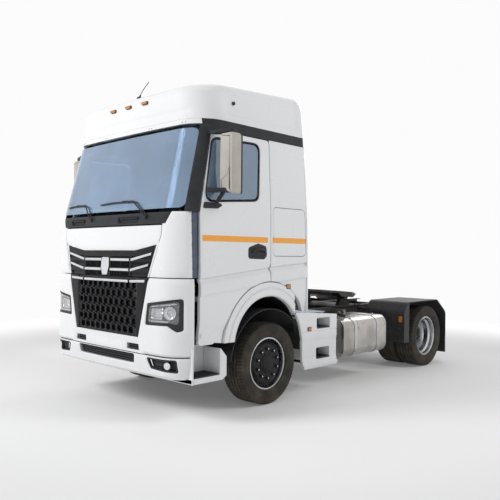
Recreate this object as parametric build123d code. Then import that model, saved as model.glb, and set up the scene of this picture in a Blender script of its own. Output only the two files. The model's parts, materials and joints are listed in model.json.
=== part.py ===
"""Cab-over tractor unit with two axles and a high roof, as separate pieces.

Millimetres. X runs across the truck (+X is its left side), -Y is forward and
+Z is up. The origin lies on the ground under the middle of the whole truck.
"""
from build123d import *
from math import atan2, degrees
import os

# ------------------------------------------------------------------ driving sizes
WHEELBASE = 3600.0
FRONT_OVERHANG = 1420.0
REAR_OVERHANG = 660.0
CAB_HALF = 1250.0            # half width of the cab at the waist
CAB_LENGTH = 2060.0
TYRE_RADIUS = 465.0          # rolling radius
GAP = 10.0                   # shut line between two panels
OVERCUT = 60.0               # how far a cutting solid reaches past the skin
SEAT = 0.3                   # clearance of a piece that lies in a curved seat
RUN_FIT = 0.05               # radial clearance of a pin in its bore

FRONT_Y = -(FRONT_OVERHANG + WHEELBASE + REAR_OVERHANG) / 2
FRONT_AXLE_Y = FRONT_Y + FRONT_OVERHANG
REAR_AXLE_Y = FRONT_AXLE_Y + WHEELBASE
REAR_Y = REAR_AXLE_Y + REAR_OVERHANG
HUB_Z = TYRE_RADIUS

# ------------------------------------------------------------------ ladder frame
RAIL_OUT = 430.0             # outer face of a rail's web
RAIL_TOP = 930.0
RAIL_DEPTH = 270.0
RAIL_FLANGE = 80.0
RAIL_WALL = 10.0
RAIL_SETBACK = 330.0         # rails start this far behind the front
RAIL_END = 70.0              # and end this far before the rear
RAIL_LOW = RAIL_TOP - RAIL_DEPTH
RAIL_FRONT_Y = FRONT_Y + RAIL_SETBACK
RAIL_REAR_Y = REAR_Y - RAIL_END
SPRING_HANGER = 40.0         # depth of a spring hanger under its rail
HANGER_HALF = 45.0
CROSS_DEEP = 170.0
CROSS_LONG = 70.0
# places of the cross members, ahead of (-) or behind (+) the front axle, then the rear axle
CROSS_FRONT = (-1010.0, 1480.0)
CROSS_REAR = (-1450.0, -590.0, 460.0)

# ------------------------------------------------------------------ wheels
TYRE_WIDTH = 313.0
RIM_HALF = 125.0             # half the distance between a rim's flanges
RIM_RADIUS = 298.0
RIM_LIP = 12.0
BEAD_RADIUS = 284.0
WELL_RADIUS = 262.0
RIM_WALL = 9.0
WELL_HALF = 35.0             # half width of the rim's drop centre
SEAT_HALF = 60.0             # where its slopes end
DISC_FOOT = 30.0             # where the disc meets the drop centre
DISC_WALL = 14.0
FRONT_TRACK = 2060.0
REAR_TRACK = 1855.0
DUAL_SPACING = 345.0
FRONT_DISC = 112.0           # disc face from the rim's middle plane
FLAT_RADIUS = 215.0          # flat middle of a wheel disc
HUB_RADIUS = 112.0
SPINDLE_RADIUS = 45.0
TYRE_SHOULDER = 24.0
SIDEWALL_BULGE = 16.0
BULGE_RADIUS = 372.0
SHOULDER_RADIUS = 420.0
BRAKE_RADIUS = 175.0
BRAKE_THICK = 40.0
HUB_NECK = 80.0

# ------------------------------------------------------------------ front axle and steering
KINGPIN_X = 835.0
KINGPIN_RADIUS = 22.0
BEAM_LONG = 90.0
BEAM_DROP = 115.0            # beam's middle below the hubs
BEAM_DEEP = 95.0
BOSS_RADIUS = 46.0
BOSS_HALF = 48.0
EAR_THICK = 46.0
ARM_LENGTH = 200.0
ARM_WIDE = 44.0
ARM_THICK = 30.0
TIE_ROD_RADIUS = 15.0
BRIDGE_OUT = 95.0            # outer face of the knuckle, from the king pin
ARM_LAP = 8.0                # steering arm let into the lower ear
EYE_RADIUS = 28.0
EYE_THICK = 34.0
BALL_RADIUS = 11.0

# ------------------------------------------------------------------ springs
SPRING_X = 410.0
SPRING_WIDE = 90.0
SPRING_FORE = 740.0
SPRING_AFT = 860.0
SPRING_LEAF = 26.0
SPRING_LEAVES = 2
BELLOWS_RADIUS = 118.0
BELLOWS_X = 425.0
BELLOWS_AT = 430.0           # before and behind the rear axle
CARRIER_TOP = 395.0
CARRIER_DEEP = 70.0
CARRIER_WIDE = 110.0
CARRIER_HALF = 540.0
AXLE_TUBE = 72.0
PINION_Z = HUB_Z + 25.0
PINION_LEAD = 400.0          # pinion flange ahead of the rear axle
SHAFT_Z = 600.0              # gearbox end of the propeller shaft

# ------------------------------------------------------------------ tank, boxes, mudguards
TANK_START = 1435.0          # behind the front axle
TANK_LONG = 1040.0
TANK_LOW = 350.0
TANK_HIGH = 860.0
TANK_OUT = 1200.0
TANK_IN = 520.0
TANK_CORNER = 120.0
STRAP_WIDE = 56.0
STRAP_THICK = 6.0
STRAP_AT = (250.0, 790.0)    # behind the tank's front end
SILENCER_LONG = 620.0
BATTERY_AT = 660.0           # battery box, behind the silencer's front end
BATTERY_LONG = 330.0
BOX_START = 620.0            # behind the front axle
BOX_END = 1250.0
BOX_OUT = 1225.0
BOX_LOW = 325.0
BOX_HIGH = 955.0
BOX_WALL = 40.0
SKIRT_START = 515.0
FOOTHOLDS = ((430.0, 560.0), (800.0, 925.0))   # heights of the footholds
GUARD_IN = 590.0
GUARD_OUT = 1250.0
GUARD_WALL = 12.0
GUARD_FORE = 700.0
GUARD_AFT = 630.0
GUARD_TOP = 1015.0
GUARD_ROUND = 110.0
GUARD_LOW = 420.0            # lower edge of the mudguard's apron and rear slope
FLAP_LOW = 145.0

# ------------------------------------------------------------------ coupling
COUPLING_LEAD = 1000.0       # king pin ahead of the rear axle
PLATE_HALF = 460.0
PLATE_FORE = 420.0
PLATE_AFT = 420.0
PLATE_THICK = 34.0
PLATE_HIGH = 1150.0
PIVOT_Z = 1085.0
PIVOT_RADIUS = 32.0
THROAT_RADIUS = 25.4         # for a 50.8 mm king pin
THROAT_MOUTH = 170.0
PLATE_REST = 5.0             # degrees, tipped back on its stop
BASE_THICK = 14.0
RAMP_START = 210.0           # ramps of the horns, behind the king pin
RAMP_DROP = 22.0
RIB_DEEP = 46.0
RIB_HALF = 7.0
RIB_SPREAD = 86.0            # stiffening ribs beside the pivots
RIB_ACROSS = (-210.0, -120.0)
PIVOT_X = PLATE_HALF - 95.0  # middle of each pivot

# ------------------------------------------------------------------ cab
CAB_WALL = 60.0
SKIN = 34.0                  # outer panels and the hatch
GLASS = 8.0
DOOR_GLASS_INSET = 14.0
CORNER = 330.0               # plan radius of the front corners
REAR_CORNER = 50.0
BOW = 36.0                   # how far the front bulges in plan
SILL_Z = 1030.0              # lower edge of the cab's side
DOOR_LOW = 780.0
POST_WIDE = 90.0
POST_DEEP = 70.0
FLOOR_LOW = 1225.0
FLOOR_HIGH = 1275.0
SPLIT_Z = 1455.0             # shut line between bumper and cab
COWL_LOW = 2010.0
COWL_HIGH = 2130.0
COWL_INSET = 6.0             # cowl and windscreen behind the painted skin
GLASS_LOW = 2165.0
CAB_TOP = 3045.0
BAND_TOP = CAB_TOP + 55.0
GLASS_HIGH = CAB_TOP - 45.0
ROOF_WALL = 40.0
DOOR_FRONT = 1115.0          # ahead of the front axle
DOOR_REAR = 70.0
DOOR_SKEW = 195.0            # the door's front edge leans back by this at its top
DOOR_BEND = 2130.0
SIDE_BAND_LOW = CAB_TOP - 55.0   # dark band's lower edge on the sides
BAND_INSET = 6.0             # band behind the painted skin
BAND_DEEP = 24.0             # back of the band's side strips
PILLAR_COVER = 14.0          # thickness of the covers on the front pillars
DOOR_TOP = SIDE_BAND_LOW - GAP
FASCIA_BACK = 1000.0         # roof fascia's ends, ahead of the front axle
DOOR_SWING = 8.0             # floor's clearance of the opening door's front corner
ARCH_AHEAD = 80.0            # middle of the wheel arch, ahead of the axle
ARCH_Z = 690.0
ARCH_OPEN = 550.0
ARCH_LIP = 715.0
FLARE_END = 365.0            # rear end of the flare, behind the axle
LINER_RADIUS = 625.0
LINER_WALL = 8.0
PANEL_SEAT = 46.0            # firewall behind the nose panels, from the skin
PANEL_FIT = 1.0              # play behind a curved panel
FIREWALL = 40.0
BUMPER_WALL = 54.0
GRILLE_LOW = 840.0
GRILLE_HALF = 600.0          # half width of the grille opening's lower edge
BUMPER_LOW = 440.0
BUMPER_WAIST = 640.0         # the bumper's lower part tapers below this
BUMPER_SPLIT = 670.0         # groove between the bumper's two parts
GROOVE_HALF = 5.0
GROOVE_DEEP = 6.0
GRILLE_SKIN = 8.0            # grille and lamps behind the painted skin
GRILLE_DEEP = 40.0
SLAT_PITCH = 48.0
SLAT_THICK = 18.0
SLAT_ROWS = 11
SLAT_START = 872.0
CELL_PITCH = 136.0
CELL_WEB = 14.0
CELLS = 8
BUMPER_REAR = 1222.0         # rear edge of the bumper, ahead of the axle
HINGE_RADIUS = 5.0
KNUCKLE_RADIUS = 10.0
HINGE_INSET = 20.0           # door hinge axis behind the door's front edge
HATCH_HALF_LOW = 760.0
HATCH_HALF_HIGH = 915.0
HATCH_SQUARE = 110.0         # the hatch's sides are upright this far from its top
HATCH_TOP_GAP = 16.0
HATCH_PIN_DROP = 8.0         # hinge axis below the hatch's top edge
HATCH_PIN_INSET = 14.0       # and behind its skin at the middle
HATCH_PIN_RADIUS = 4.0
HATCH_KNUCKLE = 6.0
HATCH_PIN_REACH = 40.0       # pin past each side of its bracket
HATCH_HINGE_X = 600.0
HATCH_HINGE_WIDE = 48.0
BARS_PROUD = 6.0             # bright blades ahead of the painted skin
SHIELD_PROUD = 14.0
GRILLE_RECESS = 9.0          # depth of the hatch's dark field
BLADE_HALF = 430.0           # half length of a middle blade
BLADE_TALL = 30.0
BLADE_GAP = 26.0
BLADES_HIGH = (1638.0, 1531.0)
BLADES_SLOPE = 0.2           # the hatch's outer blades rise outward
BLADE_LOW = 1412.0
BLADE_LOW_SLOPE = 0.04
DEFLECTOR_SLOT = 70.0        # open slot between the corner panels and the doors
COWL_HALF = 965.0            # half length of the cowl's lower edge
COWL_SPREAD = 70.0           # and its upper edge is longer by this at each end
SCREEN_HALF_LOW = 1140.0
SCREEN_HALF_HIGH = 1108.0
WINDOW_ROUND = 75.0
SCREEN_ROUND = 60.0
LAMP_ROUND = 24.0
STEP_IN = 600.0              # inner side of the entry steps
BOX_IN = 500.0               # inner side of the step boxes
MIRROR_REACH = 1500.0
SEAT_X = 560.0               # middle of each seat
SIDE_IN = 900.0              # cutting solids for one side of the cab start here
GLASS_BACK = FRONT_AXLE_Y - 960.0    # the windscreen's cutting solid ends here
NOSE_BACK = FRONT_AXLE_Y - 1000.0    # and those of the nose panels here
ROOF_LAMPS = (-302.0, 0.0, 302.0)


def section_table():
    """Levels of the cab's outer form, from the bumper's lower edge up."""
    rear = FRONT_Y + CAB_LENGTH
    # height, nose back, side in, rear forward
    levels = (
        (BUMPER_LOW, 34.0, 14.0, 0.0),
        (BUMPER_WAIST, 0.0, 0.0, 0.0),
        (SPLIT_Z, 0.0, 0.0, 0.0),
        (COWL_HIGH, 50.0, 4.0, 15.0),
        (BAND_TOP, 298.0, 50.0, 50.0),
    )
    return [(z, FRONT_Y + nose, CAB_HALF - side, rear - back) for z, nose, side, back in levels]


# ------------------------------------------------------------------ helpers
def block(x, y, z):
    """A box between three (low, high) pairs."""
    size = [high - low for low, high in (x, y, z)]
    middle = [(high + low) / 2 for low, high in (x, y, z)]
    return Pos(*middle) * Box(*size)


def rod(start, end, radius):
    """A round bar from one point to another."""
    run = Vector(*end) - Vector(*start)
    seat = Plane(origin=start, z_dir=run)
    return seat * Cylinder(radius, run.length, align=(Align.CENTER, Align.CENTER, Align.MIN))


def flat_face(points, radius):
    """A face inside an outline, with its corners rounded."""
    face = make_face(Polyline(*points, close=True))
    return fillet(face.vertices(), radius) if radius else face


def side_prism(points, x, radius=0.0):
    """A side-view outline of (y, z) points, drawn across from x[0] to x[1]."""
    return extrude(Plane.YZ.offset(x[0]) * flat_face(points, radius), x[1] - x[0])


def front_prism(points, y, radius=0.0):
    """A front-view outline of (x, z) points, drawn back from y[0] to y[1]."""
    seat = Plane(origin=(0, y[1], 0), x_dir=(1, 0, 0), z_dir=(0, -1, 0))
    return extrude(seat * flat_face(points, radius), y[1] - y[0])


def turned(profile, origin, axis=(1, 0, 0)):
    """A ring turned from (along, radius) points about an axis through origin."""
    seat = Plane(origin=origin, x_dir=axis, z_dir=(0, 0, 1) if axis[2] == 0 else (0, 1, 0))
    face = make_face(Polyline(*profile, close=True))
    return seat * revolve(face, Axis.X)


def both_sides(piece):
    """The piece and its mirror image on the other side of the truck."""
    return piece + mirror(piece, about=Plane.YZ)


def flipped(piece):
    """The mirror image on the other side of the truck."""
    return mirror(piece, about=Plane.YZ)


# ------------------------------------------------------------------ cab form
def level_at(z):
    """Nose y, half width and rear y of the cab's outer form at a height."""
    table = section_table()
    for low, high in zip(table, table[1:]):
        if z <= high[0]:
            share = (z - low[0]) / (high[0] - low[0])
            return [a + (b - a) * share for a, b in zip(low[1:], high[1:])]
    return list(table[-1][1:])


def cab_outline(z, inset, values=None):
    """The cab's plan outline at a height, a wall's thickness inside its skin."""
    least_corner = 5.0
    nose, half, rear = values or level_at(z)
    nose, half, rear = nose + inset, half - inset, rear - inset
    front = ThreePointArc((half, nose + BOW), (0, nose), (-half, nose + BOW))
    sides = Polyline((half, nose + BOW), (half, rear), (-half, rear), (-half, nose + BOW))
    face = make_face([front, sides])
    ends = face.vertices().group_by(Axis.Y)
    face = fillet(ends[0], CORNER - inset)
    ends = face.vertices().group_by(Axis.Y)
    return Pos(0, 0, z) * fillet(ends[-1], max(REAR_CORNER - inset, least_corner))


def cab_form(low, high, inset=0.0):
    """The cab's outer form between two heights, inset by a wall."""
    inner = [row[0] for row in section_table() if low < row[0] < high]
    heights = [low, *inner, high]
    body = Part()
    for start, end in zip(heights, heights[1:]):
        body += loft([cab_outline(start, inset), cab_outline(end, inset)], ruled=True)
    return body


def cab_shell(low, high, outer, inner):
    """A shell of the cab's form between two insets, open above and below."""
    return cab_form(low, high, outer) - cab_form(low, high, inner)


def arch_disc(radius, x):
    """A disc about the middle of the wheel arch."""
    middle_y = FRONT_AXLE_Y - ARCH_AHEAD
    return rod((x[0], middle_y, ARCH_Z), (x[1], middle_y, ARCH_Z), radius)


def door_outline(grow=0.0):
    """The door's outline in side view, grown by a shut line."""
    foot, heel = 340.0, 470.0    # ends of the low part and of its slope, behind the front edge
    front = FRONT_AXLE_Y - DOOR_FRONT - grow
    rear = FRONT_AXLE_Y - DOOR_REAR + grow
    low = DOOR_LOW - grow
    return (
        (front, low),
        (front + foot + 2 * grow, low),
        (front + heel + 2 * grow, SILL_Z - grow),
        (rear, SILL_Z - grow),
        (rear, DOOR_TOP + grow),
        (front + DOOR_SKEW, DOOR_TOP + grow),
        (front, DOOR_BEND),
    )


def door_window(grow=0.0):
    """The side window's outline in side view."""
    front = FRONT_AXLE_Y - DOOR_FRONT
    rear = FRONT_AXLE_Y - DOOR_REAR
    # distance inside the door's nearer edge, height
    low_front, low_rear = (75.0, 2250.0), (205.0, 2310.0)
    high_rear, high_front = (165.0, 2905.0), (205.0, 2885.0)
    return (
        (front + low_front[0] - grow, low_front[1] - grow),
        (rear - low_rear[0] + grow, low_rear[1] - grow),
        (rear - high_rear[0] + grow, high_rear[1] + grow),
        (front + high_front[0] - grow, high_front[1] + grow),
    )


def windscreen_outline(grow=0.0):
    """The windscreen's outline in front view."""
    low, high = SCREEN_HALF_LOW + grow, SCREEN_HALF_HIGH + grow
    return (
        (-low, GLASS_LOW - grow),
        (low, GLASS_LOW - grow),
        (high, GLASS_HIGH + grow),
        (-high, GLASS_HIGH + grow),
    )


def cowl_outline(grow=0.0):
    """The cowl's outline in front view, grown by a shut line."""
    low, high = COWL_HALF + grow, COWL_HALF + COWL_SPREAD + grow
    return (
        (-low, COWL_LOW - grow), (low, COWL_LOW - grow),
        (high, COWL_HIGH), (-high, COWL_HIGH),
    )


def field_outline():
    """The dark field of the hatch in front view, with its raised ends."""
    low, middle_high, end_high = SPLIT_Z - GAP, 1735.0, 1795.0
    half_low, half_bend, half_high = HATCH_HALF_LOW - 16.0, 500.0, HATCH_HALF_LOW + 92.0
    return (
        (-half_low, low), (half_low, low), (half_high, end_high),
        (half_bend, middle_high), (-half_bend, middle_high), (-half_high, end_high),
    )


def blade_outlines(z, slope):
    """One row of blades in front view: a middle one and a rising one on each side."""
    slant = 8.0                  # how far a blade's ends lean
    margin = 40.0                # outer ends inside the hatch's edge
    widen = (HATCH_HALF_HIGH - HATCH_HALF_LOW) / (COWL_LOW - SPLIT_Z)
    low, high = z - BLADE_TALL / 2, z + BLADE_TALL / 2
    upper_half = BLADE_HALF - slant
    middle = ((-BLADE_HALF, low), (BLADE_HALF, low), (upper_half, high), (-upper_half, high))
    start = BLADE_HALF + BLADE_GAP
    end = HATCH_HALF_LOW - margin + widen * (z - SPLIT_Z)
    rise = slope * (end - start)
    outer = ((start, low), (end, low + rise), (end + slant, high + rise), (start - slant, high))
    return [middle, outer, [(-x, height) for x, height in outer]]


def hatch_outline(grow=0.0):
    """The front hatch's outline in front view, grown sideways."""
    low, high = HATCH_HALF_LOW + grow, HATCH_HALF_HIGH + grow
    bend = COWL_LOW - HATCH_SQUARE
    return (
        (-low, SPLIT_Z), (low, SPLIT_Z), (high, bend),
        (high, COWL_LOW), (-high, COWL_LOW), (-high, bend),
    )


def grille_outline(grow=0.0):
    """The lower grille opening's outline in front view, grown sideways."""
    low, high = GRILLE_HALF + grow, HATCH_HALF_LOW + grow
    return ((-low, GRILLE_LOW), (low, GRILLE_LOW), (high, SPLIT_Z), (-high, SPLIT_Z))


# ------------------------------------------------------------------ chassis
def ladder_frame():
    """Two channel rails, their cross members and the front spring hangers."""
    rail_y = (RAIL_FRONT_Y, RAIL_REAR_Y)
    web_in = RAIL_OUT - RAIL_WALL
    flange_in = RAIL_OUT - RAIL_FLANGE
    rail = block((flange_in, RAIL_OUT), rail_y, (RAIL_LOW, RAIL_TOP))
    hollow = (RAIL_LOW + RAIL_WALL, RAIL_TOP - RAIL_WALL)
    rail -= block((flange_in - OVERCUT, web_in), rail_y, hollow)
    ladder = both_sides(rail)
    middle_z = RAIL_TOP - RAIL_DEPTH / 2
    places = [FRONT_AXLE_Y + place for place in CROSS_FRONT]
    places += [REAR_AXLE_Y + place for place in CROSS_REAR]
    for y in places:
        span = (middle_z - CROSS_DEEP / 2, middle_z + CROSS_DEEP / 2)
        ladder += block((-web_in, web_in), (y - CROSS_LONG / 2, y + CROSS_LONG / 2), span)
    cheek = 12.0
    hanger_x = (SPRING_X - SPRING_WIDE / 2 - cheek, SPRING_X + SPRING_WIDE / 2 + cheek)
    hanger_z = (RAIL_LOW - SPRING_HANGER, RAIL_LOW)
    hanger = Part()
    for place in (-SPRING_FORE, SPRING_AFT):
        y = FRONT_AXLE_Y + place
        hanger += block(hanger_x, (y - HANGER_HALF, y + HANGER_HALF), hanger_z)
    return ladder + both_sides(hanger)


def spring_curve(drop):
    """Height of the leaf pack's upper face along its length, as an arc."""
    seat_tall = 40.0
    end_z = RAIL_LOW - SPRING_HANGER - drop
    low_z = HUB_Z - BEAM_DROP + BEAM_DEEP / 2 + SPRING_LEAVES * SPRING_LEAF + seat_tall - drop
    return (
        (FRONT_AXLE_Y - SPRING_FORE - HANGER_HALF, end_z),
        (FRONT_AXLE_Y, low_z),
        (FRONT_AXLE_Y + SPRING_AFT + HANGER_HALF, end_z),
    )


def leaf_springs():
    """Parabolic leaf packs, each with its seat on the axle beam."""
    clamp_half, clamp_lip, clamp_tall = 60.0, 8.0, 22.0
    leaf_x = (SPRING_X - SPRING_WIDE / 2, SPRING_X + SPRING_WIDE / 2)
    upper = spring_curve(0.0)
    lower = spring_curve(SPRING_LEAF * SPRING_LEAVES)
    edge = [ThreePointArc(*upper), Line(upper[2], lower[2])]
    edge += [ThreePointArc(lower[2], lower[1], lower[0]), Line(lower[0], upper[0])]
    pack = extrude(Plane.YZ.offset(leaf_x[0]) * make_face(edge), SPRING_WIDE)
    beam_top = HUB_Z - BEAM_DROP + BEAM_DEEP / 2
    seat_y = (FRONT_AXLE_Y - clamp_half, FRONT_AXLE_Y + clamp_half)
    seat = block(leaf_x, seat_y, (beam_top, lower[1][1] + SPRING_LEAF))
    clamp_x = (leaf_x[0] - clamp_lip, leaf_x[1] + clamp_lip)
    clamp = block(clamp_x, seat_y, (lower[1][1] + SPRING_LEAF, upper[1][1] + clamp_tall))
    return both_sides(pack + seat + clamp)


def front_axle():
    """The dropped I-beam with a king pin in the boss at each end."""
    middle = HUB_Z - BEAM_DROP
    top, low = middle + BEAM_DEEP / 2, middle - BEAM_DEEP / 2
    rise = HUB_Z - 40.0          # underside of the beam's raised ends
    crown = rise + 75.0          # and their upper side
    elbow, knee = 60.0, 200.0    # upper bends, from the king pin
    sole, heel = 90.0, 230.0     # lower bends
    dip = 10.0
    right = (
        (KINGPIN_X - knee, top), (KINGPIN_X - elbow, crown), (KINGPIN_X, crown), (KINGPIN_X, rise),
        (KINGPIN_X - sole, rise - dip), (KINGPIN_X - heel, low),
    )
    outline = [*right, *[(-x, z) for x, z in reversed(right)]]
    beam = front_prism(outline, (FRONT_AXLE_Y - BEAM_LONG / 2, FRONT_AXLE_Y + BEAM_LONG / 2))
    flute, flute_deep, flange = KINGPIN_X - heel - 20.0, 30.0, 18.0
    for side in (-1, 1):
        edges = (FRONT_AXLE_Y + side * BEAM_LONG / 2, FRONT_AXLE_Y + side * (BEAM_LONG / 2 - flute_deep))
        beam -= block((-flute, flute), (min(edges), max(edges)), (low + flange, top - flange))
    pin_half = BOSS_HALF + EAR_THICK + 6.0
    y = FRONT_AXLE_Y
    for x in (-KINGPIN_X, KINGPIN_X):
        beam += rod((x, y, HUB_Z - BOSS_HALF), (x, y, HUB_Z + BOSS_HALF), BOSS_RADIUS)
        beam += rod((x, y, HUB_Z - pin_half), (x, y, HUB_Z + pin_half), KINGPIN_RADIUS)
    return beam


def knuckle():
    """Left steering knuckle: two ears, stub spindle and the tie rod's arm."""
    ear_in = BOSS_HALF + SEAT
    ear_out = ear_in + EAR_THICK
    bridge_out = KINGPIN_X + BRIDGE_OUT
    web_gap, web_half, overlap = 12.0, 62.0, 5.0
    body = Part()
    for low, high in ((-ear_out, -ear_in), (ear_in, ear_out)):
        foot = (KINGPIN_X, FRONT_AXLE_Y, HUB_Z + low)
        body += rod(foot, (KINGPIN_X, FRONT_AXLE_Y, HUB_Z + high), BOSS_RADIUS)
        ear_y = (FRONT_AXLE_Y - BOSS_RADIUS, FRONT_AXLE_Y + BOSS_RADIUS)
        body += block((KINGPIN_X, bridge_out), ear_y, (HUB_Z + low, HUB_Z + high))
    web_x = (KINGPIN_X + BOSS_RADIUS + web_gap, bridge_out)
    web_y = (FRONT_AXLE_Y - web_half, FRONT_AXLE_Y + web_half)
    body += block(web_x, web_y, (HUB_Z - ear_out, HUB_Z + ear_out))
    spindle_end = FRONT_TRACK / 2 + FRONT_DISC
    foot = (bridge_out - overlap, FRONT_AXLE_Y, HUB_Z)
    body += rod(foot, (spindle_end, FRONT_AXLE_Y, HUB_Z), SPINDLE_RADIUS)
    arm_z = (HUB_Z - ear_out - ARM_THICK + ARM_LAP, HUB_Z - ear_out + ARM_LAP)
    arm_x = (KINGPIN_X - ARM_WIDE / 2, KINGPIN_X + ARM_WIDE / 2)
    ball_y = FRONT_AXLE_Y + ARM_LENGTH
    body += block(arm_x, (FRONT_AXLE_Y + KINGPIN_RADIUS, ball_y), arm_z)
    body += rod((KINGPIN_X, ball_y, arm_z[0]), (KINGPIN_X, ball_y, arm_z[1]), ARM_WIDE / 2)
    ball_low = arm_z[0] - EYE_THICK - 4.0
    body += rod((KINGPIN_X, ball_y, ball_low), (KINGPIN_X, ball_y, arm_z[0] + 1.0), BALL_RADIUS)
    reach = ear_out + OVERCUT
    pin = ((KINGPIN_X, FRONT_AXLE_Y, HUB_Z - reach), (KINGPIN_X, FRONT_AXLE_Y, HUB_Z + reach))
    return body - rod(*pin, KINGPIN_RADIUS + RUN_FIT)


def tie_rod():
    """Track rod between the two knuckle arms, with an eye on each ball pin."""
    play = 1.0
    ear_out = BOSS_HALF + SEAT + EAR_THICK
    eye_top = HUB_Z - ear_out - ARM_THICK + ARM_LAP - play
    eye_low = eye_top - EYE_THICK
    y = FRONT_AXLE_Y + ARM_LENGTH
    middle = (eye_top + eye_low) / 2
    bar = rod((-KINGPIN_X, y, middle), (KINGPIN_X, y, middle), TIE_ROD_RADIUS)
    for x in (-KINGPIN_X, KINGPIN_X):
        bar += rod((x, y, eye_low), (x, y, eye_top), EYE_RADIUS)
    for x in (-KINGPIN_X, KINGPIN_X):
        bar -= rod((x, y, eye_low - play), (x, y, eye_top + play), BALL_RADIUS + RUN_FIT)
    return bar


def rear_axle():
    """Driven axle: banjo housing, tubes, spindles and the air spring carriers."""
    centre = (0, REAR_AXLE_Y, HUB_Z)
    spindle_out, tube_in = 90.0, 150.0       # past and short of the wheels' meeting face
    banjo, banjo_half, neck, neck_half = 205.0, 110.0, 95.0, 190.0
    nose_radius, nose_back = 92.0, 100.0
    saddle_half, saddle_rise = 80.0, 40.0
    shape = turned(
        ((-neck_half, 0), (-neck_half, neck), (-banjo_half, banjo), (banjo_half, banjo),
         (neck_half, neck), (neck_half, 0)), centre)
    tube_end = REAR_TRACK / 2 - tube_in
    shape += rod((-tube_end, REAR_AXLE_Y, HUB_Z), (tube_end, REAR_AXLE_Y, HUB_Z), AXLE_TUBE)
    spindle_end = REAR_TRACK / 2 + spindle_out
    shape += rod((-spindle_end, REAR_AXLE_Y, HUB_Z), (spindle_end, REAR_AXLE_Y, HUB_Z), SPINDLE_RADIUS)
    nose = (0, REAR_AXLE_Y - PINION_LEAD, PINION_Z)
    shape += rod((0, REAR_AXLE_Y - nose_back, PINION_Z), nose, nose_radius)
    carrier_x = (BELLOWS_X - CARRIER_WIDE / 2, BELLOWS_X + CARRIER_WIDE / 2)
    carrier_y = (REAR_AXLE_Y - CARRIER_HALF, REAR_AXLE_Y + CARRIER_HALF)
    carrier_low = CARRIER_TOP - CARRIER_DEEP
    carrier = block(carrier_x, carrier_y, (carrier_low, CARRIER_TOP))
    saddle_y = (REAR_AXLE_Y - saddle_half, REAR_AXLE_Y + saddle_half)
    carrier += block(carrier_x, saddle_y, (carrier_low, HUB_Z + saddle_rise))
    return shape + both_sides(carrier)


def air_springs():
    """Four air bellows between the rear axle's carriers and the rails."""
    height = RAIL_LOW - CARRIER_TOP
    full = BELLOWS_RADIUS
    foot, waist, crown, plate = full - 35, full - 12, full - 40, 14
    profile = (
        (0, 0), (0, foot), (60, foot), (85, full), (150, full), (165, waist), (180, full),
        (235, full), (height - plate, crown), (height, crown), (height, 0),
    )
    springs = Part()
    for x in (-BELLOWS_X, BELLOWS_X):
        for place in (-BELLOWS_AT, BELLOWS_AT):
            springs += turned(profile, (x, REAR_AXLE_Y + place, CARRIER_TOP), (0, 0, 1))
    return springs


def driveline():
    """Engine as one block, gearbox and the shaft to the rear axle."""
    engine_half, engine_z = 330.0, (520.0, 1150.0)
    engine_y = (FRONT_AXLE_Y - 790.0, FRONT_AXLE_Y + 520.0)
    bell_z, bell_radius, bell_long = 700.0, 270.0, 190.0
    box_half, box_z, box_end = 210.0, (510.0, 890.0), FRONT_AXLE_Y + 1330.0
    flange_radius, flange_long, shaft_radius = 85.0, 60.0, 55.0
    lap = 5.0
    unit = block((-engine_half, engine_half), engine_y, engine_z)
    unit += rod((0, engine_y[1] - lap, bell_z), (0, engine_y[1] + bell_long, bell_z), bell_radius)
    unit += block((-box_half, box_half), (engine_y[1] + bell_long - 2 * lap, box_end), box_z)
    unit += rod((0, box_end - lap, SHAFT_Z), (0, box_end + flange_long, SHAFT_Z), flange_radius)
    nose = REAR_AXLE_Y - PINION_LEAD
    shaft = rod((0, box_end + flange_long / 2, SHAFT_Z), (0, nose + 4 * lap, PINION_Z), shaft_radius)
    beyond = 90.0
    shaft -= block((-beyond, beyond), (nose, nose + beyond), (PINION_Z - beyond, PINION_Z + beyond))
    return unit + shaft


def radiator():
    """Cooling pack upright between the rails' front ends."""
    half, deep, low, high = 375.0, 115.0, 560.0, 1190.0
    return block((-half, half), (RAIL_FRONT_Y - deep, RAIL_FRONT_Y), (low, high))


# ------------------------------------------------------------------ wheels
def rim_profile(disc_at, outward):
    """Half section of one rim and its disc; outward is the disc's side."""
    half, lip = RIM_HALF, RIM_LIP
    seat = BEAD_RADIUS - 3.0     # the bead seat's inner end
    outer = [(-half + lip, BEAD_RADIUS), (-SEAT_HALF, seat), (-WELL_HALF, WELL_RADIUS)]
    outer += [(-x, radius) for x, radius in reversed(outer)]
    well_in = WELL_RADIUS - RIM_WALL
    inner = [(half, BEAD_RADIUS - RIM_WALL), (SEAT_HALF, seat - RIM_WALL), (WELL_HALF, well_in)]
    inner += [(-x, radius) for x, radius in reversed(inner)]
    barrel = [(-half, RIM_RADIUS), (-half + lip, RIM_RADIUS), *outer]
    barrel += [(half - lip, RIM_RADIUS), (half, RIM_RADIUS), *inner]
    face = outward * disc_at
    back = outward * (disc_at - DISC_WALL)
    foot = outward * DISC_FOOT
    root = WELL_RADIUS - RIM_WALL / 2
    bore = HUB_RADIUS - 20.0
    disc = ((foot, root), (face, FLAT_RADIUS), (face, bore), (back, bore))
    disc += ((back, FLAT_RADIUS - DISC_WALL), (foot - outward * DISC_WALL, root))
    return barrel, disc


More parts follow.
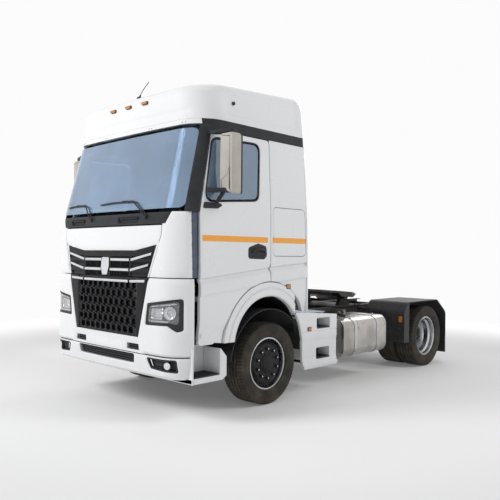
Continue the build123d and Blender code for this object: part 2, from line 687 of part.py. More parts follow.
def front_rim():
    """Left front rim, its disc, the wheel hub and the brake disc."""
    centre = (FRONT_TRACK / 2, FRONT_AXLE_Y, HUB_Z)
    barrel, disc = rim_profile(FRONT_DISC, 1.0)
    rim = turned(barrel, centre) + turned(disc, centre)
    bore = SPINDLE_RADIUS + RUN_FIT
    brake_in = KINGPIN_X + BRIDGE_OUT + 6.0 - centre[0]
    brake_out = brake_in + BRAKE_THICK
    flange = FRONT_DISC - 30.0
    cap, chamfer = FRONT_DISC + 24.0, 8.0
    bottom = FRONT_DISC + 6.0
    hub = ((brake_in, bore), (brake_in, BRAKE_RADIUS), (brake_out, BRAKE_RADIUS), (brake_out, HUB_NECK))
    hub += ((flange, HUB_NECK), (flange, HUB_RADIUS), (cap - chamfer, HUB_RADIUS))
    hub += ((cap, HUB_RADIUS - chamfer), (cap, 0.0), (bottom, 0.0), (bottom, bore))
    return rim + turned(hub, centre)


def rear_rims():
    """Left pair of rear rims, bolted disc to disc on one hub."""
    meet = REAR_TRACK / 2
    centre = (meet, REAR_AXLE_Y, HUB_Z)
    offset = DUAL_SPACING / 2
    pair = Part()
    for side in (-1, 1):
        barrel, disc = rim_profile(offset, -side)
        seat = (meet + side * offset, REAR_AXLE_Y, HUB_Z)
        pair += turned(barrel, seat) + turned(disc, seat)
    bore = SPINDLE_RADIUS + RUN_FIT
    drum_in, drum_out, drum_radius = -130.0, -90.0, 150.0
    step, cap, cap_bottom, dome = 100.0, 112.0, 96.0, 30.0
    hub = ((drum_in, bore), (drum_in, drum_radius), (drum_out, drum_radius), (drum_out, HUB_RADIUS))
    hub += ((step, HUB_RADIUS), (cap, HUB_RADIUS - dome), (cap, 0.0), (cap_bottom, 0.0), (cap_bottom, bore))
    return pair + turned(hub, centre)


def tyre(x, y):
    """One tyre round a rim whose middle plane is at x."""
    half = TYRE_WIDTH / 2
    bead = RIM_HALF - RIM_LIP - SEAT
    collar, crown_in = RIM_RADIUS + 8.0, 6.0
    side = [(-half + TYRE_SHOULDER, TYRE_RADIUS), (-half + crown_in, SHOULDER_RADIUS)]
    side += [(-half, BULGE_RADIUS), (-half + SIDEWALL_BULGE, collar)]
    side += [(-bead, RIM_RADIUS), (-bead, BEAD_RADIUS + SEAT)]
    profile = [*side, *[(-along, radius) for along, radius in reversed(side)]]
    return turned(profile, (x, y, HUB_Z))


def front_tyre():
    """Left front tyre."""
    return tyre(FRONT_TRACK / 2, FRONT_AXLE_Y)


def rear_tyres():
    """Left pair of rear tyres."""
    offset = DUAL_SPACING / 2
    return tyre(REAR_TRACK / 2 + offset, REAR_AXLE_Y) + tyre(REAR_TRACK / 2 - offset, REAR_AXLE_Y)


# ------------------------------------------------------------------ tank and boxes
def tank_section(grow, y):
    """The tank's rounded section, grown by a clearance, at a place along it."""
    wide = TANK_OUT - TANK_IN + 2 * grow
    deep = TANK_HIGH - TANK_LOW + 2 * grow
    face = RectangleRounded(wide, deep, TANK_CORNER + grow)
    middle = ((TANK_OUT + TANK_IN) / 2, y, (TANK_HIGH + TANK_LOW) / 2)
    return Plane(origin=middle, x_dir=(1, 0, 0), z_dir=(0, 1, 0)) * face


def fuel_tank():
    """Drawn tank with pressed-in ends and a filler neck."""
    dish, rim = 16.0, 34.0
    start = FRONT_AXLE_Y + TANK_START
    tank = extrude(tank_section(0.0, start), TANK_LONG)
    for y, depth in ((start, dish), (start + TANK_LONG, -dish)):
        tank -= extrude(tank_section(-rim, y), depth)
    neck_y, neck_x, neck_radius = start + 130.0, TANK_OUT - 150.0, 52.0
    foot, lean, rise = 10.0, 20.0, 48.0
    neck = rod((neck_x, neck_y, TANK_HIGH - foot), (neck_x + lean, neck_y, TANK_HIGH + rise), neck_radius)
    return tank + neck


def tank_straps():
    """Two brackets bolted to the rail, each with its strap round the tank."""
    straps = Part()
    for place in STRAP_AT:
        y = FRONT_AXLE_Y + TANK_START + place
        band = extrude(tank_section(SEAT + STRAP_THICK, y), STRAP_WIDE)
        arm_z = (TANK_LOW + 60.0, RAIL_TOP - 20.0)
        band += block((RAIL_OUT, TANK_IN + TANK_CORNER), (y, y + STRAP_WIDE), arm_z)
        straps += band - extrude(tank_section(SEAT, y - 1.0), STRAP_WIDE + 2.0)
    return straps


def side_box():
    """Left step box behind the front wheel, with a skirt and two footholds."""
    start, end = FRONT_AXLE_Y + BOX_START, FRONT_AXLE_Y + BOX_END
    skirt = FRONT_AXLE_Y + SKIRT_START
    skin = (BOX_OUT - BOX_WALL, BOX_OUT)
    box = block((BOX_IN, skin[0]), (start, end), (BOX_LOW + 60.0, BOX_HIGH - 25.0))
    stay_y = (end - 220.0, end - 60.0)
    box += block((RAIL_OUT, BOX_IN), stay_y, (RAIL_LOW + 30.0, RAIL_TOP - 30.0))
    outline = (
        (skirt + 50.0, BOX_LOW), (end, BOX_LOW), (end, BOX_HIGH), (skirt - 100.0, BOX_HIGH + 68.0),
        (skirt - 20.0, 880.0), (skirt + 30.0, 700.0),
    )
    box += side_prism(outline, skin)
    lip_in, lip_out, lip_tall = 10.0, 20.0, 55.0
    lip_y = (skirt + 90.0, end)
    box += block((BOX_OUT - lip_in, BOX_OUT + lip_out), lip_y, (BOX_LOW, BOX_LOW + lip_tall))
    foot_y = (start + 210.0, start + 480.0)
    foot_x = (BOX_OUT - 190.0, BOX_OUT + OVERCUT)
    for span in FOOTHOLDS:
        box -= block(foot_x, foot_y, span)
    return box


def silencer_box():
    """Exhaust silencer and its brackets on the right, behind the skirt."""
    start = FRONT_AXLE_Y + TANK_START
    end = start + SILENCER_LONG
    round_edge, clear = 64.0, 20.0
    box = block((-TANK_OUT, -TANK_IN), (start, end), (TANK_LOW + clear, TANK_HIGH))
    box = fillet(box.edges().filter_by(Axis.Y), round_edge)
    stay_in, stay_end = 30.0, 60.0
    stay_y = (start + stay_end, end - stay_end)
    box += block((-TANK_IN - stay_in, -RAIL_OUT), stay_y, (RAIL_LOW, RAIL_TOP - stay_end))
    pipe_x, pipe_y, pipe_radius = -TANK_OUT + 170.0, end - 130.0, 62.0
    turn, top, drop = 40.0, 40.0, 60.0
    pipe = rod((pipe_x, pipe_y, TANK_LOW + top), (pipe_x, pipe_y + turn, TANK_LOW - drop), pipe_radius)
    return box + pipe


def battery_box():
    """Battery carrier with its ribbed lid, on the right ahead of the rear wheel."""
    start = FRONT_AXLE_Y + TANK_START + BATTERY_AT
    end = start + BATTERY_LONG
    out, low, high = -1100.0, 480.0, 850.0
    lip, lid_thick, lid_in = 12.0, 30.0, 90.0
    box = block((out, -RAIL_OUT), (start, end), (low, high))
    lid_top = high + lid_thick
    lid = block((out - lip, -RAIL_OUT - lid_in), (start - lip, end + lip), (high, lid_top))
    ribs, first, pitch, rib_half, rib_tall = 4, 45.0, 80.0, 12.0, 10.0
    for rib in range(ribs):
        y = start + first + rib * pitch
        rib_x = (out + 40.0, -RAIL_OUT - 130.0)
        lid += block(rib_x, (y - rib_half, y + rib_half), (lid_top, lid_top + rib_tall))
    foot = block((out + 40.0, -RAIL_OUT), (start + 40.0, end - 40.0), (low - lid_thick, low))
    return box + lid + foot


def guard_outline(wall):
    """A rear mudguard's closed outline in side view, a wall's thickness inside."""
    front = REAR_AXLE_Y - GUARD_FORE + wall
    rear = REAR_AXLE_Y + GUARD_AFT - wall
    top = GUARD_TOP - wall
    foot = GUARD_LOW - 80.0
    # bends of the front apron and of the rear slope
    apron_high, apron_run, slope_start, slope_end = 870.0, 120.0, 330.0, 800.0
    return (
        (front, foot), (front, apron_high), (front + apron_run, top), (REAR_AXLE_Y + slope_start, top),
        (rear, slope_end), (rear, foot),
    )


def mudguards():
    """Rear mudguards in one run each: front apron, top, rear slope and flap."""
    front = REAR_AXLE_Y - GUARD_FORE
    rear = REAR_AXLE_Y + GUARD_AFT
    across = (GUARD_IN, GUARD_OUT)
    beyond = (GUARD_IN - OVERCUT, GUARD_OUT + OVERCUT)
    guard = side_prism(guard_outline(0.0), across, GUARD_ROUND)
    guard -= side_prism(guard_outline(GUARD_WALL), beyond, GUARD_ROUND - GUARD_WALL)
    guard -= block(beyond, (front - OVERCUT, rear + OVERCUT), (0.0, GUARD_LOW))
    cheek_long = 150.0
    cheek = side_prism(guard_outline(0.0), (GUARD_OUT - GUARD_WALL, GUARD_OUT), GUARD_ROUND)
    guard += cheek & block(across, (front, front + cheek_long), (GUARD_LOW, GUARD_TOP))
    flap_x, flap_y = (GUARD_IN + 30.0, GUARD_OUT - 10.0), (rear - 8.0, rear + 22.0)
    flap_top = GUARD_LOW + 140.0
    flap = block(flap_x, flap_y, (FLAP_LOW, flap_top))
    stay_half, inset = 20.0, 28.0
    for y, z in ((front + inset, RAIL_TOP - 50.0), (rear - inset, RAIL_LOW + 60.0)):
        stay_y, stay_z = (y - stay_half, y + stay_half), (z - stay_half, z + stay_half)
        guard += block((RAIL_OUT, GUARD_IN + 60.0), stay_y, stay_z)
    return both_sides(guard + flap)


def tail_lamps():
    """Tail lamps on the rear faces of the mudguards."""
    across, tall = (800.0, 1190.0), (640.0, 760.0)
    return both_sides(block(across, (REAR_AXLE_Y + GUARD_AFT, REAR_Y), tall))


def catwalk():
    """Deck plate and the low housing behind the cab."""
    behind_cab, deck_long, deck_thick, stand = 40.0, 520.0, 12.0, 40.0
    start = FRONT_Y + CAB_LENGTH + behind_cab
    foot = RAIL_TOP + stand
    deck_x = (-RAIL_OUT - 250.0, RAIL_OUT + 640.0)
    deck = block(deck_x, (start, start + deck_long), (foot, foot + deck_thick))
    foot_half = 30.0
    foot_y = (start + stand, start + deck_long - stand)
    for x in (-RAIL_OUT + stand, RAIL_OUT - stand):
        deck += block((x - foot_half, x + foot_half), foot_y, (RAIL_TOP, foot))
    house_half, house_y, house_top = 400.0, (start + 60.0, start + 900.0), RAIL_TOP + 175.0
    return deck + block((-house_half, house_half), house_y, (foot + deck_thick, house_top))


# ------------------------------------------------------------------ coupling
def coupling_base():
    """Mounting plate on the rails with the coupling's two pivot pedestals."""
    y = REAR_AXLE_Y - COUPLING_LEAD
    base_half, base_long = RAIL_OUT + 40.0, 330.0
    low = RAIL_TOP + BASE_THICK
    base = block((-base_half, base_half), (y - base_long, y + base_long), (RAIL_TOP, low))
    foot, head, over, half, pin_half = 150.0, 48.0, 12.0, 30.0, 62.0
    crown = PIVOT_Z + over
    outline = ((y - foot, low), (y + foot, low), (y + head, crown), (y - head, crown))
    for x in (-PIVOT_X, PIVOT_X):
        base += side_prism(outline, (x - half, x + half))
        base += rod((x - pin_half, y, PIVOT_Z), (x + pin_half, y, PIVOT_Z), PIVOT_RADIUS)
    return base


def plate_outline(y):
    """The coupling plate's plan outline with its throat, about the king pin's place."""
    nose_half, front_bend, rear_bend, horn_in, throat_long = 270.0, 150.0, 120.0, 330.0, 110.0
    left = (
        (nose_half, y - PLATE_FORE), (PLATE_HALF, y - front_bend), (PLATE_HALF, y + rear_bend),
        (horn_in, y + PLATE_AFT), (THROAT_MOUTH, y + PLATE_AFT), (THROAT_RADIUS, y + throat_long),
        (THROAT_RADIUS, y),
    )
    return [*left, *[(-x, place) for x, place in reversed(left)]]


def coupling_plate():
    """Rocking top plate with its throat, ramps, ribs and pivot lugs, tipped back."""
    y = REAR_AXLE_Y - COUPLING_LEAD
    top, low = PLATE_HIGH, PLATE_HIGH - PLATE_THICK
    plate = extrude(Pos(0, 0, low) * flat_face(plate_outline(y), 0.0), PLATE_THICK)
    ramp, end = y + RAMP_START, y + PLATE_AFT + OVERCUT
    drop = RAMP_DROP * (end - ramp) / (PLATE_AFT - RAMP_START)
    over = top + OVERCUT
    wedge = ((ramp, top), (end, top - drop), (end, over), (ramp, over))
    plate -= side_prism(wedge, (-PLATE_HALF, PLATE_HALF))
    rib_end, rib_flat = 240.0, 150.0
    keel = low - RIB_DEEP
    rib = ((y - rib_end, low), (y + RAMP_START, low), (y + rib_flat, keel), (y - rib_flat, keel))
    for x in (-PIVOT_X, PIVOT_X):
        for shift in (-RIB_SPREAD, RIB_SPREAD):
            plate += side_prism(rib, (x + shift - RIB_HALF, x + shift + RIB_HALF))
    cross_half = PLATE_HALF - 150.0
    for place in RIB_ACROSS:
        rib_y = (y + place - RIB_HALF, y + place + RIB_HALF)
        plate += block((-cross_half, cross_half), rib_y, (keel, low))
    plate -= rod((0, y, low - 2 * RIB_DEEP), (0, y, over), THROAT_RADIUS)
    lug_in, lug_thick, lug_top, lug_foot, lug_deep = 36.0, 26.0, 85.0, 40.0, 44.0
    foot_z = PIVOT_Z - lug_deep
    lug = ((y - lug_top, low), (y + lug_top, low), (y + lug_foot, foot_z), (y - lug_foot, foot_z))
    for x in (-PIVOT_X, PIVOT_X):
        for start in (x - lug_in - lug_thick, x + lug_in):
            plate += side_prism(lug, (start, start + lug_thick))
    bore_half = lug_in + lug_thick + 8.0
    for x in (-PIVOT_X, PIVOT_X):
        plate -= rod((x - bore_half, y, PIVOT_Z), (x + bore_half, y, PIVOT_Z), PIVOT_RADIUS + RUN_FIT)
    return plate.rotate(Axis((0, y, PIVOT_Z), (1, 0, 0)), -PLATE_REST)


# ------------------------------------------------------------------ cab pieces
def door_blank(outer, inner, grow=0.0):
    """The left door's piece of the cab shell between two insets."""
    across = (SIDE_IN, CAB_HALF + OVERCUT)
    shell = cab_shell(DOOR_LOW - 2 * GAP, CAB_TOP, outer, inner)
    return (shell & side_prism(door_outline(grow), across)) - arch_disc(ARCH_LIP - grow, across)


def hinge_axis():
    """Plan position of the left door's hinge axis."""
    skin_clear = 2.0
    return CAB_HALF - KNUCKLE_RADIUS - skin_clear, FRONT_AXLE_Y - DOOR_FRONT + HINGE_INSET


HINGE_HEIGHTS = (880.0, 1350.0)
HINGE_TALL = 44.0
HINGE_PIN_REACH = 44.0       # pin past each end of its knuckle


def door():
    """Left door, hung on two pins that stand in its front edge."""
    x, y = hinge_axis()
    clear, back_clear, notch_deep = 6.0, 8.0, 120.0
    piece = door_blank(0.0, CAB_WALL)
    piece -= side_prism(door_window(), (SIDE_IN, CAB_HALF + OVERCUT), WINDOW_ROUND)
    notch_x = (x - notch_deep, CAB_HALF + clear)
    notch_y = (y - HINGE_INSET - clear, y + KNUCKLE_RADIUS + back_clear)
    half = HINGE_TALL / 2 + clear
    bore = HINGE_TALL / 2 + HINGE_PIN_REACH + 1.0
    for z in HINGE_HEIGHTS:
        piece -= block(notch_x, notch_y, (z - half, z + half))
        piece -= rod((x, y, z - bore), (x, y, z + bore), HINGE_RADIUS + RUN_FIT)
    return piece


def door_hinges():
    """Fixed brackets and pins of the left door's hinges."""
    x, y = hinge_axis()
    post = FRONT_AXLE_Y - DOOR_FRONT - GAP
    arm_long, arm_lap, edge = 90.0, 30.0, 6.0
    half = HINGE_TALL / 2
    fixed = Part()
    for z in HINGE_HEIGHTS:
        fixed += rod((x, y, z - half), (x, y, z + half), KNUCKLE_RADIUS)
        fixed += block((x - arm_long, x), (post - arm_lap, y), (z - half + edge, z + half - edge))
        reach = half + HINGE_PIN_REACH
        fixed += rod((x, y, z - reach), (x, y, z + reach), HINGE_RADIUS)
    return fixed


def door_glass():
    """Left side window, let into the door."""
    skin = cab_shell(DOOR_BEND, CAB_TOP, DOOR_GLASS_INSET, DOOR_GLASS_INSET + GLASS)
    return skin & side_prism(door_window(-SEAT), (SIDE_IN, CAB_HALF + OVERCUT), WINDOW_ROUND - SEAT)


def door_mirror():
    """Left mirror housing with its slanted foot, on two arms."""
    wide, deep, low, high = 190.0, 165.0, 2300.0, 2930.0
    x0, x1 = MIRROR_REACH - wide, MIRROR_REACH
    y0 = FRONT_AXLE_Y - 950.0
    flank, nose, brow, corner = 60.0, 40.0, 10.0, 18.0
    plan = (
        (x0, y0 + flank), (x0 + flank, y0), (x1 - nose, y0 + brow), (x1, y0 + flank),
        (x1, y0 + deep), (x0, y0 + deep),
    )
    head = extrude(Pos(0, 0, low) * flat_face(plan, corner), high - low)
    slant, bevel, bevel_tall, beyond = 70.0, 30.0, 25.0, 10.0
    front = (
        (x0 - beyond, low + slant), (x1 + beyond, low), (x1 + beyond, high - bevel_tall),
        (x1 - bevel, high + 1.0), (x0 - beyond, high + 1.0),
    )
    head &= front_prism(front, (y0 - beyond, y0 + deep + beyond))
    arm = Part()
    arm_tall, arm_wide, foot_in = 45.0, 60.0, 40.0
    # height of the arm, front edge of its foot from the housing
    for z, foot in ((low + 25.0, -110.0), (high, -45.0)):
        start = level_at(z)[1] - foot_in
        plan = (
            (start, y0 + foot), (x1 - flank, y0 + 30.0), (x1 - flank, y0 + 90.0),
            (x0 + beyond, y0 + 90.0), (start, y0 + foot + arm_wide),
        )
        arm += extrude(Pos(0, 0, z) * flat_face(plan, 0.0), arm_tall)
    return head + arm - cab_form(DOOR_BEND, CAB_TOP, -SEAT)


def nose_block(low, high, rear=FRONT_AXLE_Y - DOOR_FRONT - GAP):
    """Everything ahead of the doors' front shut line between two heights."""
    side = CAB_HALF + OVERCUT
    return block((-side, side), (FRONT_Y - OVERCUT, rear), (low, high))


def cab_body():
    """Cab shell with floor, rear wall, pillars, firewall and door posts."""
    shut_y = FRONT_AXLE_Y - DOOR_FRONT - GAP
    skin_in = CAB_HALF - CAB_WALL
    shell = cab_shell(SILL_Z, CAB_TOP, 0.0, CAB_WALL)
    shell -= nose_block(0.0, SPLIT_Z + GAP)
    shell -= cab_shell(SPLIT_Z, COWL_HIGH, -1.0, PANEL_SEAT) & nose_block(SPLIT_Z, COWL_HIGH)
    side = CAB_HALF + OVERCUT
    for span in ((SIDE_IN, side), (-side, -SIDE_IN)):
        shell -= side_prism(door_outline(GAP), span)
        shell -= arch_disc(ARCH_LIP, span)
    shell -= front_prism(windscreen_outline(), (FRONT_Y - OVERCUT, GLASS_BACK), SCREEN_ROUND)
    shell -= roof_band_seat(SEAT) + pillar_covers(SEAT)
    shell += cab_form(FLOOR_LOW, FLOOR_HIGH, CAB_WALL)
    swing_x = (skin_in - DOOR_SWING, side)
    swing_y = (shut_y, shut_y + CAB_WALL + HINGE_INSET + GAP)
    shell -= both_sides(block(swing_x, swing_y, (FLOOR_LOW, FLOOR_HIGH)))
    lower = cab_shell(FLOOR_LOW, SPLIT_Z + GAP, CAB_WALL, PANEL_SEAT + FIREWALL)
    upper = cab_shell(SPLIT_Z + GAP, COWL_HIGH, PANEL_SEAT, PANEL_SEAT + FIREWALL)
    shell += (lower + upper) & nose_block(FLOOR_LOW, COWL_HIGH)
    post_x, post_y = (skin_in - POST_WIDE, skin_in), (shut_y - POST_DEEP, shut_y)
    shell += both_sides(block(post_x, post_y, (DOOR_LOW, SPLIT_Z + GAP)))
    return shell + both_sides(door_hinges() + hatch_hinge())


def windscreen():
    """Laminated windscreen, let into the cab's front."""
    skin = cab_shell(COWL_HIGH + GAP, CAB_TOP, COWL_INSET, COWL_INSET + GLASS)
    through = (FRONT_Y - OVERCUT, GLASS_BACK)
    return skin & front_prism(windscreen_outline(-SEAT), through, SCREEN_ROUND - SEAT)


def nose_skin(outer, inner, low, high):
    """The cab's nose ahead of the doors, between two insets and two heights."""
    return cab_shell(low, high, outer, inner) & nose_block(low, high)


def hatch_pin():
    """Height and y of the hatch's hinge axis."""
    z = COWL_LOW - HATCH_TOP_GAP - HATCH_PIN_DROP
    return z, level_at(z)[0] + HATCH_PIN_INSET


def hatch_hinge():
    """Fixed bracket and pin of the hatch's left hinge."""
    z, y = hatch_pin()
    x = (HATCH_HINGE_X - HATCH_HINGE_WIDE / 2, HATCH_HINGE_X + HATCH_HINGE_WIDE / 2)
    arm_half, lap = 5.0, 15.0
    arm_y = (y, y - HATCH_PIN_INSET + PANEL_SEAT + lap)
    bracket = block(x, arm_y, (z - arm_half, z + arm_half))
    bracket += rod((x[0], y, z), (x[1], y, z), HATCH_KNUCKLE)
    return bracket + rod((x[0] - HATCH_PIN_REACH, y, z), (x[1] + HATCH_PIN_REACH, y, z), HATCH_PIN_RADIUS)


def hatch():
    """Front service hatch with the grille's dark field, hinged along its top edge."""
    through = (FRONT_Y - OVERCUT, NOSE_BACK)
    skin = nose_skin(0.0, SKIN, SPLIT_Z + GAP, COWL_LOW - HATCH_TOP_GAP)
    panel = skin & front_prism(hatch_outline(), through)
    field = cab_shell(SPLIT_Z, COWL_LOW, -1.0, GRILLE_RECESS)
    panel -= field & front_prism(field_outline(), through)
    z, y = hatch_pin()
    half = HATCH_HINGE_WIDE / 2
    side_clear, below = 6.0, 12.0
    for x in (-HATCH_HINGE_X, HATCH_HINGE_X):
        notch = (x - half - side_clear, x + half + side_clear)
        panel -= block(notch, (y - OVERCUT, y + OVERCUT), (z - below, z + HATCH_PIN_REACH))
        reach = half + HATCH_PIN_REACH
        panel -= rod((x - reach, y, z), (x + reach, y, z), HATCH_PIN_RADIUS + RUN_FIT)
    return panel


def corner_panels():
    """Air deflector panels between the hatch and the slots ahead of the doors."""
    top = COWL_HIGH - PANEL_FIT
    skin = cab_shell(SPLIT_Z + GAP, top, 0.0, PANEL_SEAT - PANEL_FIT)
    skin &= nose_block(SPLIT_Z, top, FRONT_AXLE_Y - DOOR_FRONT - GAP - DEFLECTOR_SLOT)
    through = (FRONT_Y - OVERCUT, NOSE_BACK)
    return skin - front_prism(hatch_outline(GAP), through) - front_prism(cowl_outline(PANEL_FIT), through)


def cowl():
    """Black cowl strip under the windscreen."""
    strip = nose_skin(COWL_INSET, PANEL_SEAT - SEAT, COWL_LOW, COWL_HIGH)
    return strip & front_prism(cowl_outline(), (FRONT_Y - OVERCUT, NOSE_BACK))


def behind_fascia(low, high):
    """Everything behind the roof fascia's ends between two heights."""
    side = CAB_HALF + OVERCUT
    return block((-side, side), (FRONT_AXLE_Y - FASCIA_BACK, REAR_AXLE_Y), (low, high))


def roof_band_seat(grow=0.0):
    """The band's strips that are let into the cab's sides and back."""
    low, high = SIDE_BAND_LOW - grow, CAB_TOP
    outer = BAND_INSET if grow == 0.0 else -1.0
    return cab_shell(low, high, outer, BAND_DEEP + grow) & behind_fascia(low, high)


def pillar_covers(grow=0.0):
    """Dark covers on the pillars between the windscreen and the doors."""
    ahead, side = FRONT_Y - OVERCUT, CAB_HALF + OVERCUT
    front = FRONT_AXLE_Y - DOOR_FRONT - GAP + grow
    top = front + DOOR_SKEW
    behind = (
        (ahead, COWL_LOW), (front, COWL_LOW), (front, DOOR_BEND), (top, SIDE_BAND_LOW),
        (top, CAB_TOP), (ahead, CAB_TOP),
    )
    (low_x, low_z), (high_x, high_z) = windscreen_outline()[1:3]
    slope = (high_x - low_x) / (high_z - low_z)
    foot = low_x + slope * (COWL_HIGH - low_z) - grow
    head = low_x + slope * (CAB_TOP - low_z) - grow
    beside = ((foot, COWL_HIGH), (side, COWL_HIGH), (side, CAB_TOP), (head, CAB_TOP))
    outer = 0.0 if grow == 0.0 else -1.0
    cover = cab_shell(COWL_HIGH, CAB_TOP, outer, PILLAR_COVER + grow)
    cover &= side_prism(behind, (SIDE_IN, side))
    cover &= front_prism(beside, (ahead, FRONT_AXLE_Y))
    return both_sides(cover)


def roof_band():
    """Dark band between the cab and its roof, with the covers of the front pillars."""
    ring = cab_shell(CAB_TOP, BAND_TOP, BAND_INSET, CAB_WALL) & behind_fascia(CAB_TOP, BAND_TOP)
    return ring + roof_band_seat() + pillar_covers()


# the roof's levels: lift at the nose, lift at the rear, nose set back, side and rear tucked in
ROOF_LEVELS = (
    (0.0, 0.0, 0.0, 0.0, 0.0),
    (300.0, 350.0, 12.0, 36.0, 4.0),
    (385.0, 480.0, 110.0, 100.0, 16.0),
    (410.0, 520.0, 250.0, 220.0, 60.0),
)


def roof_form(inset):
    """The roof's form above the band, inset by a wall."""
    nose, half, rear = level_at(BAND_TOP)
    sections = []
    for lift_front, lift_rear, back, tuck, rear_tuck in ROOF_LEVELS:
        drop = inset if lift_front else 0.0
        tilt = degrees(atan2(lift_rear - lift_front, rear - nose))
        flat = cab_outline(0.0, inset, (nose + back, half - tuck, rear - rear_tuck))
        seat = Pos(0, nose, BAND_TOP + lift_front - drop) * Rot(tilt, 0, 0) * Pos(0, -nose, 0)
        sections.append(seat * flat)
    form = Part()
    for lower, upper in zip(sections, sections[1:]):
        form += loft([lower, upper], ruled=True)
    return form


def roof_cap():
    """Moulded high roof, hollow, with the fascia over the windscreen."""
    fascia = cab_shell(CAB_TOP, BAND_TOP, 0.0, CAB_WALL)
    fascia -= behind_fascia(CAB_TOP - 1.0, BAND_TOP + 1.0)
    return roof_form(0.0) - roof_form(ROOF_WALL) + fascia


def bumper():
    """Frame-mounted bumper round the lower grille, with lamp pockets."""
    low, high = BUMPER_LOW, SPLIT_Z
    ahead, through = FRONT_Y - OVERCUT, FRONT_Y + 200.0
    shell = cab_shell(low, high, 0.0, BUMPER_WALL)
    shell &= nose_block(low, high, FRONT_AXLE_Y - BUMPER_REAR)
    shell -= front_prism(grille_outline(), (ahead, through))
    shell -= cab_shell(BUMPER_SPLIT - GROOVE_HALF, BUMPER_SPLIT + GROOVE_HALF, -1.0, GROOVE_DEEP)
    slot_low, slot_high, slot_half, slot_flare = 560.0, 660.0, 520.0, 20.0
    slot = ((-slot_half, slot_low), (slot_half, slot_low), (slot_half + slot_flare, slot_high),
            (-slot_half - slot_flare, slot_high))
    shell -= front_prism(slot, (ahead, through))
    for side in (-1, 1):
        for outline in (lamp_outline(), fog_outline()):
            points = [(side * x, z) for x, z in outline]
            shell -= front_prism(points, (ahead, through + OVERCUT), LAMP_ROUND)
    lap, beam_back, beam_z = 4.0, 130.0, (690.0, 820.0)
    beam = block((-RAIL_OUT, RAIL_OUT), (FRONT_Y + BUMPER_WALL - lap, FRONT_Y + beam_back), beam_z)
    arm_wide, arm_lap = 40.0, 10.0
    arm = block((RAIL_OUT - arm_wide, RAIL_OUT), (FRONT_Y + beam_back - arm_lap, RAIL_FRONT_Y), beam_z)
    return shell + beam + both_sides(arm)


def lamp_outline(grow=0.0):
    """Left headlamp's outline in front view: wedge with a dropped outer end."""
    inner, notch, shoulder, outer = 755.0 - grow, 1030.0, 1110.0 + grow, 1150.0 + grow
    low, step, lip = 990.0 - grow, 930.0 - grow, 940.0 - grow
    inner_high, outer_high, lean = 1190.0 + grow, 1255.0 + grow, 35.0
    return ((inner, low), (notch, low), (shoulder, step), (outer, lip), (outer, outer_high),
            (inner + lean, inner_high))


def fog_outline(grow=0.0):
    """Left fog lamp pocket's outline in front view."""
    inner_low, inner_high, outer = 790.0 - grow, 735.0 - grow, 1130.0 + grow
    low_in, low_out, top = 535.0 - grow, 515.0 - grow, 650.0 + grow
    return ((inner_low, low_in), (outer, low_out), (outer, top), (inner_high, top))


def front_lamps():
    """Headlamp units and fog lamp units, let into the bumper."""
    lamps = Part()
    skin = cab_shell(BUMPER_LOW, SPLIT_Z, GRILLE_SKIN, CAB_WALL)
    through = (FRONT_Y - OVERCUT, FRONT_Y + 200.0 + OVERCUT)
    for outline in (lamp_outline(-SEAT), fog_outline(-SEAT)):
        lamps += skin & front_prism(outline, through, LAMP_ROUND - SEAT)
    return both_sides(lamps)


def lower_grille():
    """Slatted grille in the bumper's opening: rows of cells through one curved panel."""
    panel = cab_shell(GRILLE_LOW + SEAT, SPLIT_Z, GRILLE_SKIN, GRILLE_DEEP)
    through = (FRONT_Y - OVERCUT, FRONT_Y + 150.0)
    panel &= front_prism(grille_outline(-SEAT), through)
    cells = []
    for row in range(SLAT_ROWS):
        low = SLAT_START + row * SLAT_PITCH
        for column in range(CELLS):
            left = (column - CELLS / 2) * CELL_PITCH + CELL_WEB / 2
            width = (left, left + CELL_PITCH - CELL_WEB)
            cells.append(block(width, through, (low, low + SLAT_PITCH - SLAT_THICK)))
    return panel - cells


def blade_row(z, slope, back):
    """One row of bright blades, from a seat inside the skin to its face."""
    reach = 120.0
    skin = cab_shell(BLADE_LOW - reach, COWL_LOW, -BARS_PROUD, back)
    row = Part()
    for outline in blade_outlines(z, slope):
        row += skin & front_prism(outline, (FRONT_Y - OVERCUT, FRONT_Y + 200.0))
    return row


def upper_grille():
    """Two rows of bright blades in the hatch's dark field, and the blank shield between them."""
    grille = Part()
    for z in BLADES_HIGH:
        grille += blade_row(z, BLADES_SLOPE, GRILLE_RECESS)
    skin = cab_shell(SPLIT_Z, COWL_LOW, -SHIELD_PROUD, GRILLE_RECESS)
    # height, half width
    levels = ((SPLIT_Z + GAP + 6.0, 44.0), (1560.0, 74.0), (1662.0, 66.0))
    shield = [(half, z) for z, half in levels] + [(-half, z) for z, half in reversed(levels)]
    return grille + (skin & front_prism(shield, (FRONT_Y - OVERCUT, FRONT_Y + 100.0)))


def lower_blade():
    """The lowest row of bright blades, on the fixed grille."""
    return blade_row(BLADE_LOW, BLADE_LOW_SLOPE, GRILLE_SKIN)


def entry_step():
    """Left entry steps under the door, with a fin ahead of the wheel."""
    front = FRONT_AXLE_Y - BUMPER_REAR + GAP
    rear = FRONT_AXLE_Y - 735.0
    low, corner, bend, top = 400.0, 440.0, 640.0, 760.0
    outline = (
        (front, low), (rear - 60.0, low), (rear, corner), (rear, bend), (rear - 110.0, top), (front, top),
    )
    box = side_prism(outline, (STEP_IN, CAB_HALF - GAP))
    tread_x, tread_y = (CAB_HALF - 260.0, CAB_HALF), (front + 20.0, rear - 100.0)
    box -= block(tread_x, tread_y, (low + 70.0, top + GAP))
    stay_y, stay_z = (front + 60.0, front + 180.0), (RAIL_LOW + 20.0, RAIL_LOW + 80.0)
    return box + block((RAIL_OUT, STEP_IN), stay_y, stay_z)


